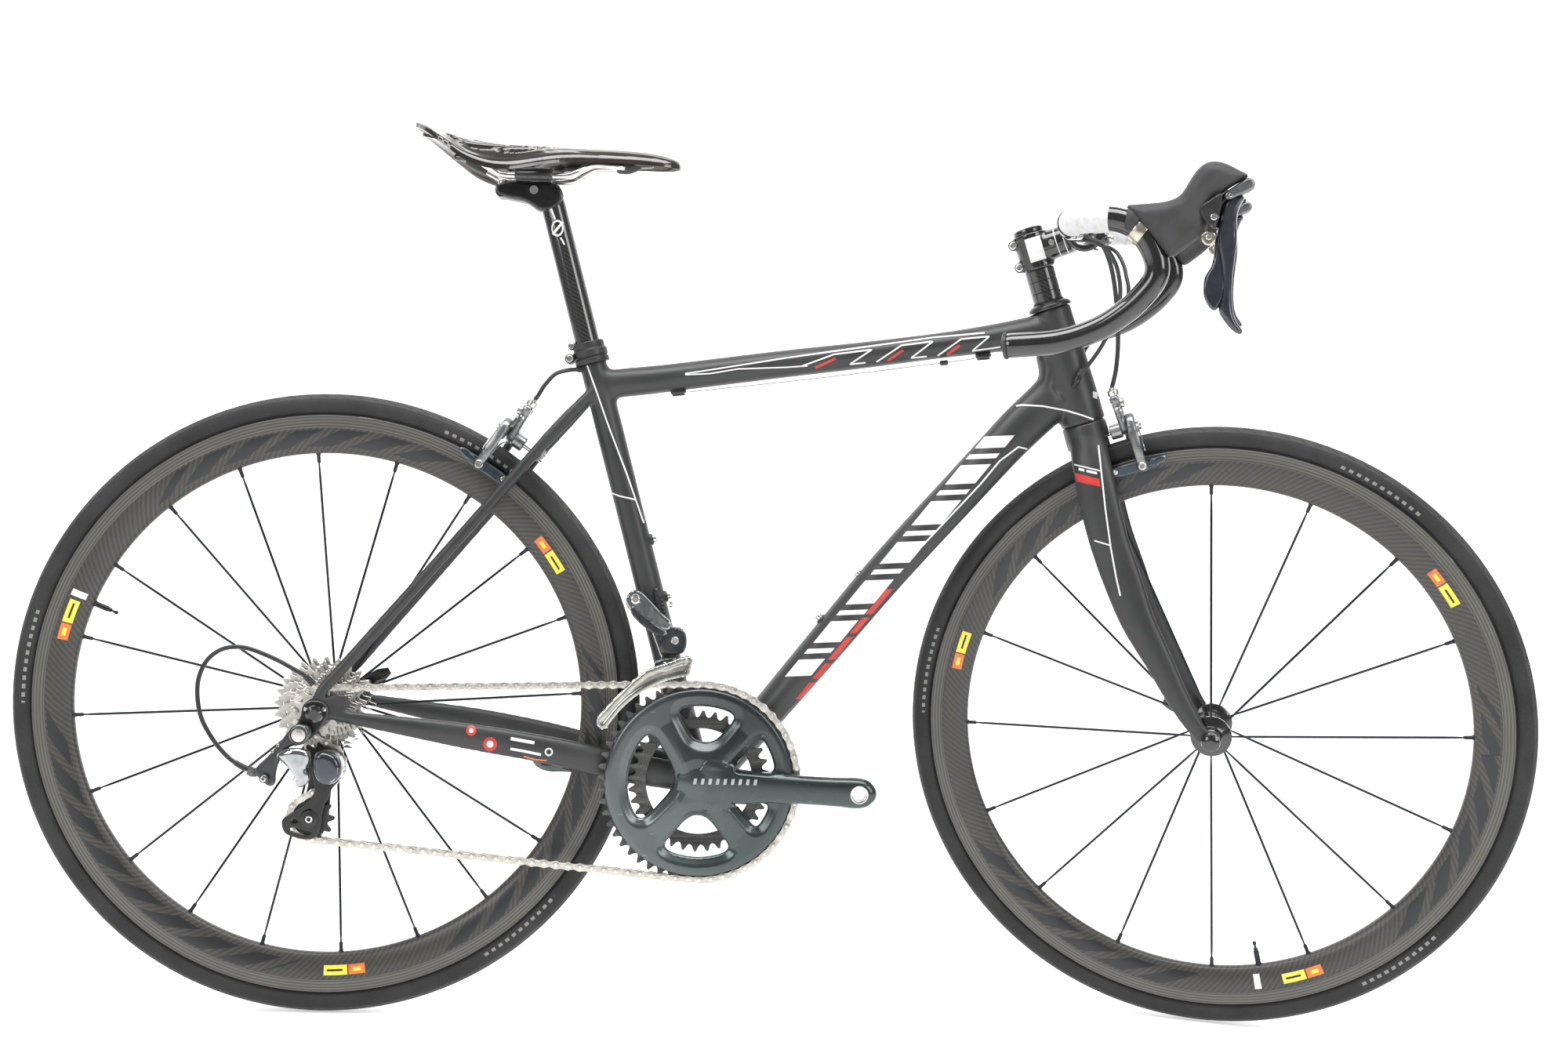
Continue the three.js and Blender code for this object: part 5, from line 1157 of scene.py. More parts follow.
def window(a0, a1, r_out, w0, w1, r_in):
    """Opening between two arms: outer arc, sides parallel to the arms, rounded inner end."""
    def side(ang, w, r, sgn):
        d, n = A([cos(ang), sin(ang)]), A([-sin(ang), cos(ang)])
        return d * math.sqrt(max(r * r - w * w, 1)) + n * w * sgn
    p = []
    b0, b1 = a0 + math.asin(w0 / r_out), a1 - math.asin(w1 / r_out)
    for t in np.linspace(b0, b1, 11):
        p.append(r_out * A([cos(t), sin(t)]))
    mid = (a0 + a1) / 2
    for r in np.linspace(r_out * 0.86, r_in, 4):
        p.append(side(a1, w1, r, -1))
    for r in np.linspace(r_in, r_out * 0.86, 4):
        p.append(side(a0, w0, r, 1))
    return A(p)


spans = [(0.0, arms[0]), (arms[0], arms[1]), (arms[1], arms[2]), (arms[2], arms[3]), (arms[3], 2 * pi)]
hole_in = []
for k, (a0, a1) in enumerate(spans):
    w0 = 15.0 if k == 0 else 16.5
    w1 = 19.0 if k == 4 else 16.5
    r_in = {0: 38, 1: 45, 2: 27, 3: 35, 4: 38}[k]
    r_out = {0: 82, 1: 82, 2: 77, 3: 80.5, 4: 79}[k]
    hole_in.append(window(a0, a1, r_out, w0, w1, r_in))


def rounded(h, n=72, rounds=14):
    """Even steps round an outline, then eased so its corners turn softly."""
    p = A(h, float)
    q = np.vstack([p, p[:1]])
    s = np.r_[0, np.cumsum(np.linalg.norm(np.diff(q, axis=0), axis=1))]
    t = np.linspace(0, s[-1], n + 1)[:-1]
    c = np.stack([np.interp(t, s, q[:, 0]), np.interp(t, s, q[:, 1])], 1)
    for _ in range(rounds):
        c = c + 0.5 * ((np.roll(c, 1, 0) + np.roll(c, -1, 0)) / 2 - c)
    return c


hole_poly = [rounded(chaikin(h, 1)) for h in hole_in]


def hdist(u, v):
    p = np.stack([u, v], 1)
    s = np.full(len(p), 1e9)
    for h in hole_poly:
        s = np.minimum(s, sdf(p, h))
    return s


arm_out = [(0, 26), (20, 27), (44, 21), (58, 17.2), (84, 15.6), (120, 15.2), (150, 15.6), (168, 17.0), (180, 14.6), (187.5, 7), (189.5, 0), (187.5, -7), (180, -14.6), (168, -17.0), (150, -15.6), (120, -15.2), (84, -15.6), (58, -17.2), (44, -22), (20, -28), (0, -26)]
arm_poly = chaikin(arm_out, 2)


def lean(u):
    return 7.0 * np.clip((u - 20) / 140.0, 0, 1)


def outer_face(u, v, d):
    """Height of the drive-side face (towards -Y, so positive is outwards) from y = -47."""
    r = np.hypot(u, v)
    hd = hdist(u, v)
    # ring cover: a rounded flat with its inner edge falling into the openings
    slope = np.clip(hd / 11.0, 0, 1)
    ringh = 1.6 + 4.8 * (slope * slope * (3 - 2 * slope)) - 2.2 * np.clip((r - 93) / 8.0, 0, 1) ** 2
    # spider: higher towards the middle
    ang_w = np.clip((72 - r) / 44.0, 0, 1)
    spider = ringh + ang_w * (3.6 + 3.2 * np.clip(hd / 16.0, 0, 1))
    # crank arm: a rounded beam leaning outwards
    s = sdf(np.stack([u, v], 1), arm_poly)
    din = np.clip(-s / 9.0, 0, 1)
    beam = 12.6 + lean(u) + 4.3 * (1 - (1 - din) ** 2.2) - 1.6 * np.clip(np.abs(v) / 16, 0, 1) ** 2
    on = (s < 0.3) | (r > 101.6)
    beam = np.where(on, beam, -50)
    blend = np.clip((u + 6) / 44.0, 0, 1)
    k = 5.0
    beam2 = beam * blend + (spider + 1.0) * (1 - blend)
    beam2 = np.where(on, beam2, -50)
    m = np.maximum(spider * (r < 102), beam2)
    # soft step at the foot of the arm
    soft = np.clip(1 - np.abs(beam2 - spider) / k, 0, 1) ** 2 * 0.9
    out = np.where(on & (r < 100), m + np.where(beam2 > -10, soft, 0), m)
    hub = 16.2 - 0.011 * (u ** 2 + v ** 2)
    out = np.maximum(out, np.where(r < 24, np.minimum(hub, out + 3.0), -50))
    edge = np.clip(1 - d / 2.4, 0, 1)
    return out - 2.4 * (1 - np.sqrt(np.maximum(0, 1 - edge ** 2)))


def inner_face(u, v, d):
    r = np.hypot(u, v)
    edge = np.clip(1 - d / 1.6, 0, 1)
    base = np.where(r < 101.2, 0.9, 0.9 + lean(u) + 5.6 * np.clip((r - 101.2) / 6.0, 0, 1))
    return base + 1.6 * (1 - np.sqrt(np.maximum(0, 1 - edge ** 2))) * (r > 103)


disc = [(101.0 * cos(t), 101.0 * sin(t)) for t in np.linspace(0.16, 2 * pi - 0.16, 100)]
outline = disc + [(x, y) for x, y in arm_poly[np.argsort(np.arctan2(arm_poly[:, 1], arm_poly[:, 0]))] if x > 101]
pedal_hole = circ(CRANK, 0, 7.2, 40)
o_ = A([BB[0], RING_Y, BB[1]])
v, f = pillow(outline, outer_face, inner_face, cell=1.25, holes=[*hole_poly, pedal_hole], rnd=0, eu=EU, ev=EV, ew=(0, -1, 0), o=o_)
a = Acc()
a.add((v, f), 0)
# spider body behind the cover, down to the inner ring
for k, ang in enumerate(arms + [0.0]):
    w = 8.6 if k < 4 else 14
    d, n = A([cos(ang), sin(ang)]), A([-sin(ang), cos(ang)])
    pts = [d * 6 + n * w * 1.5, d * 40 + n * w * 1.1, d * 70 + n * w, d * 74, d * 70 - n * w, d * 40 - n * w * 1.1, d * 6 - n * w * 1.5]
    a.add(slab([tuple(q) for q in pts], -0.2, 5.2, r=1.2, cell=2.0, rnd=2, eu=EU, ev=EV, ew=(0, -1, 0), o=A([BB[0], RING_Y + 6.2, BB[1]]) + A([0, 0, 0])), 0)
a.add(turn([(0, -42), (11.9, -42), (11.9, 57), (11.4, 58), (8.4, 58), (8.4, 50), (0, 50)], CO, Y1, 36), 1)
# chromed edge of the pedal thread; the screws that hold the rings are made with the outer ring
pc = CO + EU * CRANK
a.add(turn([(7.1, 60.6), (7.1, 71.9), (7.6, 72.3), (9.6, 72.1), (9.9, 71.2)], pc, (0, -1, 0), 48, closed=True), 1)
a.add(turn([(7.1, 60.8), (7.3, 60.8), (7.3, 71.6), (7.1, 71.6)], pc, (0, -1, 0), 48, closed=True), 1)
o = a.obj("crank_arm_drive_side", [CRANKM, STEEL], "crankset", "crank_teal_grey", ["crank_arm_right"], origin=CO, angle=50)

a = Acc()
th = np.linspace(0, 2 * pi, 241)[:-1]
inner_big = [(BB[0] + 84 * cos(t), BB[1] + 84 * sin(t)) for t in th[::2]]
a.add(cplate(teeth(ring_t, cph, BB[0], BB[1], 0.3), RING_Y - 1.05, RING_Y + 1.05, holes=[inner_big], bevel=0.35), 0)
# shift ramps: small pins near the teeth
for k in range(8):
    t = rad(20 + 45 * k)
    a.add(turn([(0, -1.6), (1.9, -1.6), (1.9, 1.2), (0, 1.2)], (BB[0] + 98 * cos(t), RING_Y, BB[1] + 98 * sin(t)), (0, 1, 0), 12), 1)
for ang in arms:
    t = ang + CRANK_A
    for r in (71.5,):
        c = A([BB[0] + r * cos(t), RING_Y + 4.0, BB[1] + r * sin(t)])
        a.add(bolt(c, (0, 1, 0), 5.2, 3.2, 0.55), 1)
o = a.obj("outer_ring_teeth", [RINGBLACK, STEEL], "crankset", "crank_teal_grey", ["chainring_big"])
a = Acc()
inner_small = [(BB[0] + 57 * cos(t), BB[1] + 57 * sin(t)) for t in th[::2]]
drill = [circ(BB[0] + 63.0 * cos(t), BB[1] + 63.0 * sin(t), 2.4, 12) for t in np.arange(18) * 2 * pi / 18 + 0.1]
a.add(cplate(teeth(small_t, cph + 0.02, BB[0], BB[1]), SMALL_Y - 1.05, SMALL_Y + 1.05, holes=[inner_small], bevel=0.35), 0)
for ang in arms:
    t = ang + CRANK_A
    c, s_ = cos(t), sin(t)
    a.add(slab([(BB[0] + c * 46 - s_ * -7, BB[1] + s_ * 46 + c * -7), (BB[0] + c * 46 - s_ * 7, BB[1] + s_ * 46 + c * 7), (BB[0] + c * 62 - s_ * 12, BB[1] + s_ * 62 + c * 12), (BB[0] + c * 62 - s_ * -12, BB[1] + s_ * 62 + c * -12)], SMALL_Y - 1.4, SMALL_Y + 1.4, r=0.8, cell=1.4, rnd=1), 0)
a.obj("inner_ring_teeth", [RINGBLACK], "crankset", "crank_teal_grey", ["chainring_small"])

# left arm
def left_face(u, v, d):
    e = np.clip(1 - d / 4.5, 0, 1)
    return 58.0 + 7.0 * np.clip((u - 20) / 140.0, 0, 1) + 1.2 - 4.4 * (1 - np.sqrt(np.maximum(0, 1 - e ** 2)))


def left_back(u, v, d):
    e = np.clip(1 - d / 2.0, 0, 1)
    return 48.0 + 7.0 * np.clip((u - 20) / 140.0, 0, 1) + 1.8 * (1 - np.sqrt(np.maximum(0, 1 - e ** 2)))


lo_ = [(-23, 0), (-20, 13), (-10, 21), (6, 23), (30, 19.5), (58, 16.6), (110, 15.4), (150, 15.6), (168, 16.8), (181, 13), (188.6, 4), (188.6, -4), (181, -13), (168, -16.8), (150, -15.6), (110, -15.4), (58, -16.6), (30, -19.5), (6, -23), (-10, -21), (-20, -13)]
a = Acc()
a.add(pillow(lo_, left_face, left_back, cell=1.5, holes=[circ(CRANK, 0, 7.2, 40), circ(0, 0, 12.4, 40)], rnd=2, eu=-EU, ev=EV, ew=(0, 1, 0), o=CO), 0)
a.add(turn([(12.4, 49), (14.2, 49), (14.6, 59.6), (13.6, 60.2), (12.0, 60.0), (11.6, 58.8), (8.4, 58.8), (8.2, 52), (0, 52)], CO, Y1, 40), 1)
for dz in (-5, 5):
    a.add(bolt(CO - EU * 18 + EV * (dz * 2.6) + Y1 * 53, -EV * np.sign(dz), 3.6, 4.6, 0.55), 2)
pl = CO - EU * CRANK
a.add(turn([(7.1, 54.6), (7.1, 65.4), (7.6, 66.2), (9.6, 66.2), (9.9, 65.4)], pl, Y1, 48), 2)
a.obj("crank_arm_left_side", [CRANKM, ALLOY_BLACK, STEEL], "crankset", "crank_teal_grey", ["crank_arm_left"], origin=CO, angle=50)
# bearing cups beside the shell
a = Acc()
for s in (-1, 1):
    n_ = 16
    a.add(turn([(12.6, 39.8), (22.0, 39.8), (22.6, 40.1), (22.6, 40.6), (21.8, 40.9), (12.6, 40.9)], CO, (0, s, 0), 64, closed=True), 0)
a.obj("bottom_bracket_cups", [ALLOY_BLACK], "frame", "black_alloy_satin")

# ------------------------------------------------------------------ cassette: eleven toothed cogs, spacers, carrier and lock ring
a = Acc()
tn = (11, 12, 13, 14, 15, 16, 17, 19, 21, 23, 25)
kph = phase_of((0, TYRE_R), pitch_r(cog_t), cog_t)
for i, t in enumerate(tn):
    y = -59.54 + 3.74 * i
    out = teeth(t, kph + i * 0.21 if t != 12 else kph, 0, TYRE_R)
    rh = pitch_r(t) - 7.5
    holes = [circ(0, TYRE_R, max(13.5, min(rh - 3, 16.8)), 36)]
    if t >= 17:
        m_ = 6 if t < 21 else 9
        rm = (16.8 + pitch_r(t) - 5) / 2 + 1.0
        sz = (pitch_r(t) - 6 - 19.5) / 2
        if sz > 1.4:
            holes += [chaikin([(rm * cos(b) + sz * cos(b) * e1 - sin(b) * e2 * sz * 1.25, TYRE_R + rm * sin(b) + sz * sin(b) * e1 + cos(b) * e2 * sz * 1.25) for e1, e2 in ((1, 1), (1, -1), (-1, -0.8), (-1, 0.8))], 2) for b in np.arange(m_) * 2 * pi / m_ + i * 0.3]
    a.add(cplate(out, y - 0.8, y + 0.8, holes=holes, bevel=0.3), 0)
    if i < 10:
        a.add(turn([(14, 0.8), (18.6, 0.8), (18.6, 2.94), (14, 2.94)], (0, y, TYRE_R), Y1, 40), 1)
for k in range(5):
    t = 2 * pi * k / 5 + 0.4
    c, s_ = cos(t), sin(t)
    a.add(slab([(c * 16 - s_ * 4, TYRE_R + s_ * 16 + c * 4), (c * 34 - s_ * 2.6, TYRE_R + s_ * 34 + c * 2.6), (c * 34 + s_ * 2.6, TYRE_R + s_ * 34 - c * 2.6), (c * 16 + s_ * 4, TYRE_R + s_ * 16 - c * 4)], -33.0, -22.6, r=0.8, cell=1.4, rnd=1), 1)


def knurl(x, k):
    return 1.0 if k != 4 else (1 + 0.05 * math.copysign(1, sin(12 * x)))


a.add(turn([(5.3, -61.6), (5.3, -61.6), (11.0, -61.6), (11.6, -61.3), (12.0, -60.9), (14.8, -60.9), (15.4, -61.4), (16.0, -61.2), (16.4, -60.4), (16.4, -59.4), (5.3, -59.4)], (0, 0, TYRE_R), Y1, 72, closed=True, ripple=knurl), 2)
a.add(turn([(5.3, -60.0), (13.4, -60.0), (13.4, -21.6), (5.3, -21.6)], (0, 0, TYRE_R), Y1, 36, closed=True), 2)
a.obj("cassette_cogs", [COGM, RINGBLACK, GREYALLOY], "freehub_cassette", "polished_steel", ["cassette"])

# ------------------------------------------------------------------ rear derailleur
LB, LP = A([-27.5, -76, 290.0]), A([15, -84, 281.0])
a = Acc()
kn = [(-4, 324.5), (-16, 325), (-24, 319), (-31, 309), (-40, 297), (-49, 287), (-57.5, 279), (-58, 271), (-50, 264.5), (-44, 258.5), (-37, 261), (-37.5, 272), (-34, 286), (-27, 299), (-16, 303.5), (-4, 308), (-1.5, 316)]
a.add(slab(kn, 73.6, 84.2, r=3.2, cell=1.0, rnd=2, ew=(0, -1, 0)), 0)
a.add(turn([(0, 0), (10.2, 0), (10.6, 0.6), (10.6, 3.2), (9.6, 4.4), (8.4, 4.8), (8.4, 4.2), (0, 4.2)], (-13.6, -82.0, 314.2), (0, -1, 0), 40), 0)
a.add(turn([(0, 0), (7.6, 0), (7.6, 2.0), (7.1, 2.7), (4.6, 2.9)], (-13.6, -84.0, 314.2), (0, -1, 0), 36), 1)
a.add(bolt((-13.6, -84.6, 314.2), (0, -1, 0), 4.9, 2.4, 0.62), 1)
# limit screws, cable clamp screw and the spring pins of the knuckle
for x, z in ((-34.5, 302.5), (-40, 296.0)):
    a.add(bolt((x, -77 - 6.2, z), (-0.35, -0.93, 0.1), 1.9, 1.7, 0.45), 1)
a.add(sweep([(-55.5, -78.6, 274.5), (-60, -78.6, 272.6), (-66, -78.2, 275.6)], [4.8, 4.4, 3.4], sides=18, sub=5), 0)
for k in range(5):
    q = A([-60.5, -78.5, 272.6]) + A([-5.0, 0, 2.8]) * (k * 0.22)
    a.add(turn([(0, -0.5), (5.0, -0.5), (5.3, 0), (5.0, 0.5), (0, 0.5)], q, (-0.9, 0, 0.42), 12), 0)
a.add(turn([(0, 0), (4.2, 0), (4.4, 0.5), (4.4, 5.5), (3.6, 6.2), (0, 6.2)], (-47.5, -84, 268.5), (0, -1, 0), 24), 0)
a.add(bolt((-47.5, -89.4, 268.5), (0, -1, 0), 3.0, 1.5, 0.55), 1)
a.obj("rear_mech_body", [RDGREY, STEEL], "frame", "caliper_grey", ["rd_b_knuckle"])

a = Acc()
ln = [(-37, 292.5), (-29, 299.6), (-15, 301.8), (-4, 299.5), (0.2, 295.5), (0.2, 286), (-3.5, 281.6), (0, 275), (-0.2, 268), (-4.5, 262), (-11, 259.6), (-15.6, 262), (-16.6, 271), (-20.5, 277.5), (-28.5, 285.5)]


def link_top(u, v, d):
    e = np.clip(1 - d / 6.0, 0, 1)
    return 92.6 - 5.2 * (1 - np.sqrt(np.maximum(0, 1 - e ** 2))) - 0.012 * (u + 16) ** 2


def link_bot(u, v, d):
    e = np.clip(1 - d / 2.0, 0, 1)
    return 85.4 + 1.6 * (1 - np.sqrt(np.maximum(0, 1 - e ** 2)))


a.add(pillow(ln, link_top, link_bot, cell=0.9, rnd=2, ew=(0, -1, 0)), 0)
a.add(slab([(-29, 292), (-21, 296), (-7, 295), (-5, 283), (-10, 273), (-16, 272), (-20, 282), (-28, 286)], 76.5, 84.2, r=1.5, cell=1.2, rnd=2, ew=(0, -1, 0)), 1)
N_ = unit([0.258, 0.576, 0.778])
a.add(turn([(0, -8.5), (2.6, -8.5), (3.0, -8.1), (3.0, 8.1), (2.6, 8.5), (0, 8.5)], LB + A([1, -4.5, 1]), N_, 16), 2)
a.add(turn([(0, -7), (2.2, -7), (2.5, -6.7), (2.5, 6.7), (2.2, 7), (0, 7)], A([-13.5, -87, 272]), N_, 16), 2)
a.add(bolt((-10.5, -90.8, 286), (0.05, -1, 0.05), 2.0, 1.2, 0.5), 2)
a.obj("rear_mech_link", [CHROME, RDGREY, STEEL], "derailleur_link", "caliper_grey", ["rd_link"])

a = Acc()
pk = [(2.2, 294), (9, 298), (17, 298), (26, 293.5), (31.4, 285), (31.2, 273), (25, 265), (15, 262), (8, 265.5), (3.2, 274)]


def pk_top(u, v, d):
    e = np.clip(1 - d / 7.0, 0, 1)
    return 91.4 - 6.4 * (1 - np.sqrt(np.maximum(0, 1 - e ** 2)))


a.add(pillow(pk, pk_top, lambda u, v, d: 66.6 + 2.0 * (1 - np.sqrt(np.maximum(0, 1 - np.clip(1 - d / 2.0, 0, 1) ** 2))), cell=1.0, rnd=2, ew=(0, -1, 0)), 0)
a.add(turn([(0, 62.4), (12.4, 62.4), (13.4, 63.4), (13.4, 66.2), (12.4, 67.2), (0, 67.2)], (16, 0, 279), (0, -1, 0), 40), 0)
a.add(slab([(5, 287), (9, 293), (17, 294.6), (24, 291), (20, 287.5), (13, 288)], 84.0, 90.6, r=1.2, cell=0.9, rnd=2, ew=(0, -1, 0)), 1)
a.add(slab([(19, 265), (25, 267.6), (29, 275), (29.6, 284), (26.6, 282), (25.4, 274), (19, 268.6)], 82.0, 90.4, r=1.4, cell=0.8, rnd=2, ew=(0, -1, 0)), 2)
a.obj("rear_mech_lower_knuckle", [LEVER_GLOSS_PAINTED_SHEEN, SATIN, CHROME], "derailleur_knuckle", "caliper_grey", ["rd_p_knuckle"])

a = Acc()
co = [(3, 298), (16, 299.5), (26, 291), (29, 279), (25, 264), (18, 256), (12.5, 246), (8, 232), (6.5, 213), (3, 203.5), (-4, 200), (-14, 200.6), (-29, 204.5), (-33.4, 211), (-34.6, 221), (-26, 226.8), (-17, 232.5), (-6, 241), (-0.5, 250), (-2, 262), (-5.5, 274), (-6, 286)]
ci = [(3, 292), (14, 288), (17, 276), (14, 250), (12, 214), (3, 199), (-13, 197.5), (-28, 208), (-31, 219), (-20, 232), (-10, 250), (-8, 284)]
ho = [[(-27, 213.6), (-19, 212.6), (-9, 209.8), (-2.5, 208.6), (-4.5, 204.4), (-17, 205.2), (-27.4, 208.4)], [(-26.5, 219.4), (-20.5, 222.8), (-15.5, 219), (-20, 216.2)], [(-14, 228.2), (-8, 232.6), (-2, 232.4), (-6, 229.8), (-11, 226)]]
a.add(slab(co, 60.3, 62.3, r=0.8, cell=0.9, holes=ho, rnd=2, ew=(0, -1, 0)), 0)
a.add(slab([(4, 274), (14, 276), (22, 268), (16, 250), (10, 236), (8, 250), (12, 260), (6, 268)], 61.9, 63.6, r=0.7, cell=0.9, rnd=2, ew=(0, -1, 0)), 0)
a.add(slab(ci, 49.8, 51.4, r=0.6, cell=1.0, holes=[[(-2, 262), (8, 262), (7, 246), (2, 236), (-4, 244)]], rnd=2, ew=(0, -1, 0)), 0)
for c in (GUIDE, TENSION):
    a.add(turn([(0, 50), (3.2, 50), (3.2, 61.2), (0, 61.2)], (c[0], 0, c[1]), (0, -1, 0), 20), 1)
    a.add(turn([(3, 61.6), (8.6, 61.6), (9.2, 62.2), (8.8, 63.2), (6.6, 63.8), (3, 63.9)], (c[0], 0, c[1]), (0, -1, 0), 36), 0)
    a.add(bolt((c[0], -62.4, c[1]), (0, -1, 0), 3.9, 2.6, 0.6), 1)
a.add(bolt((22.5, -62.0, 289.5), (0, -1, 0), 2.0, 1.6, 0.5), 1)
a.obj("rear_mech_cage", [SATIN, STEEL], "derailleur_cage", "black_alloy_satin", ["rd_cage"])
for nm, c, bd, nd in (("upper_pulley", GUIDE, "guide_wheel", "guide_pulley"), ("lower_pulley", TENSION, "tension_wheel", "tension_pulley")):
    a = Acc()
    ph = phase_of(c, pitch_r(11), 11)
    a.add(cplate(teeth(11, ph, *c), COG_Y - 1.1, COG_Y + 1.1, holes=[circ(c[0], c[1], 4.0, 24)] + [circ(c[0] + 9.6 * cos(k * pi / 3), c[1] + 9.6 * sin(k * pi / 3), 2.3, 14) for k in range(6)], bevel=0.3), 0)
    a.add(turn([(3.4, -2.4), (6.2, -2.4), (6.6, -2.0), (6.6, 2.0), (6.2, 2.4), (3.4, 2.4)], (c[0], COG_Y, c[1]), Y1, 32, closed=True), 1)
    a.obj(nm, [PLASTIC, STEEL], bd, "pulley_plastic", [nd])

# ------------------------------------------------------------------ front derailleur
a = Acc()
a.add(slab([(354, 404), (356, 428), (366, 433), (380, 430), (384.5, 420), (383, 406), (374, 401)], 18.5, 33.5, r=2.6, cell=1.1, rnd=2, ew=(0, -1, 0)), 0)
a.add(slab([(317, 462), (322, 470), (331, 471), (341, 462), (355, 447), (367, 437), (366, 428), (354, 428), (342, 436), (327, 445), (318, 452)], 25, 33.5, r=2.0, cell=1.0, holes=[circ(327.5, 460.5, 3.4, 24)], rnd=2, ew=(0, -1, 0)), 1)
a.add(slab([(324, 455), (330, 450), (352, 432), (362, 428), (360, 422), (348, 424), (334, 434), (322, 446)], 33.0, 36.5, r=1.2, cell=1.0, rnd=2, ew=(0, -1, 0)), 0)
a.add(bolt((327.5, -33.0, 460.5), (0, -1, 0), 4.8, 2.6, 0.55), 2)
a.add(bolt((371, -33.0, 418), (0, -1, 0), 4.4, 2.8, 0.55), 2)
a.add(bolt((360, -33.0, 426), (0, -1, 0), 2.2, 1.8, 0.5), 2)
a.add(bolt((380, -30, 428.6), (0.3, 0, 0.95), 1.9, 2.0, 0.5), 2)
a.add(bolt((375.4, -27, 430.6), (0.3, 0, 0.95), 1.9, 2.0, 0.5), 2)
# bracket that holds it to the seat tube
a.add(slab([(345, 470), (352, 474), (362, 440), (376, 412), (372, 402), (362, 404), (356, 430)], -4, 19.5, r=1.6, cell=1.3, rnd=1, ew=(0, -1, 0)), 0)
a.add(bolt((364, -18.5, 456), (0.95, -0.1, 0.27), 4.4, 3.0, 0.55), 2)
# cable from below to the arm
a.add(sweep([(330, -34, 462), (345, -27, 430), (372, -20, 360), (392, -14, 300)], 0.7, sides=8, sub=8), 2)
a.obj("front_mech_body", [RDGREY, CHROME, STEEL], "frame", "caliper_grey", ["front_derailleur_body"])


def ring_arc(r, a0, a1, n):
    return [(BB[0] + r * cos(t), BB[1] + r * sin(t)) for t in np.linspace(rad(a0), rad(a1), n + 1)]


a = Acc()
cg = ring_arc(115.0, 97, 141, 14) + [(302, 326), (297, 322.5), (291.5, 327), (291, 334), (309, 355), (329, 376), (341, 386), (352, 391), (366, 396), (378, 401), (388, 403), (391, 400)]


def cage_out(u, v, d):
    return 53.3 - 0.8 * (1 - np.sqrt(np.maximum(0, 1 - np.clip(1 - d / 1.0, 0, 1) ** 2))) - 0.9 * (d > 4.2) * np.clip((d - 4.2) / 1.5, 0, 1)


a.add(pillow(cg, cage_out, lambda u, v, d: 51.0 + 0 * u, cell=0.9, rnd=0, ew=(0, -1, 0)), 0)
a.add(slab(cg, 41.0, 42.6, r=0.6, cell=1.2, rnd=0, ew=(0, -1, 0)), 0)
a.add(slab([(352, 390), (366, 396), (378, 400.4), (390, 402), (390.5, 395), (374, 391), (358, 384)], 33.5, 52.9, r=1.0, cell=1.1, rnd=1, ew=(0, -1, 0)), 0)
a.add(slab([(294, 327), (301, 323), (304, 326), (297, 331)], 41.5, 52.5, r=0.8, cell=0.8, rnd=1, ew=(0, -1, 0)), 0)
a.add(slab([(350, 384), (358, 387), (372, 392), (374, 399), (366, 400), (350, 396)], 27.0, 41.5, r=1.6, cell=1.0, rnd=2, ew=(0, -1, 0)), 1)
a.add(bolt((361, -41.0, 393), (0, -1, 0), 2.4, 1.8, 0.5), 2)
a.add(bolt((384, -53.1, 398.4), (0, -1, 0), 2.2, 1.4, 0.5), 2)
a.obj("front_mech_cage", [CAGEM, RDGREY, STEEL], "front_derailleur", "polished_steel", ["fd_cage"])

# ------------------------------------------------------------------ rim brakes
FB0 = on_axis(346) + FW * 38
RB0, RBT, RBR = A([190.6, 0, 628.5]), A([-0.8387, 0, 0.5446]), A([0.5446, 0, 0.8387])


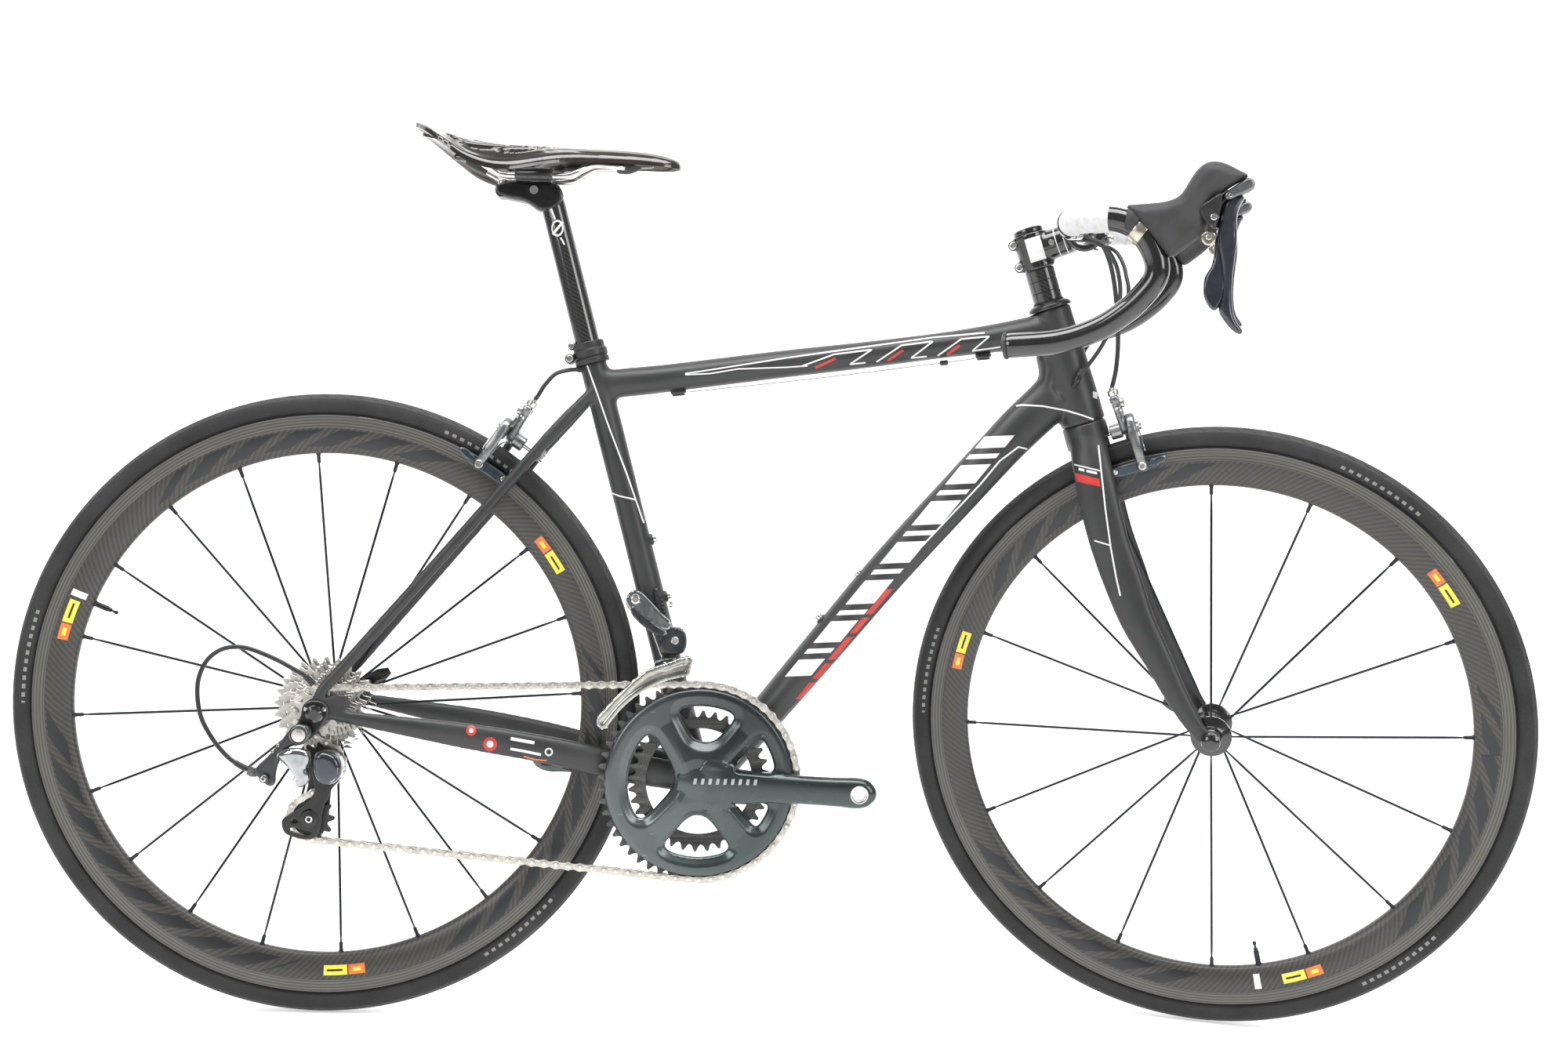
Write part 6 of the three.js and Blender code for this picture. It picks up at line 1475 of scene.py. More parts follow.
def brake(tag, o, er, et, body_r, body_l, node_r, node_l, matrix=None, base=None):
    def P(y, r, t):
        return o + Y1 * y + er * r + et * t
    k = dict(eu=Y1, ev=er, ew=et, o=o)
    right = [(-7, -8), (-9, 0), (-8, 8), (-13, 14), (-20, 17), (-28, 15.5), (-34.5, 9), (-37, -2), (-37.5, -14), (-36.5, -26), (-33.5, -38), (-30.5, -46), (-24, -47), (-22.6, -38), (-26, -30), (-28, -21), (-27.5, -12), (-23, -4.5), (-17, -4), (-12, -8)]
    left = [(8, -8), (14, -7), (20, -5), (25, -10), (27.5, -18), (27, -28), (24, -38), (23, -46), (29.5, -47.5), (33.5, -38), (36.5, -26), (37, -14), (36, -3), (32, 5), (24, 9), (14, 10.5), (4, 11.5), (-6, 14), (-13, 22), (-19, 33), (-25, 40), (-31, 39.5), (-33, 34.5), (-29, 27), (-22, 15), (-15, 4), (-9, -5)]
    for side, out, t0, t1, body, node in (("right", right, 8.4, 17.4, body_r, node_r), ("left", left, -0.6, 8.0, body_l, node_l)):
        s = -1 if side == "right" else 1
        a = Acc()

        def top(u, v, d, t1=t1):
            e = np.clip(1 - d / 3.6, 0, 1)
            return t1 + 0.8 - 3.4 * (1 - np.sqrt(np.maximum(0, 1 - e ** 2)))

        def bot(u, v, d, t0=t0):
            e = np.clip(1 - d / 2.4, 0, 1)
            return t0 + 2.0 * (1 - np.sqrt(np.maximum(0, 1 - e ** 2)))
        a.add(pillow(out, top, bot, cell=1.1, rnd=2, **k), 0)
        # pad holder and pad: a boat along the rim, held by a screw with a conical washer
        zy = s * 19.4
        pts = []
        for u in np.linspace(-24, 32, 15):
            w = 5.2 * (1 - ((u - 4) / 30.0) ** 4) ** 0.5 + 0.6
            pts.append((u, w))
        boat = [(u, -42 + w) for u, w in pts] + [(u, -42 - w) for u, w in reversed(pts)]
        kb = dict(eu=et, ev=er, ew=Y1 * s, o=o)
        a.add(slab(boat, 17.8, 23.6, r=1.8, cell=1.2, rnd=1, **kb), 1)
        bo2 = [(u * 0.95 + 0.2, (r + 42) * 0.86 - 42) for u, r in boat]
        a.add(slab(bo2, 15.1, 18.2, r=0.8, cell=1.4, rnd=1, **kb), 2)
        c = P(s * 23.4, -42, 4)
        tm = (t0 + t1) / 2
        a.add(turn([(0, 0), (6.6, 0), (7.0, 0.8), (6.2, 3.2), (5.0, 4.2), (0, 4.2)], P(s * 23.4, -42, tm), Y1 * s, 28), 1)
        a.add(bolt(P(s * 30.4, -42, tm), Y1 * s, 4.6, 3.4, 0.55), 3)
        # wing of the pad holder with its own screw
        a.add(slab([(14, -45), (20, -38), (34, -36.5), (40, -38.5), (40, -42.5), (32, -45)], 20.0, 26.5, r=1.6, cell=1.1, rnd=2, **kb), 1)
        a.add(bolt(P(s * 26.0, -41, -17), Y1 * s, 3.0, 1.8, 0.55), 3)
        if side == "left":
            # pivot block, cable adjuster and quick-release cam
            a.add(turn([(0, -12.4), (7.4, -12.4), (8.4, -11.4), (8.4, -0.4), (0, -0.4)], o, et, 32), 0)
            a.add(bolt(P(0, 0, 17.8), et, 5.2, 3.6, 0.55), 3)
            b = P(-24, 28, 4)
            a.add(turn([(0, -4), (4.4, -4), (4.8, 0), (4.8, 3.2), (5.8, 3.8), (5.9, 8.6), (5.2, 9.4), (4.0, 9.8), (4.0, 11.0), (5.9, 11.4), (6.1, 12.2), (6.1, 16.4), (5.4, 17.2), (3.4, 18.4), (3.0, 20.2), (0, 20.4)], b, er, 36, ripple=lambda x, kk: 1 + (0.045 * math.copysign(1, sin(14 * x)) if kk in (12, 13, 4, 5) else 0)), 3)
            a.add(slab([(-30, 31), (-25, 36), (-19, 33), (-18, 28), (-22, 24), (-29, 25)], 7.6, 12.8, r=1.4, cell=0.9, rnd=2, **k), 3)
            a.add(slab([(-37, 22), (-31, 26), (-29, 21), (-33, 8), (-38, 10)], 5.0, 9.0, r=1.4, cell=0.9, rnd=2, **k), 0)
        else:
            a.add(bolt(P(-24, 4.0, 17.6), et, 4.6, 3.2, 0.55), 3)
            a.add(turn([(0, 15.8), (6.0, 15.8), (6.3, 16.4), (6.0, 18.4), (0, 18.6)], P(-24, 4.0, 0), et, 28), 3)
            a.add(sweep([P(-24, 26, 5), P(-24, 15, 10), P(-24, 4, 18.6), P(-24, -8, 19.5), P(-25, -22, 19.5)], 0.8, sides=8, sub=5), 3)
            a.add(sweep([P(-25, -20, 19.5), P(-25.2, -27, 19.5)], 1.2, sides=10, sub=2), 3)
            # return spring
            a.add(sweep([P(-4, -9, 6), P(-14, -12, 7.5), P(-24, -20, 8.5), P(-29, -30, 9)], 1.1, sides=8, sub=5), 3)
        a.obj(f"{tag}_brake_{side}_arm", [GREYALLOY, BLUEGREY, PAD, STEEL], body, "caliper_grey", [node], matrix=matrix)


brake("front", FB0, AX, FW, "front_caliper_right", "front_caliper_left", "front_brake_arm_right", "front_brake_arm_left", STEER)
brake("rear", RB0, RBR, RBT, "rear_caliper_right", "rear_caliper_left", "rear_brake_arm_right", "rear_brake_arm_left")
# the fixed bolts and nuts that carry the calipers
a = Acc()
a.add(turn([(0, -30), (3.0, -30), (3.0, 14), (0, 14)], FB0, FW, 16), 0)
a.obj("front_brake_bolt", [STEEL], "steering", "polished_steel", matrix=STEER)
a = Acc()
a.add(turn([(0, -38), (3.0, -38), (3.0, 14), (0, 14)], RB0, RBT, 16), 0)
a.add(turn([(0, -38), (5.0, -38), (5.4, -37), (5.4, -33), (0, -33)], RB0, RBT, 24), 0)
a.obj("rear_brake_bolt", [STEEL], "frame", "polished_steel")

# ------------------------------------------------------------------ housings
a = Acc()
rh = [(259, -4, 706), (246.5, -8, 704.2), (233.8, -14, 699.5), (223.4, -19, 687.5), (216.4, -23, 675), tuple(RB0 + Y1 * -24 + RBR * 47.4 + RBT * 4)]
a.add(sweep(rh, 2.4, sides=14, sub=8), 0)
a.add(sweep([(275, -2, 706.5), (262, -4, 706.3), (255, -5, 705.6)], [4.4, 4.0, 3.0], sides=16, sub=5), 1)
hs = a.obj("rear_brake_outer_cable", [HOUSING, SATIN], "frame", "housing_black", ["rear_brake_housing"])
a = Acc()
rd = [(-6, -68.5, 368), (-12, -69.6, 374), (-22.2, -71, 380), (-42.5, -73, 391), (-66.8, -75, 400.6), (-82.9, -75, 402.6), (-98.8, -75, 398.5), (-112.8, -75, 385.5), (-120.3, -75, 362.4), (-117.2, -75, 332.3), (-104.7, -76, 308.2), (-88.2, -77, 289), (-73, -78, 279), (-62, -78.4, 274)]
a.add(sweep(rd, 2.4, sides=14, sub=8), 0)
a.add(sweep([rd[1], (-9, -69, 371), (-3, -67.6, 365)], [3.2, 3.4, 3.6], sides=14, sub=4), 1)
a.add(sweep([(-80, -77.6, 283), (-74, -78, 279.6), (-68, -78.2, 276.6)], [2.9, 3.3, 3.3], sides=14, sub=4), 1)
a.obj("rear_mech_outer_cable", [HOUSING, SATIN], "frame", "housing_black", ["rd_housing"])
a = Acc()
fb_end = FB0 + AX * 47.4 - Y1 * 24 + FW * 4
fbh = [(812, -86, 866), (820, -72, 864), (829, -58, 858), (837, -44, 838), (843, -33, 806), (847, -27, 762), (846.4, -24.6, 730), tuple(fb_end)]
a.add(sweep(fbh, 2.5, sides=14, sub=8), 0)
o = a.obj("front_brake_outer_cable", [HOUSING], "steering", "housing_black", ["front_brake_housing"], matrix=STEER)

for side, s in (("right", -1), ("left", 1)):
    e = on_axis(418) + Y1 * (s * 27.2) + FW * 6
    pts = [turned((812, s * 100, 864)), turned((824, s * 88, 861)), turned((836, s * 77, 853)), turned((846, s * 64, 832)), turned((848, s * 50, 800)), A([e[0] + 22, s * 40, e[2] + 36]), A([e[0] + 7, s * 30.5, e[2] + 9]), e]
    a = Acc()
    a.add(sweep(pts, 2.3, sides=14, sub=8), 0)
    if side == "right":
        q = [turned((810, -92, 862)), turned((826, -70, 858)), turned((842, -40, 828)), turned((846, -14, 792)), A([e[0] + 20, -20, e[2] + 34]), A([e[0] - 2, -14, e[2] + 6]), A([e[0] - 16, -9, e[2] - 10])]
    v = np.concatenate(a.v) * SC
    me = bpy.data.meshes.new(f"shift_outer_cable_{side}")
    me.from_pydata(v.tolist(), [], a.f)
    o = make(f"shift_outer_cable_{side}", me, [HOUSING], 0)
    tuple(on_axis(440) * SC + A([0.035, 0, 0]))
    tuple(on_axis(520) * SC + A([0.035, 0, 0]))
    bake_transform(o)
    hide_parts(f"shift_housing_{side}")
# ------------------------------------------------------------------ seat post, clamp, rails
POST_M = Matrix.Translation(Vector((seat_x(737.1) * SC, 0, 0.7371))) @ Matrix.Rotation(-math.atan2(0.2833, 1.0), 4, "Y")


def post_local(p):
    return A(POST_M.inverted() @ Vector(A(p, float) * SC)) / SC


PLN = 154.0
a = Acc()
a.add(turn([(0, -142), (13.2, -142), (13.6, -141.4), (13.6, PLN - 4), (13.4, PLN - 1), (12.6, PLN + 1), (0, PLN + 1)], (0, 0, 0), (0, 0, 1), 48), 0)
me_v = np.concatenate(a.v) * SC
me = bpy.data.meshes.new("seat_post_tube")
me.from_pydata(me_v.tolist(), [], a.f)
o = make("seat_post_tube", me, [WEAVE], 32)
o.matrix_world = POST_M
settle(o, "seat_post", ["seatpost"])

a = Acc()
# head of the post: cradle, clamp, screws
a.add(slab([(212, 872), (231, 877), (236, 888), (235, 897), (228, 904), (200, 905), (176, 904), (165, 900), (162, 894), (167, 888), (182, 885), (198, 883)], -15, 15, r=4.0, cell=1.5, rnd=2), 0)
a.add(sweep([(222.5, 0, 879), (220.5, 0, 886), (216, 0, 894)], [14.0, 14.6, 13.4], sides=30, sub=5), 0)
a.add(box_round((205, 0, 912.6), (20, 25.5, 4.2), r=2.6), 0)
a.add(box_round((205, 0, 906.0), (19, 24.8, 3.4), r=2.2), 0)
for s in (-1, 1):
    a.add(sweep([(185, s * 22, 909), (225, s * 22, 909.6)], 5.2, sides=18, sub=1), 0)
    for x in (191, 219):
        a.add(bolt((x, s * 13.5, 916.2), (0, 0, 1), 3.4, 2.4, 0.6), 1)
a.add(bolt((170, 0, 903), (0, 0, 1), 5.0, 3.0, 0.55), 1)
a.add(turn([(0, -12.6), (6.0, -12.6), (6.4, -12.0), (6.4, 12.0), (6.0, 12.6), (0, 12.6)], (170, 0, 893), Y1, 28), 0)
a.add(turn([(0, -16), (4.6, -16), (4.8, -15.4), (4.8, 15.4), (4.6, 16), (0, 16)], (205, 0, 895), Y1, 28), 1)
o = a.obj("seat_post_head", [ALLOY_BLACK, STEEL], "seat_post", "black_alloy_satin")

a = Acc()
for s in (-1, 1):
    a.add(sweep([(143, 37 * s, 924), (146, 36 * s, 922), (158, 28 * s, 915), (172, 22 * s, 908.9), (205, 22 * s, 909.2), (238, 22 * s, 910), (250, 21.5 * s, 914), (267, 15 * s, 923.5), (283, 12 * s, 924.5), (297, 8 * s, 924.4), (303, 2 * s, 925)], 3.5, sides=16, sub=6), 0)
    # sockets of the rails under the shell
    a.add(sweep([(128, 41 * s, 934), (140, 38 * s, 926.5), (150, 33 * s, 919.6)], [7.5, 6.6, 4.8], sides=18, sub=5), 1)
a.add(sweep([(303, -9, 925), (303, 0, 926), (303, 9, 925)], [4.5, 6.5, 4.5], sides=16, sub=4), 1)
a.add(sweep([(292, 0, 926), (304, 0, 926.5), (318, 0, 930)], [7.5, 8.5, 6.0], sides=18, sub=5), 1)
o = a.obj("saddle_rails_silver", [STEEL, SATIN], "seat_post", "polished_steel", ["saddle_rails"])

# saddle: one thin glossy shell with an open lattice in the middle and a twin tail
saddle_st = A([[82, 30, 958, 959], [96, 52, 955, 950], [115, 62, 951.5, 936], [136, 66, 947.5, 922], [160, 65.5, 944.6, 914], [182, 60, 943.6, 914], [204, 48, 944, 920], [228, 34, 944.2, 927], [256, 25, 944.4, 930], [290, 21.5, 944.2, 931], [320, 20, 942.6, 931], [342, 17, 939.5, 930.5], [356, 10, 935, 930], [361, 4, 931.5, 929.5]])


def saddle_z(x, y):
    w = np.interp(x, saddle_st[:, 0], saddle_st[:, 1])
    zc = np.interp(x, saddle_st[:, 0], saddle_st[:, 2])
    ze = np.interp(x, saddle_st[:, 0], saddle_st[:, 3])
    k = np.clip(np.abs(y) / np.maximum(w, 1), 0, 1.02)
    dip = 1.6 * np.exp(-(y / 9.0) ** 2) * np.clip((330 - x) / 60, 0, 1)
    return zc - (zc - ze) * k ** 2.1 - dip


# a saddle sits on 14 stations; smooth them
sx = np.linspace(82, 361, 60)
sm = catmull(saddle_st, 8)
saddle_st = sm[np.argsort(sm[:, 0])]
edge_r = [(x, -np.interp(x, saddle_st[:, 0], saddle_st[:, 1])) for x in np.linspace(88, 361, 46)]
edge_l = [(x, -y) for x, y in reversed(edge_r)]
tail = [(84, 34), (79, 26), (80, 17), (92, 9), (104, 0), (92, -9), (80, -17), (79, -26), (84, -34)]
sad_out = edge_r + edge_l + tail
lat = []
# long slots of the web: three rows of openings each side
for s in (-1, 1):
    lat.append([(128, s * 7), (150, s * 8.5), (176, s * 8), (205, s * 6.2), (236, s * 4.6), (238, s * 2.2), (205, s * 2.4), (170, s * 2.8), (128, s * 3)])
    lat.append([(120, s * 14), (150, s * 17), (172, s * 16.4), (160, s * 28), (138, s * 31), (118, s * 24)])
    lat.append([(180, s * 15.8), (214, s * 12.6), (236, s * 10.2), (226, s * 15.5), (206, s * 22), (172, s * 28)])
    lat.append([(114, s * 34), (128, s * 37), (150, s * 38), (164, s * 36), (158, s * 47), (136, s * 51), (116, s * 46)])
    lat.append([(174, s * 35), (198, s * 28.5), (212, s * 24), (200, s * 34), (184, s * 42), (168, s * 46)])


def sad_top(u, v, d):
    e = np.clip(1 - d / 2.2, 0, 1)
    return saddle_z(u, v) + 1.0 * np.clip(1 - d / 9.0, 0, 1) * (np.abs(v) > 20) - 2.0 * (1 - np.sqrt(np.maximum(0, 1 - e ** 2)))


def sad_bot(u, v, d):
    e = np.clip(1 - d / 2.2, 0, 1)
    th = 4.2 + 3.0 * np.clip(1 - d / 5.0, 0, 1)
    return saddle_z(u, v) - th + 1.8 * (1 - np.sqrt(np.maximum(0, 1 - e ** 2)))


a = Acc()
a.add(pillow(sad_out, sad_top, sad_bot, cell=1.9, holes=lat, rnd=1, eu=(1, 0, 0), ev=(0, 1, 0), ew=(0, 0, 1)), 0)
# ribs under the shell that carry the rails
for s in (-1, 1):
    a.add(sweep([(112, s * 44, 936), (128, s * 41, 935.5), (150, s * 37, 934.5), (175, s * 31, 936)], [3.2, 5.0, 4.6, 2.8], sides=14, sub=5), 0)
a.add(sweep([(296, 0, 934), (312, 0, 932.5), (332, 0, 932)], [8.0, 9.0, 6.0], sides=16, sub=5), 0)
o = a.obj("saddle_shell_web", [SADDLE], "seat_post", "saddle_shell_gloss", ["saddle_shell"], angle=40)

# ------------------------------------------------------------------ stem, spacers, top cap
BARC = on_axis(563) + FW * 60
a = Acc()
prof = [(14.6, 495.3), (23.2, 495.3), (23.5, 496.0), (23.4, 497.6), (22.6, 499.2), (20.4, 501.0), (17.6, 502.4), (17.2, 503.2), (17.2, 504.0), (16.4, 504.4), (14.6, 504.4)]
a.add(turn(prof, A0, AX, 60, closed=True), 0)
o = a.obj("headset_cover", [ALLOY_BLACK], "steering", "black_alloy_gloss", matrix=STEER)
a = Acc()
SPC = A0 + AX * 522
rot = Matrix.Rotation(math.atan2(AX[0], AX[2]), 4, "Y")
t0 = 504.4 - 522
for h0, h1 in ((t0, t0 + 10.0), (t0 + 10.1, t0 + 22.6), (t0 + 22.7, 539.8 - 522)):
    a.add(turn([(14.6, h0), (15.9, h0), (16.3, h0 + 0.4), (16.3, h1 - 0.4), (15.9, h1), (14.6, h1)], (0, 0, 0), (0, 0, 1), 56, closed=True), 0)
o = a.obj("stem_spacers", [WEAVE_S], "steering", "gloss_carbon", ["headset_spacers"], matrix=STEER @ Matrix.Translation(Vector(SPC * SC)) @ rot)

ext0 = on_axis(561.5)
ext = unit(BARC - ext0)
ring = turn([(0, 540.2), (18.0, 540.2), (18.7, 541), (18.8, 579.2), (18.2, 580.4), (0, 580.4)], A0, AX, 44)
barrel = sweep([ext0 - ext * 2, ext0 + ext * 20, ext0 + ext * 42, BARC - ext * 4], [16.6, 16.6, 16.2, 16.6], sides=28, sub=4)
face = turn([(0, -22), (20.6, -22), (21.2, -21.2), (21.2, 21.2), (20.6, 22), (0, 22)], BARC, Y1, 44)
sol = [ring, barrel, face]
for t in (547.5, 572.5):
    c = on_axis(t) - FW * 18.5
    sol.append(turn([(0, -12.5), (5.4, -12.5), (5.8, -11.8), (5.8, 11.8), (5.4, 12.5), (0, 12.5)], c, Y1, 24))
    sol.append(box_round(on_axis(t) - FW * 12.5, (8, 12.4, 5.6), ex=FW, ez=AX, r=2.4))
for sy in (-1, 1):
    for sz in (-1, 1):
        c = BARC + FW * 18.0 + Y1 * (sy * 14.5) + AX * (sz * 14.0)
        sol.append(sweep([c - FW * 16, c - FW * 4, c + FW * 4.2], [5.0, 5.6, 5.0], sides=18, sub=3))
stem = fuse("stem_body", sol, 1.3, [GLOSS], "steering", ["stem"], matrix=STEER, near=[(BARC - ext * 16, 26, 8), (ext0 + ext * 14, 24, 8), (on_axis(560) - FW * 14, 18, 5)])
a = Acc()
for t in (547.5, 572.5):
    c = on_axis(t) - FW * 18.5
    a.add(bolt(c - Y1 * 12.3, (0, -1, 0), 4.2, 2.6, 0.6), 0)
    a.add(turn([(0, 12.0), (4.0, 12.0), (4.0, 14.0), (3.4, 14.6), (0, 14.6)], c, Y1, 20), 0)
for sy in (-1, 1):
    for sz in (-1, 1):
        c = BARC + FW * 22.0 + Y1 * (sy * 14.5) + AX * (sz * 14.0)
        a.add(bolt(c, FW, 3.8, 3.0, 0.6), 0)
# gap of the face plate
for s in (-1, 1):
    a.add(box_round(BARC + FW * 5.0 + AX * (s * 18.8), (0.9, 20.5, 2.8), ex=FW, ez=AX, r=0.3), 1)
# rings round the extension
for q in (27.5, 36.0):
    c = ext0 + ext * q
    a.add(turn([(16.2, -0.5), (16.9, -0.5), (16.95, 0), (16.9, 0.5), (16.2, 0.5)], c, ext, 48, closed=True), 2)
# blank label plate on both sides and the small screw beside it
for s in (-1, 1):
    v0, f0 = slab([(-8.5, -13), (8.5, -13), (8.5, 13), (-8.5, 13)], 0, 0.7, r=0.3, cell=1.0, rnd=0, eu=FW, ev=AX, ew=(0, s, 0), o=on_axis(561.5) + FW * 4.0 + Y1 * (s * 0))
    v0 = A(v0)
    loc = v0 - on_axis(561.5)
    uu = loc @ FW
    vv = loc @ AX
    depth = np.abs(loc[:, 1])
    wall = np.maximum(np.sqrt(np.maximum(0, 18.9 ** 2 - uu ** 2)), np.where(uu > 0, np.sqrt(np.maximum(0, 16.9 ** 2 - vv ** 2)), 0))
    v0[:, 1] = s * (wall - 0.9 + depth * 2.2)
    a.add((v0, f0), 2)
    pc_ = on_axis(563.5) + FW * 22.5 + Y1 * (s * 15.0)
    a.add(turn([(0, -2.5), (3.0, -2.5), (3.2, -2.0), (3.2, 1.9), (2.8, 2.5), (0, 2.6)], pc_, (0, s, 0), 20), 0)
a.obj("stem_screws_and_label", [STEEL, DARKM, WHITE], "steering", "polished_steel", matrix=STEER)
a = Acc()
a.add(turn([(0, 580.5), (15.6, 580.5), (16.4, 581.2), (16.6, 583.0), (16.0, 585.2), (14.6, 586.4), (8.4, 586.6), (7.8, 585.2), (0, 585.2)], A0, AX, 48), 0)
a.add(bolt(on_axis(585.0), AX, 5.0, 2.2, 0.55), 1)
a.obj("top_cap_and_screw", [GLOSS, STEEL], "steering", "black_alloy_gloss", ["top_cap"], matrix=STEER)

# ------------------------------------------------------------------ handlebar
def bar_path(s):
    return [(BARC[0], 0, BARC[2]), (BARC[0], 60 * s, BARC[2]), (BARC[0], 120 * s, BARC[2]), (BARC[0] - 4, 145 * s, BARC[2] - 0.3), (806, 165 * s, 878.5), (812, 192 * s, 879.6), (830, 206 * s, 880.4), (850.4, 210 * s, 880.5), (870.8, 210 * s, 872.9), (885.5, 210 * s, 855.5), (892.4, 210 * s, 838), (891, 210 * s, 824.5), (882.7, 210 * s, 811), (865.5, 210 * s, 793.2), (838.2, 210 * s, 774.6), (801.4, 210 * s, 761.5), (749.7, 210 * s, 755.5)]


BX = BARC[0]
left = bar_path(1)
right = bar_path(-1)
whole = [p for p in reversed(right)][:-1] + left
a = Acc()
# bare black bar: middle part and the hooks
line = catmull(whole, 8)
rr = np.full(len(line), 12.0)
rr = np.where(np.abs(line[:, 1]) < 34, 15.6, np.where(np.abs(line[:, 1]) < 60, np.interp(np.abs(line[:, 1]), [34, 60], [15.6, 12.0]), rr))
a.add(sweep(line, list(rr), sides=28, sub=1), 0)
for s in (-1, 1):
    e = A(bar_path(s)[-1])
    dd = unit(A(bar_path(s)[-1]) - A(bar_path(s)[-2]))
    a.add(turn([(0, -1), (11.9, -1), (13.0, -0.4), (13.4, 0.8), (13.0, 2.4), (11.0, 3.6), (6.0, 4.2), (0, 4.3)], e - dd * 1.5, dd, 36), 1)
o = a.obj("handlebar_tube", [GLOSS, SATIN], "steering", "gloss_carbon", ["handlebar"], matrix=STEER)

# tape: white wrap on the ramps beside the levers; the dark cork-like tape only makes the end strip, and the lower hooks
# stay bare
DTAPE = surface("bar_tape_black", (0.016, 0.016, 0.017), (0.026, 0.026, 0.027), rough=(0.42, 0.56), scale=80, fine=1300, bump=0.35, depth=0.00012, spec=0.45)


def wrap(path, r0, pitch, s, mats, name, lap=0.9, hand=1):
    """Wound tape: the radius steps at every lap, slanted round the tube."""
    p = catmull(path, 10)
    t, e, f = frames(p)
    ds = np.r_[0, np.cumsum(np.linalg.norm(np.diff(p, axis=0), axis=1))]
    n = 36
    m = int(ds[-1] / 1.1)
    q = np.linspace(0, ds[-1], m)
    P = np.stack([np.interp(q, ds, p[:, k]) for k in range(3)], 1)
    E = np.stack([np.interp(q, ds, e[:, k]) for k in range(3)], 1)
    F = np.stack([np.interp(q, ds, f[:, k]) for k in range(3)], 1)
    ang = np.arange(n) * 2 * pi / n
    rings = []
    for k in range(m):
        ph = (q[k] / pitch + hand * ang / (2 * pi)) % 1.0
        r = r0 + lap * (1 - ph) ** 1.2 * np.clip(ph / 0.06, 0, 1)
        if k in (0, m - 1):
            r = r * 0 + r0 - 0.4
        rings.append(P[k] + E[k] * (np.cos(ang) * r)[:, None] + F[k] * (np.sin(ang) * r)[:, None])
    a = Acc()
    a.add(loft(rings), 0)
    return a.obj(name, mats, "steering", "black_alloy_satin" if mats[0] is DTAPE else "gloss_carbon", matrix=STEER, angle=28)


for s, tag in ((-1, "right"), (1, "left")):
    bp = bar_path(s)
    wrap([(804.5, 158 * s, 878.4), bp[4], bp[5], bp[6], (838, 208.4 * s, 880.5), (846, 209.6 * s, 880.6)], 13.0, 17, s, [TAPE], f"bar_tape_ramp_{tag}", hand=s)
    a = Acc()
    # clamp band of the lever and end strip of the tape
    c = A([874.6, 210 * s, 869.4])
    dd = unit(A(bp[9]) - A(bp[7]))
    a.add(turn([(12.1, -5.5), (13.4, -5.5), (13.6, -5.0), (13.6, 5.0), (13.4, 5.5), (12.1, 5.5)], c, dd, 40, closed=True), 0)
    a.add(turn([(12.1, -1.2), (14.0, -1.2), (14.1, 0), (14.0, 1.2), (12.1, 1.2)], A([804, 159 * s, 878.3]), unit(A(bp[5]) - A(bp[4])), 40, closed=True), 1)
    a.obj(f"lever_clamp_band_{tag}", [BRASS, DTAPE], "steering", "polished_steel", matrix=STEER)

# ------------------------------------------------------------------ hoods, shift units, levers
hood_out = [(859.5, 894), (870, 894.8), (880, 895.6), (893, 896.8), (904, 899.6), (911, 904), (915.5, 911), (919.5, 919), (925, 927.6), (931, 933.4), (938, 935.8), (946, 935.4), (955, 932.2), (964, 927.6), (971.6, 924), (972.6, 921), (966, 917), (957, 911.4), (949, 905.5), (943, 900.5), (938.5, 893), (937, 882), (936, 872), (931.5, 866), (926, 860), (916, 852), (907, 844.6), (901, 846), (894, 854), (886, 863), (876, 873.5), (866.5, 884)]
lever_out = [(950.7, 897.5), (949.2, 888.7), (946.5, 871), (948, 856), (952.4, 836), (954.2, 820), (952.8, 805), (951.6, 796), (955, 789), (962.5, 780), (968, 775.4), (973, 773.4), (975.8, 775.0), (974.6, 778.8), (970, 784.4), (966.4, 791.5), (964.4, 802), (963.2, 822), (964.2, 841), (965.8, 860), (965.2, 872), (964, 883), (966.2, 894), (971, 901.6), (968, 905), (958, 901.5)]
paddle_out = [(944.5, 867), (950, 867), (951.4, 852), (953.6, 840), (957, 828), (957.4, 814), (954, 802), (949.4, 794.4), (944.5, 796.4), (940, 802.5), (936.8, 811), (936.0, 821), (938.5, 830), (943.0, 837), (945.4, 848)]
unit_out = [(938.4, 892), (943, 899.6), (950, 905.4), (960, 912.4), (971.5, 920.4), (976.4, 918.6), (978.4, 914), (976.6, 908.6), (969, 904.6), (961, 901), (954, 897), (950, 886), (948.4, 874), (943.6, 871.6), (938.4, 878)]


def blob(outline, half, edge, crown, y, cell=1.4, rnd=1, dent=None):
    def t_(u, v, d):
        k = np.clip(1 - d / edge, 0, 1)
        h = half * np.sqrt(np.maximum(0.0, 1 - k ** 2)) + crown * np.clip(d / 12.0, 0, 1)
        return h if dent is None else h - dent(u, v)
    return pillow(outline, t_, lambda u, v, d: -t_(u, v, d), cell=cell, rnd=rnd, ew=(0, 1, 0), o=(0, y, 0))


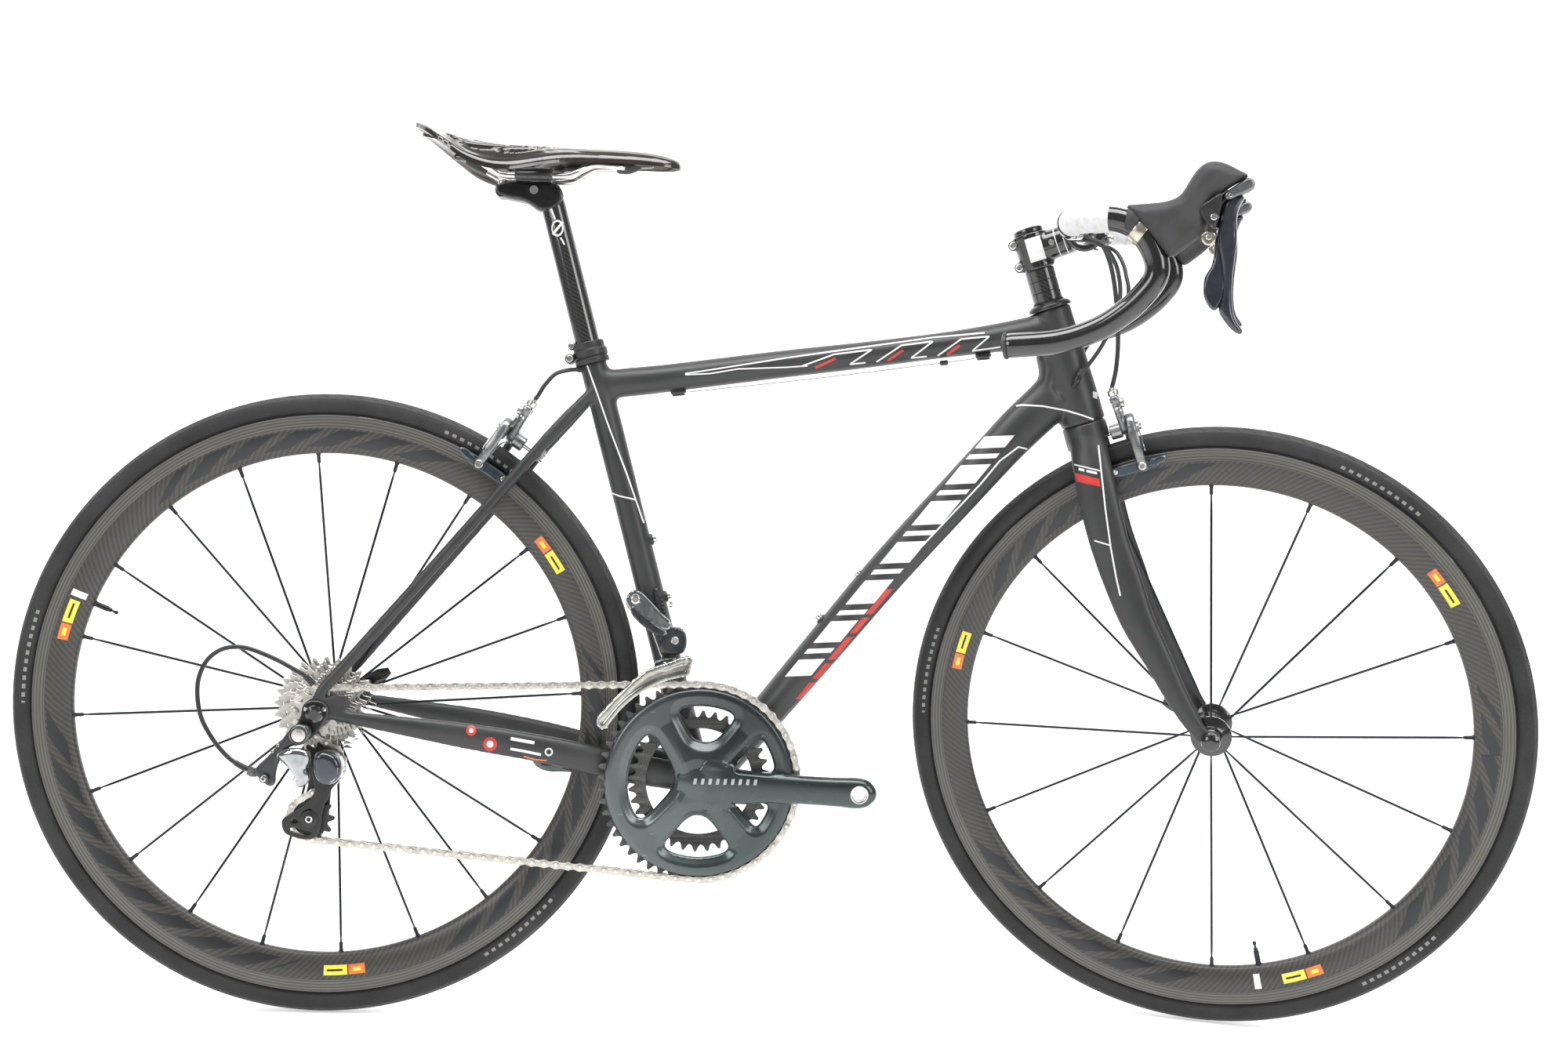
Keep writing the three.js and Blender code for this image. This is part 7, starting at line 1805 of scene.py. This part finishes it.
for s, tag in ((-1, "right"), (1, "left")):
    y = 210 * s
    a = Acc()

    def grip(u, v):
        return 0.35 * (np.sin((u + v * 0.35) * 1.15) > 0.55) * (u > 884) * (u < 912) * (v > 872) * (v < 893)
    a.add(blob(hood_out, 15.2, 10.5, 0.9, y, dent=grip), 0)
    # tunnel round the bar
    a.add(sweep([(860.5, y, 880.4), (866, y, 879.4), (874, y, 876.4)], [13.4, 14.6, 13.6], sides=30, sub=6), 0)
    o = a.obj(f"hood_{tag}_rubber", [HOOD], "steering", "hood_rubber", [f"hood_{tag}"], matrix=STEER, angle=40)
    a = Acc()
    # side bracket panel with its screw, and the small bracket below
    for q in (-1, 1):
        w0, w1 = (14.6, 17.0)
        a.add(slab([(928.6, 891.6), (936, 897), (943, 902.2), (949.6, 906), (950, 899), (948.4, 888), (946.4, 876.4), (939.4, 874.2), (933.4, 881.6)], w0 - 4, w1 - 0.6, r=1.2, cell=0.9, rnd=1, ew=(0, q, 0), o=(0, y, 0)), 0)
        a.add(bolt((943.4, y + q * 16.0, 883.2), (0, q, 0), 3.4, 1.6, 0.55), 1)
        a.add(slab([(931, 866.5), (938, 870.5), (945, 869), (946.6, 861.5), (941, 856.5), (934, 858.5)], 7.5, 10.6, r=1.0, cell=0.8, rnd=1, ew=(0, q, 0), o=(0, y, 0)), 2)
        a.add(bolt((939.5, y + q * 10.4, 864.5), (0, q, 0), 2.9, 1.5, 0.55), 1)
    a.add(sweep([(944.9, y - 14.5, 883.6), (944.9, y + 14.5, 883.6)], 3.4, sides=18, sub=1), 1)
    a.obj(f"hood_{tag}_bracket", [SATIN, STEEL, BRASS], "steering", "lever_grey", matrix=STEER)
    # front cap that carries the lever
    a = Acc()
    a.add(blob(unit_out, 8.4, 6.5, 0.4, y, cell=1.0, rnd=2), 0)
    a.add(slab([(950, 905), (960, 912.2), (971.8, 920.8), (977.4, 918.8), (979.4, 913.6), (977.0, 908.4), (968, 904.4), (953.4, 897.6)], -10.6, 10.6, r=3.0, cell=0.9, rnd=1, o=(0, y, 0)), 1)
    a.add(bolt((957.5, y - 10.2, 903.8), (0, -1, 0), 1.8, 1.0, 0.55), 2)
    a.add(bolt((957.5, y + 10.2, 903.8), (0, 1, 0), 1.8, 1.0, 0.55), 2)
    a.obj(f"shift_unit_{tag}_cap", [ALLOY_BLACK, GREYALLOY, STEEL], f"brake_pull_{tag}", "lever_grey", [f"shift_unit_{tag}"], matrix=STEER)
    a = Acc()

    def lev(u, v, d):
        k = np.clip(1 - d / 4.6, 0, 1)
        w = np.interp(v, [773, 790, 830, 870, 895], [4.0, 5.0, 5.4, 6.4, 8.2])
        return w * np.sqrt(np.maximum(0, 1 - k ** 2.2)) + 0.2
    a.add(pillow(lever_out, lambda u, v, d: lev(u, v, d), lambda u, v, d: -lev(u, v, d), cell=0.95, rnd=2, o=(0, y, 0)), 0)
    a.obj(f"brake_lever_{tag}_blade", [LEVER_GLOSS_PAINTED_SHEEN], f"lever_{tag}", "lever_grey", [f"brake_lever_{tag}"], matrix=STEER)
    a = Acc()

    def pad_(u, v, d):
        k = np.clip(1 - d / 3.2, 0, 1)
        w = np.interp(v, [791, 806, 830, 860], [6.4, 5.4, 3.6, 3.0])
        return w * np.sqrt(np.maximum(0, 1 - k ** 2)) + 0.2
    a.add(pillow(paddle_out, pad_, lambda u, v, d: -pad_(u, v, d), cell=0.9, rnd=2, o=(0, y, 0)), 0)
    a.obj(f"shift_paddle_{tag}_blade", [LEVER_GLOSS_PAINTED_SHEEN], f"paddle_{tag}", "lever_grey", [f"shift_paddle_{tag}"], matrix=STEER)
# ------------------------------------------------------------------ painted graphics, as thin skins on the surfaces
CF, CR, CU = A([0.0536263, 0.9980145, -0.0330332]), A([0.9980412, -0.0525017, 0.0340195]), A([-0.0322176, 0.0347928, 0.9988751])


class Skin:
    """Shapes given where the camera sees them (2000 x 1329 grid) and laid on a surface."""

    def __init__(self, tree, matrix=None, both=True):
        self.t, self.a, self.both = tree, Acc(), both
        self.m = matrix.inverted() if matrix is not None else None

    def hit(self, x, y):
        d = CF + CR * ((x - 1000.0) / 2205.94) + CU * ((664.5 - y) / 2205.94)
        o, e = CAM, CAM + d * 3000
        if self.m is not None:
            o, e = A(self.m @ Vector(o * SC)) / SC, A(self.m @ Vector(e * SC)) / SC
        d = unit(e - o)
        loc, n, i, k = self.t.ray_cast(Vector(o), Vector(d))
        if loc is None:
            return None
        n = A(n)
        return A(loc), n if n.dot(d) < 0 else -n

    def put(self, grid, m, lift=0.28):
        """grid: rows of (x, y)."""
        rows = []
        for r in grid:
            q = [self.hit(*p) for p in r]
            if any(h is None for h in q):
                if len(rows) > 1:
                    self.skin(rows, m, lift)
                rows = []
                continue
            rows.append(q)
        if len(rows) > 1:
            self.skin(rows, m, lift)

    def skin(self, rows, m, lift):
        k, n = len(rows), len(rows[0])
        p = A([[h[0] for h in r] for r in rows])
        if np.abs(np.diff(p[:, :, 1], axis=0)).max() > 9 or np.abs(np.diff(p[:, :, 1], axis=1)).max() > 9:
            return
        nn = A([[h[1] for h in r] for r in rows])
        top, bot = (p + nn * lift).reshape(-1, 3), (p - nn * 0.5).reshape(-1, 3)
        c = k * n
        f = []
        for i in range(k - 1):
            for j in range(n - 1):
                q = (i * n + j, i * n + j + 1, (i + 1) * n + j + 1, (i + 1) * n + j)
                f += [q, tuple(x + c for x in reversed(q))]
        ring = [j for j in range(n)] + [i * n + n - 1 for i in range(1, k)] + [(k - 1) * n + j for j in range(n - 2, -1, -1)] + [i * n for i in range(k - 2, 0, -1)]
        f += [(ring[i], ring[i - 1], ring[i - 1] + c, ring[i] + c) for i in range(len(ring))]
        vf = (np.vstack([top, bot]), f)
        (self.a.mirror if self.both else self.a.add)(vf, m)

    def line(self, pts, w, m, step=3.0, lift=0.28):
        p = A(pts, float)
        s = np.r_[0, np.cumsum(np.linalg.norm(np.diff(p, axis=0), axis=1))]
        q = np.unique(np.r_[np.linspace(0, s[-1], max(2, int(s[-1] / step))), s])
        x, y = np.interp(q, s, p[:, 0]), np.interp(q, s, p[:, 1])
        t = np.stack([np.gradient(x), np.gradient(y)], 1)
        t /= np.linalg.norm(t, axis=1)[:, None]
        n = np.stack([-t[:, 1], t[:, 0]], 1)
        c = np.stack([x, y], 1)
        ww = np.interp(q, s, w) if np.ndim(w) else np.full(len(q), w)
        self.put([[tuple(c[i] + n[i] * ww[i] * k) for k in (-0.5, 0, 0.5)] for i in range(len(c))], m, lift)

    def quad(self, a, b, c, d, m, step=3.0, lift=0.28):
        """Corners in order round the shape."""
        a, b, c, d = (A(q, float) for q in (a, b, c, d))
        nu = max(2, int(max(np.linalg.norm(b - a), np.linalg.norm(c - d)) / step) + 1)
        nv = max(2, int(max(np.linalg.norm(d - a), np.linalg.norm(c - b)) / step) + 1)
        self.put([[tuple((a * (1 - u) + b * u) * (1 - v) + (d * (1 - u) + c * u) * v) for v in np.linspace(0, 1, nv)] for u in np.linspace(0, 1, nu)], m, lift)

    def disc(self, x, y, r0, r1, m, n=22, lift=0.28, sq=1.0):
        rr = [r0, (r0 + r1) / 2, r1]
        h = 2
        for part in range(h):
            ang = np.linspace(part * 2 * pi / h, (part + 1) * 2 * pi / h, n // 2 + 1)
            self.put([[(x + r * sq * cos(t), y + r * sin(t)) for r in rr] for t in ang], m, lift)


W_, R_, O_ = 0, 1, 2
fr_s = Skin(FRAME_BVH)
# top tube: fine outline, broken zigzag and three slashes
fr_s.line([(874, 476.5), (905, 472), (1000, 457), (1100, 443), (1190, 430.5), (1256, 424.5)], 1.7, W_)
fr_s.line([(874, 478), (905, 476.5), (942, 470.5), (1002, 468.5), (1030, 466.5)], 1.7, W_)
for zz in ([(1024, 466.5), (1064, 452), (1112, 446), (1084, 464.5), (1104, 462.5)], [(1118, 461.5), (1150, 440.5), (1190, 435.5), (1162, 456.5), (1182, 454.5)], [(1196, 453.5), (1226, 432.5), (1262, 429), (1240, 447.5), (1276, 442.5)]):
    fr_s.line(zz, 1.9, W_)
for a_, b_ in (((1040, 469), (1066, 457)), ((1132, 460), (1152, 446.5)), ((1208, 452), (1224, 440.5))):
    fr_s.line([a_, b_], 3.2, R_)
# seat tube
fr_s.line([(749, 466), (760, 497), (775, 540), (790, 580), (800, 606), (812, 641), (821, 667)], 1.8, W_)
fr_s.line([(781, 629), (790, 632.5), (811, 637.5)], 1.8, W_)
# head and down tube
fr_s.line([(1296, 518), (1303, 516.5), (1330, 518), (1360, 523.5), (1380, 529.5), (1395, 535)], 2.0, W_)
fr_s.line([(1316, 574), (1299, 570), (1275, 588), (1250, 618), (1200, 671), (1170, 703)], 2.0, W_)
D0, D1 = A([1024.0, 862.0]), A([1276.0, 556.0])
dd_ = (D1 - D0) / np.linalg.norm(D1 - D0)
dn_ = A([-dd_[1], dd_[0]])
DL = np.linalg.norm(D1 - D0)


def dq(t0, t1, s0, s1, m, shear=0.55):
    def P(t, s):
        return tuple(D0 + dd_ * (t * DL + s * shear) + dn_ * s)
    fr_s.quad(P(t0, s0), P(t1, s0), P(t1, s1), P(t0, s1), m)


for t0, t1 in [(0.0, 0.07), (0.095, 0.115), (0.14, 0.23), (0.255, 0.275), (0.30, 0.40), (0.425, 0.445), (0.47, 0.56), (0.585, 0.605), (0.63, 0.73), (0.755, 0.775), (0.80, 0.88), (0.905, 0.925), (0.95, 1.0)]:
    k_ = np.clip((t0 + t1) * 0.9, 0, 1)
    dq(t0, t1, -17 + 2 * k_, 7.5 + 6 * k_, W_, 0.9)
for t0, t1 in [(-0.10, -0.03), (-0.015, 0.05), (0.065, 0.16), (0.175, 0.24), (0.255, 0.36)]:
    dq(t0, t1, 11.5, 18.0, R_, 0.9)
fr_s.quad((1393, 482), (1399, 484), (1399, 495), (1393.5, 493), W_)
fr_s.quad((1394, 499), (1400, 501), (1399, 509), (1394, 507), W_)
# seat stay and chain stay
fr_s.quad((642, 611), (655.5, 620), (651, 627), (637.5, 618), R_)
fr_s.line([(650, 606), (664, 615)], 1.6, W_)
fr_s.line([(671, 588), (679, 593)], 1.3, W_)
fr_s.disc(601, 932, 0.2, 3.0, W_)
fr_s.disc(601, 932, 3.4, 6.6, R_)
fr_s.disc(625, 949, 0.2, 4.4, W_)
fr_s.disc(625, 949, 4.8, 9.0, R_)
fr_s.quad((652, 940), (682, 945.5), (681, 949.5), (651, 944), W_)
fr_s.line([(651, 955), (668, 958), (690, 962.5)], 3.2, W_)
fr_s.disc(700, 959, 3.4, 5.2, W_)
fr_s.line([(668, 964.5), (682, 968.5), (697, 970)], 1.5, O_)
fr_s.a.obj("frame_graphics", [WHITE, RED, ORANGE], "frame", "frame_carbon", angle=60)

fo = Skin(FORK_BVH, STEER)
fo.line([(1401, 568), (1404.5, 600), (1410, 650), (1417, 700), (1424, 738), (1429, 760)], 2.0, W_)
fo.line([(1364, 591), (1385, 596), (1403, 600.5)], 1.6, W_)
fo.quad((1371, 603), (1402, 611), (1403.5, 621), (1374, 614), R_)
fo.line([(1396, 689.5), (1416, 695.5)], 1.8, W_)
fo.quad((1376, 596.5), (1383, 598.2), (1383, 601.4), (1376, 599.8), W_)
fo.quad((1386, 599), (1399, 602), (1399, 605.2), (1386, 602.2), W_)
fo.a.obj("fork_graphics", [WHITE, RED], "steering", "frame_carbon", matrix=STEER, angle=60)

po = Skin(bvh(bpy.data.objects["seat_post_tube"]), POST_M)
po.disc(711, 291, 8.2, 10.6, W_, n=30, lift=0.22, sq=0.72)
po.line([(703, 266), (708, 280)], 2.4, W_, lift=0.22)
po.line([(705, 299), (718, 283)], 3.0, W_, lift=0.22)
po.line([(715, 303), (720, 312)], 2.0, W_, lift=0.22)
po.a.obj("post_badge", [WHITE], "seat_post", "gloss_carbon", matrix=POST_M, angle=60)

cr_o = bpy.data.objects["crank_arm_drive_side"]
cs = Skin(bvh(cr_o), cr_o.matrix_world.copy(), both=False)
GREYM = surface("mark_grey", (0.40, 0.42, 0.42), (0.48, 0.50, 0.50), rough=(0.3, 0.42), metal=0.4, scale=60, fine=900, bump=0.04)
for q in range(9):
    x = 884 + q * 9.6
    y = 993.0 + q * 0.15
    h = 7.4
    cs.quad((x + 1.4, y), (x + 5.4, y), (x + 4.0, y + h), (x, y + h), 0, step=2.5, lift=0.2)
cs.a.obj("crank_graphics", [GREYM], "crankset", "crank_teal_grey", matrix=cr_o.matrix_world.copy(), angle=60)
KEPT = {}
# ------------------------------------------------------------------ CAD nodes that stay visible get a procedural finish
for n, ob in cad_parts.items():
    if not ob.hide_render:
        ob.data.materials.clear()
        ob.data.materials.append(KEPT.get(n, SATIN))
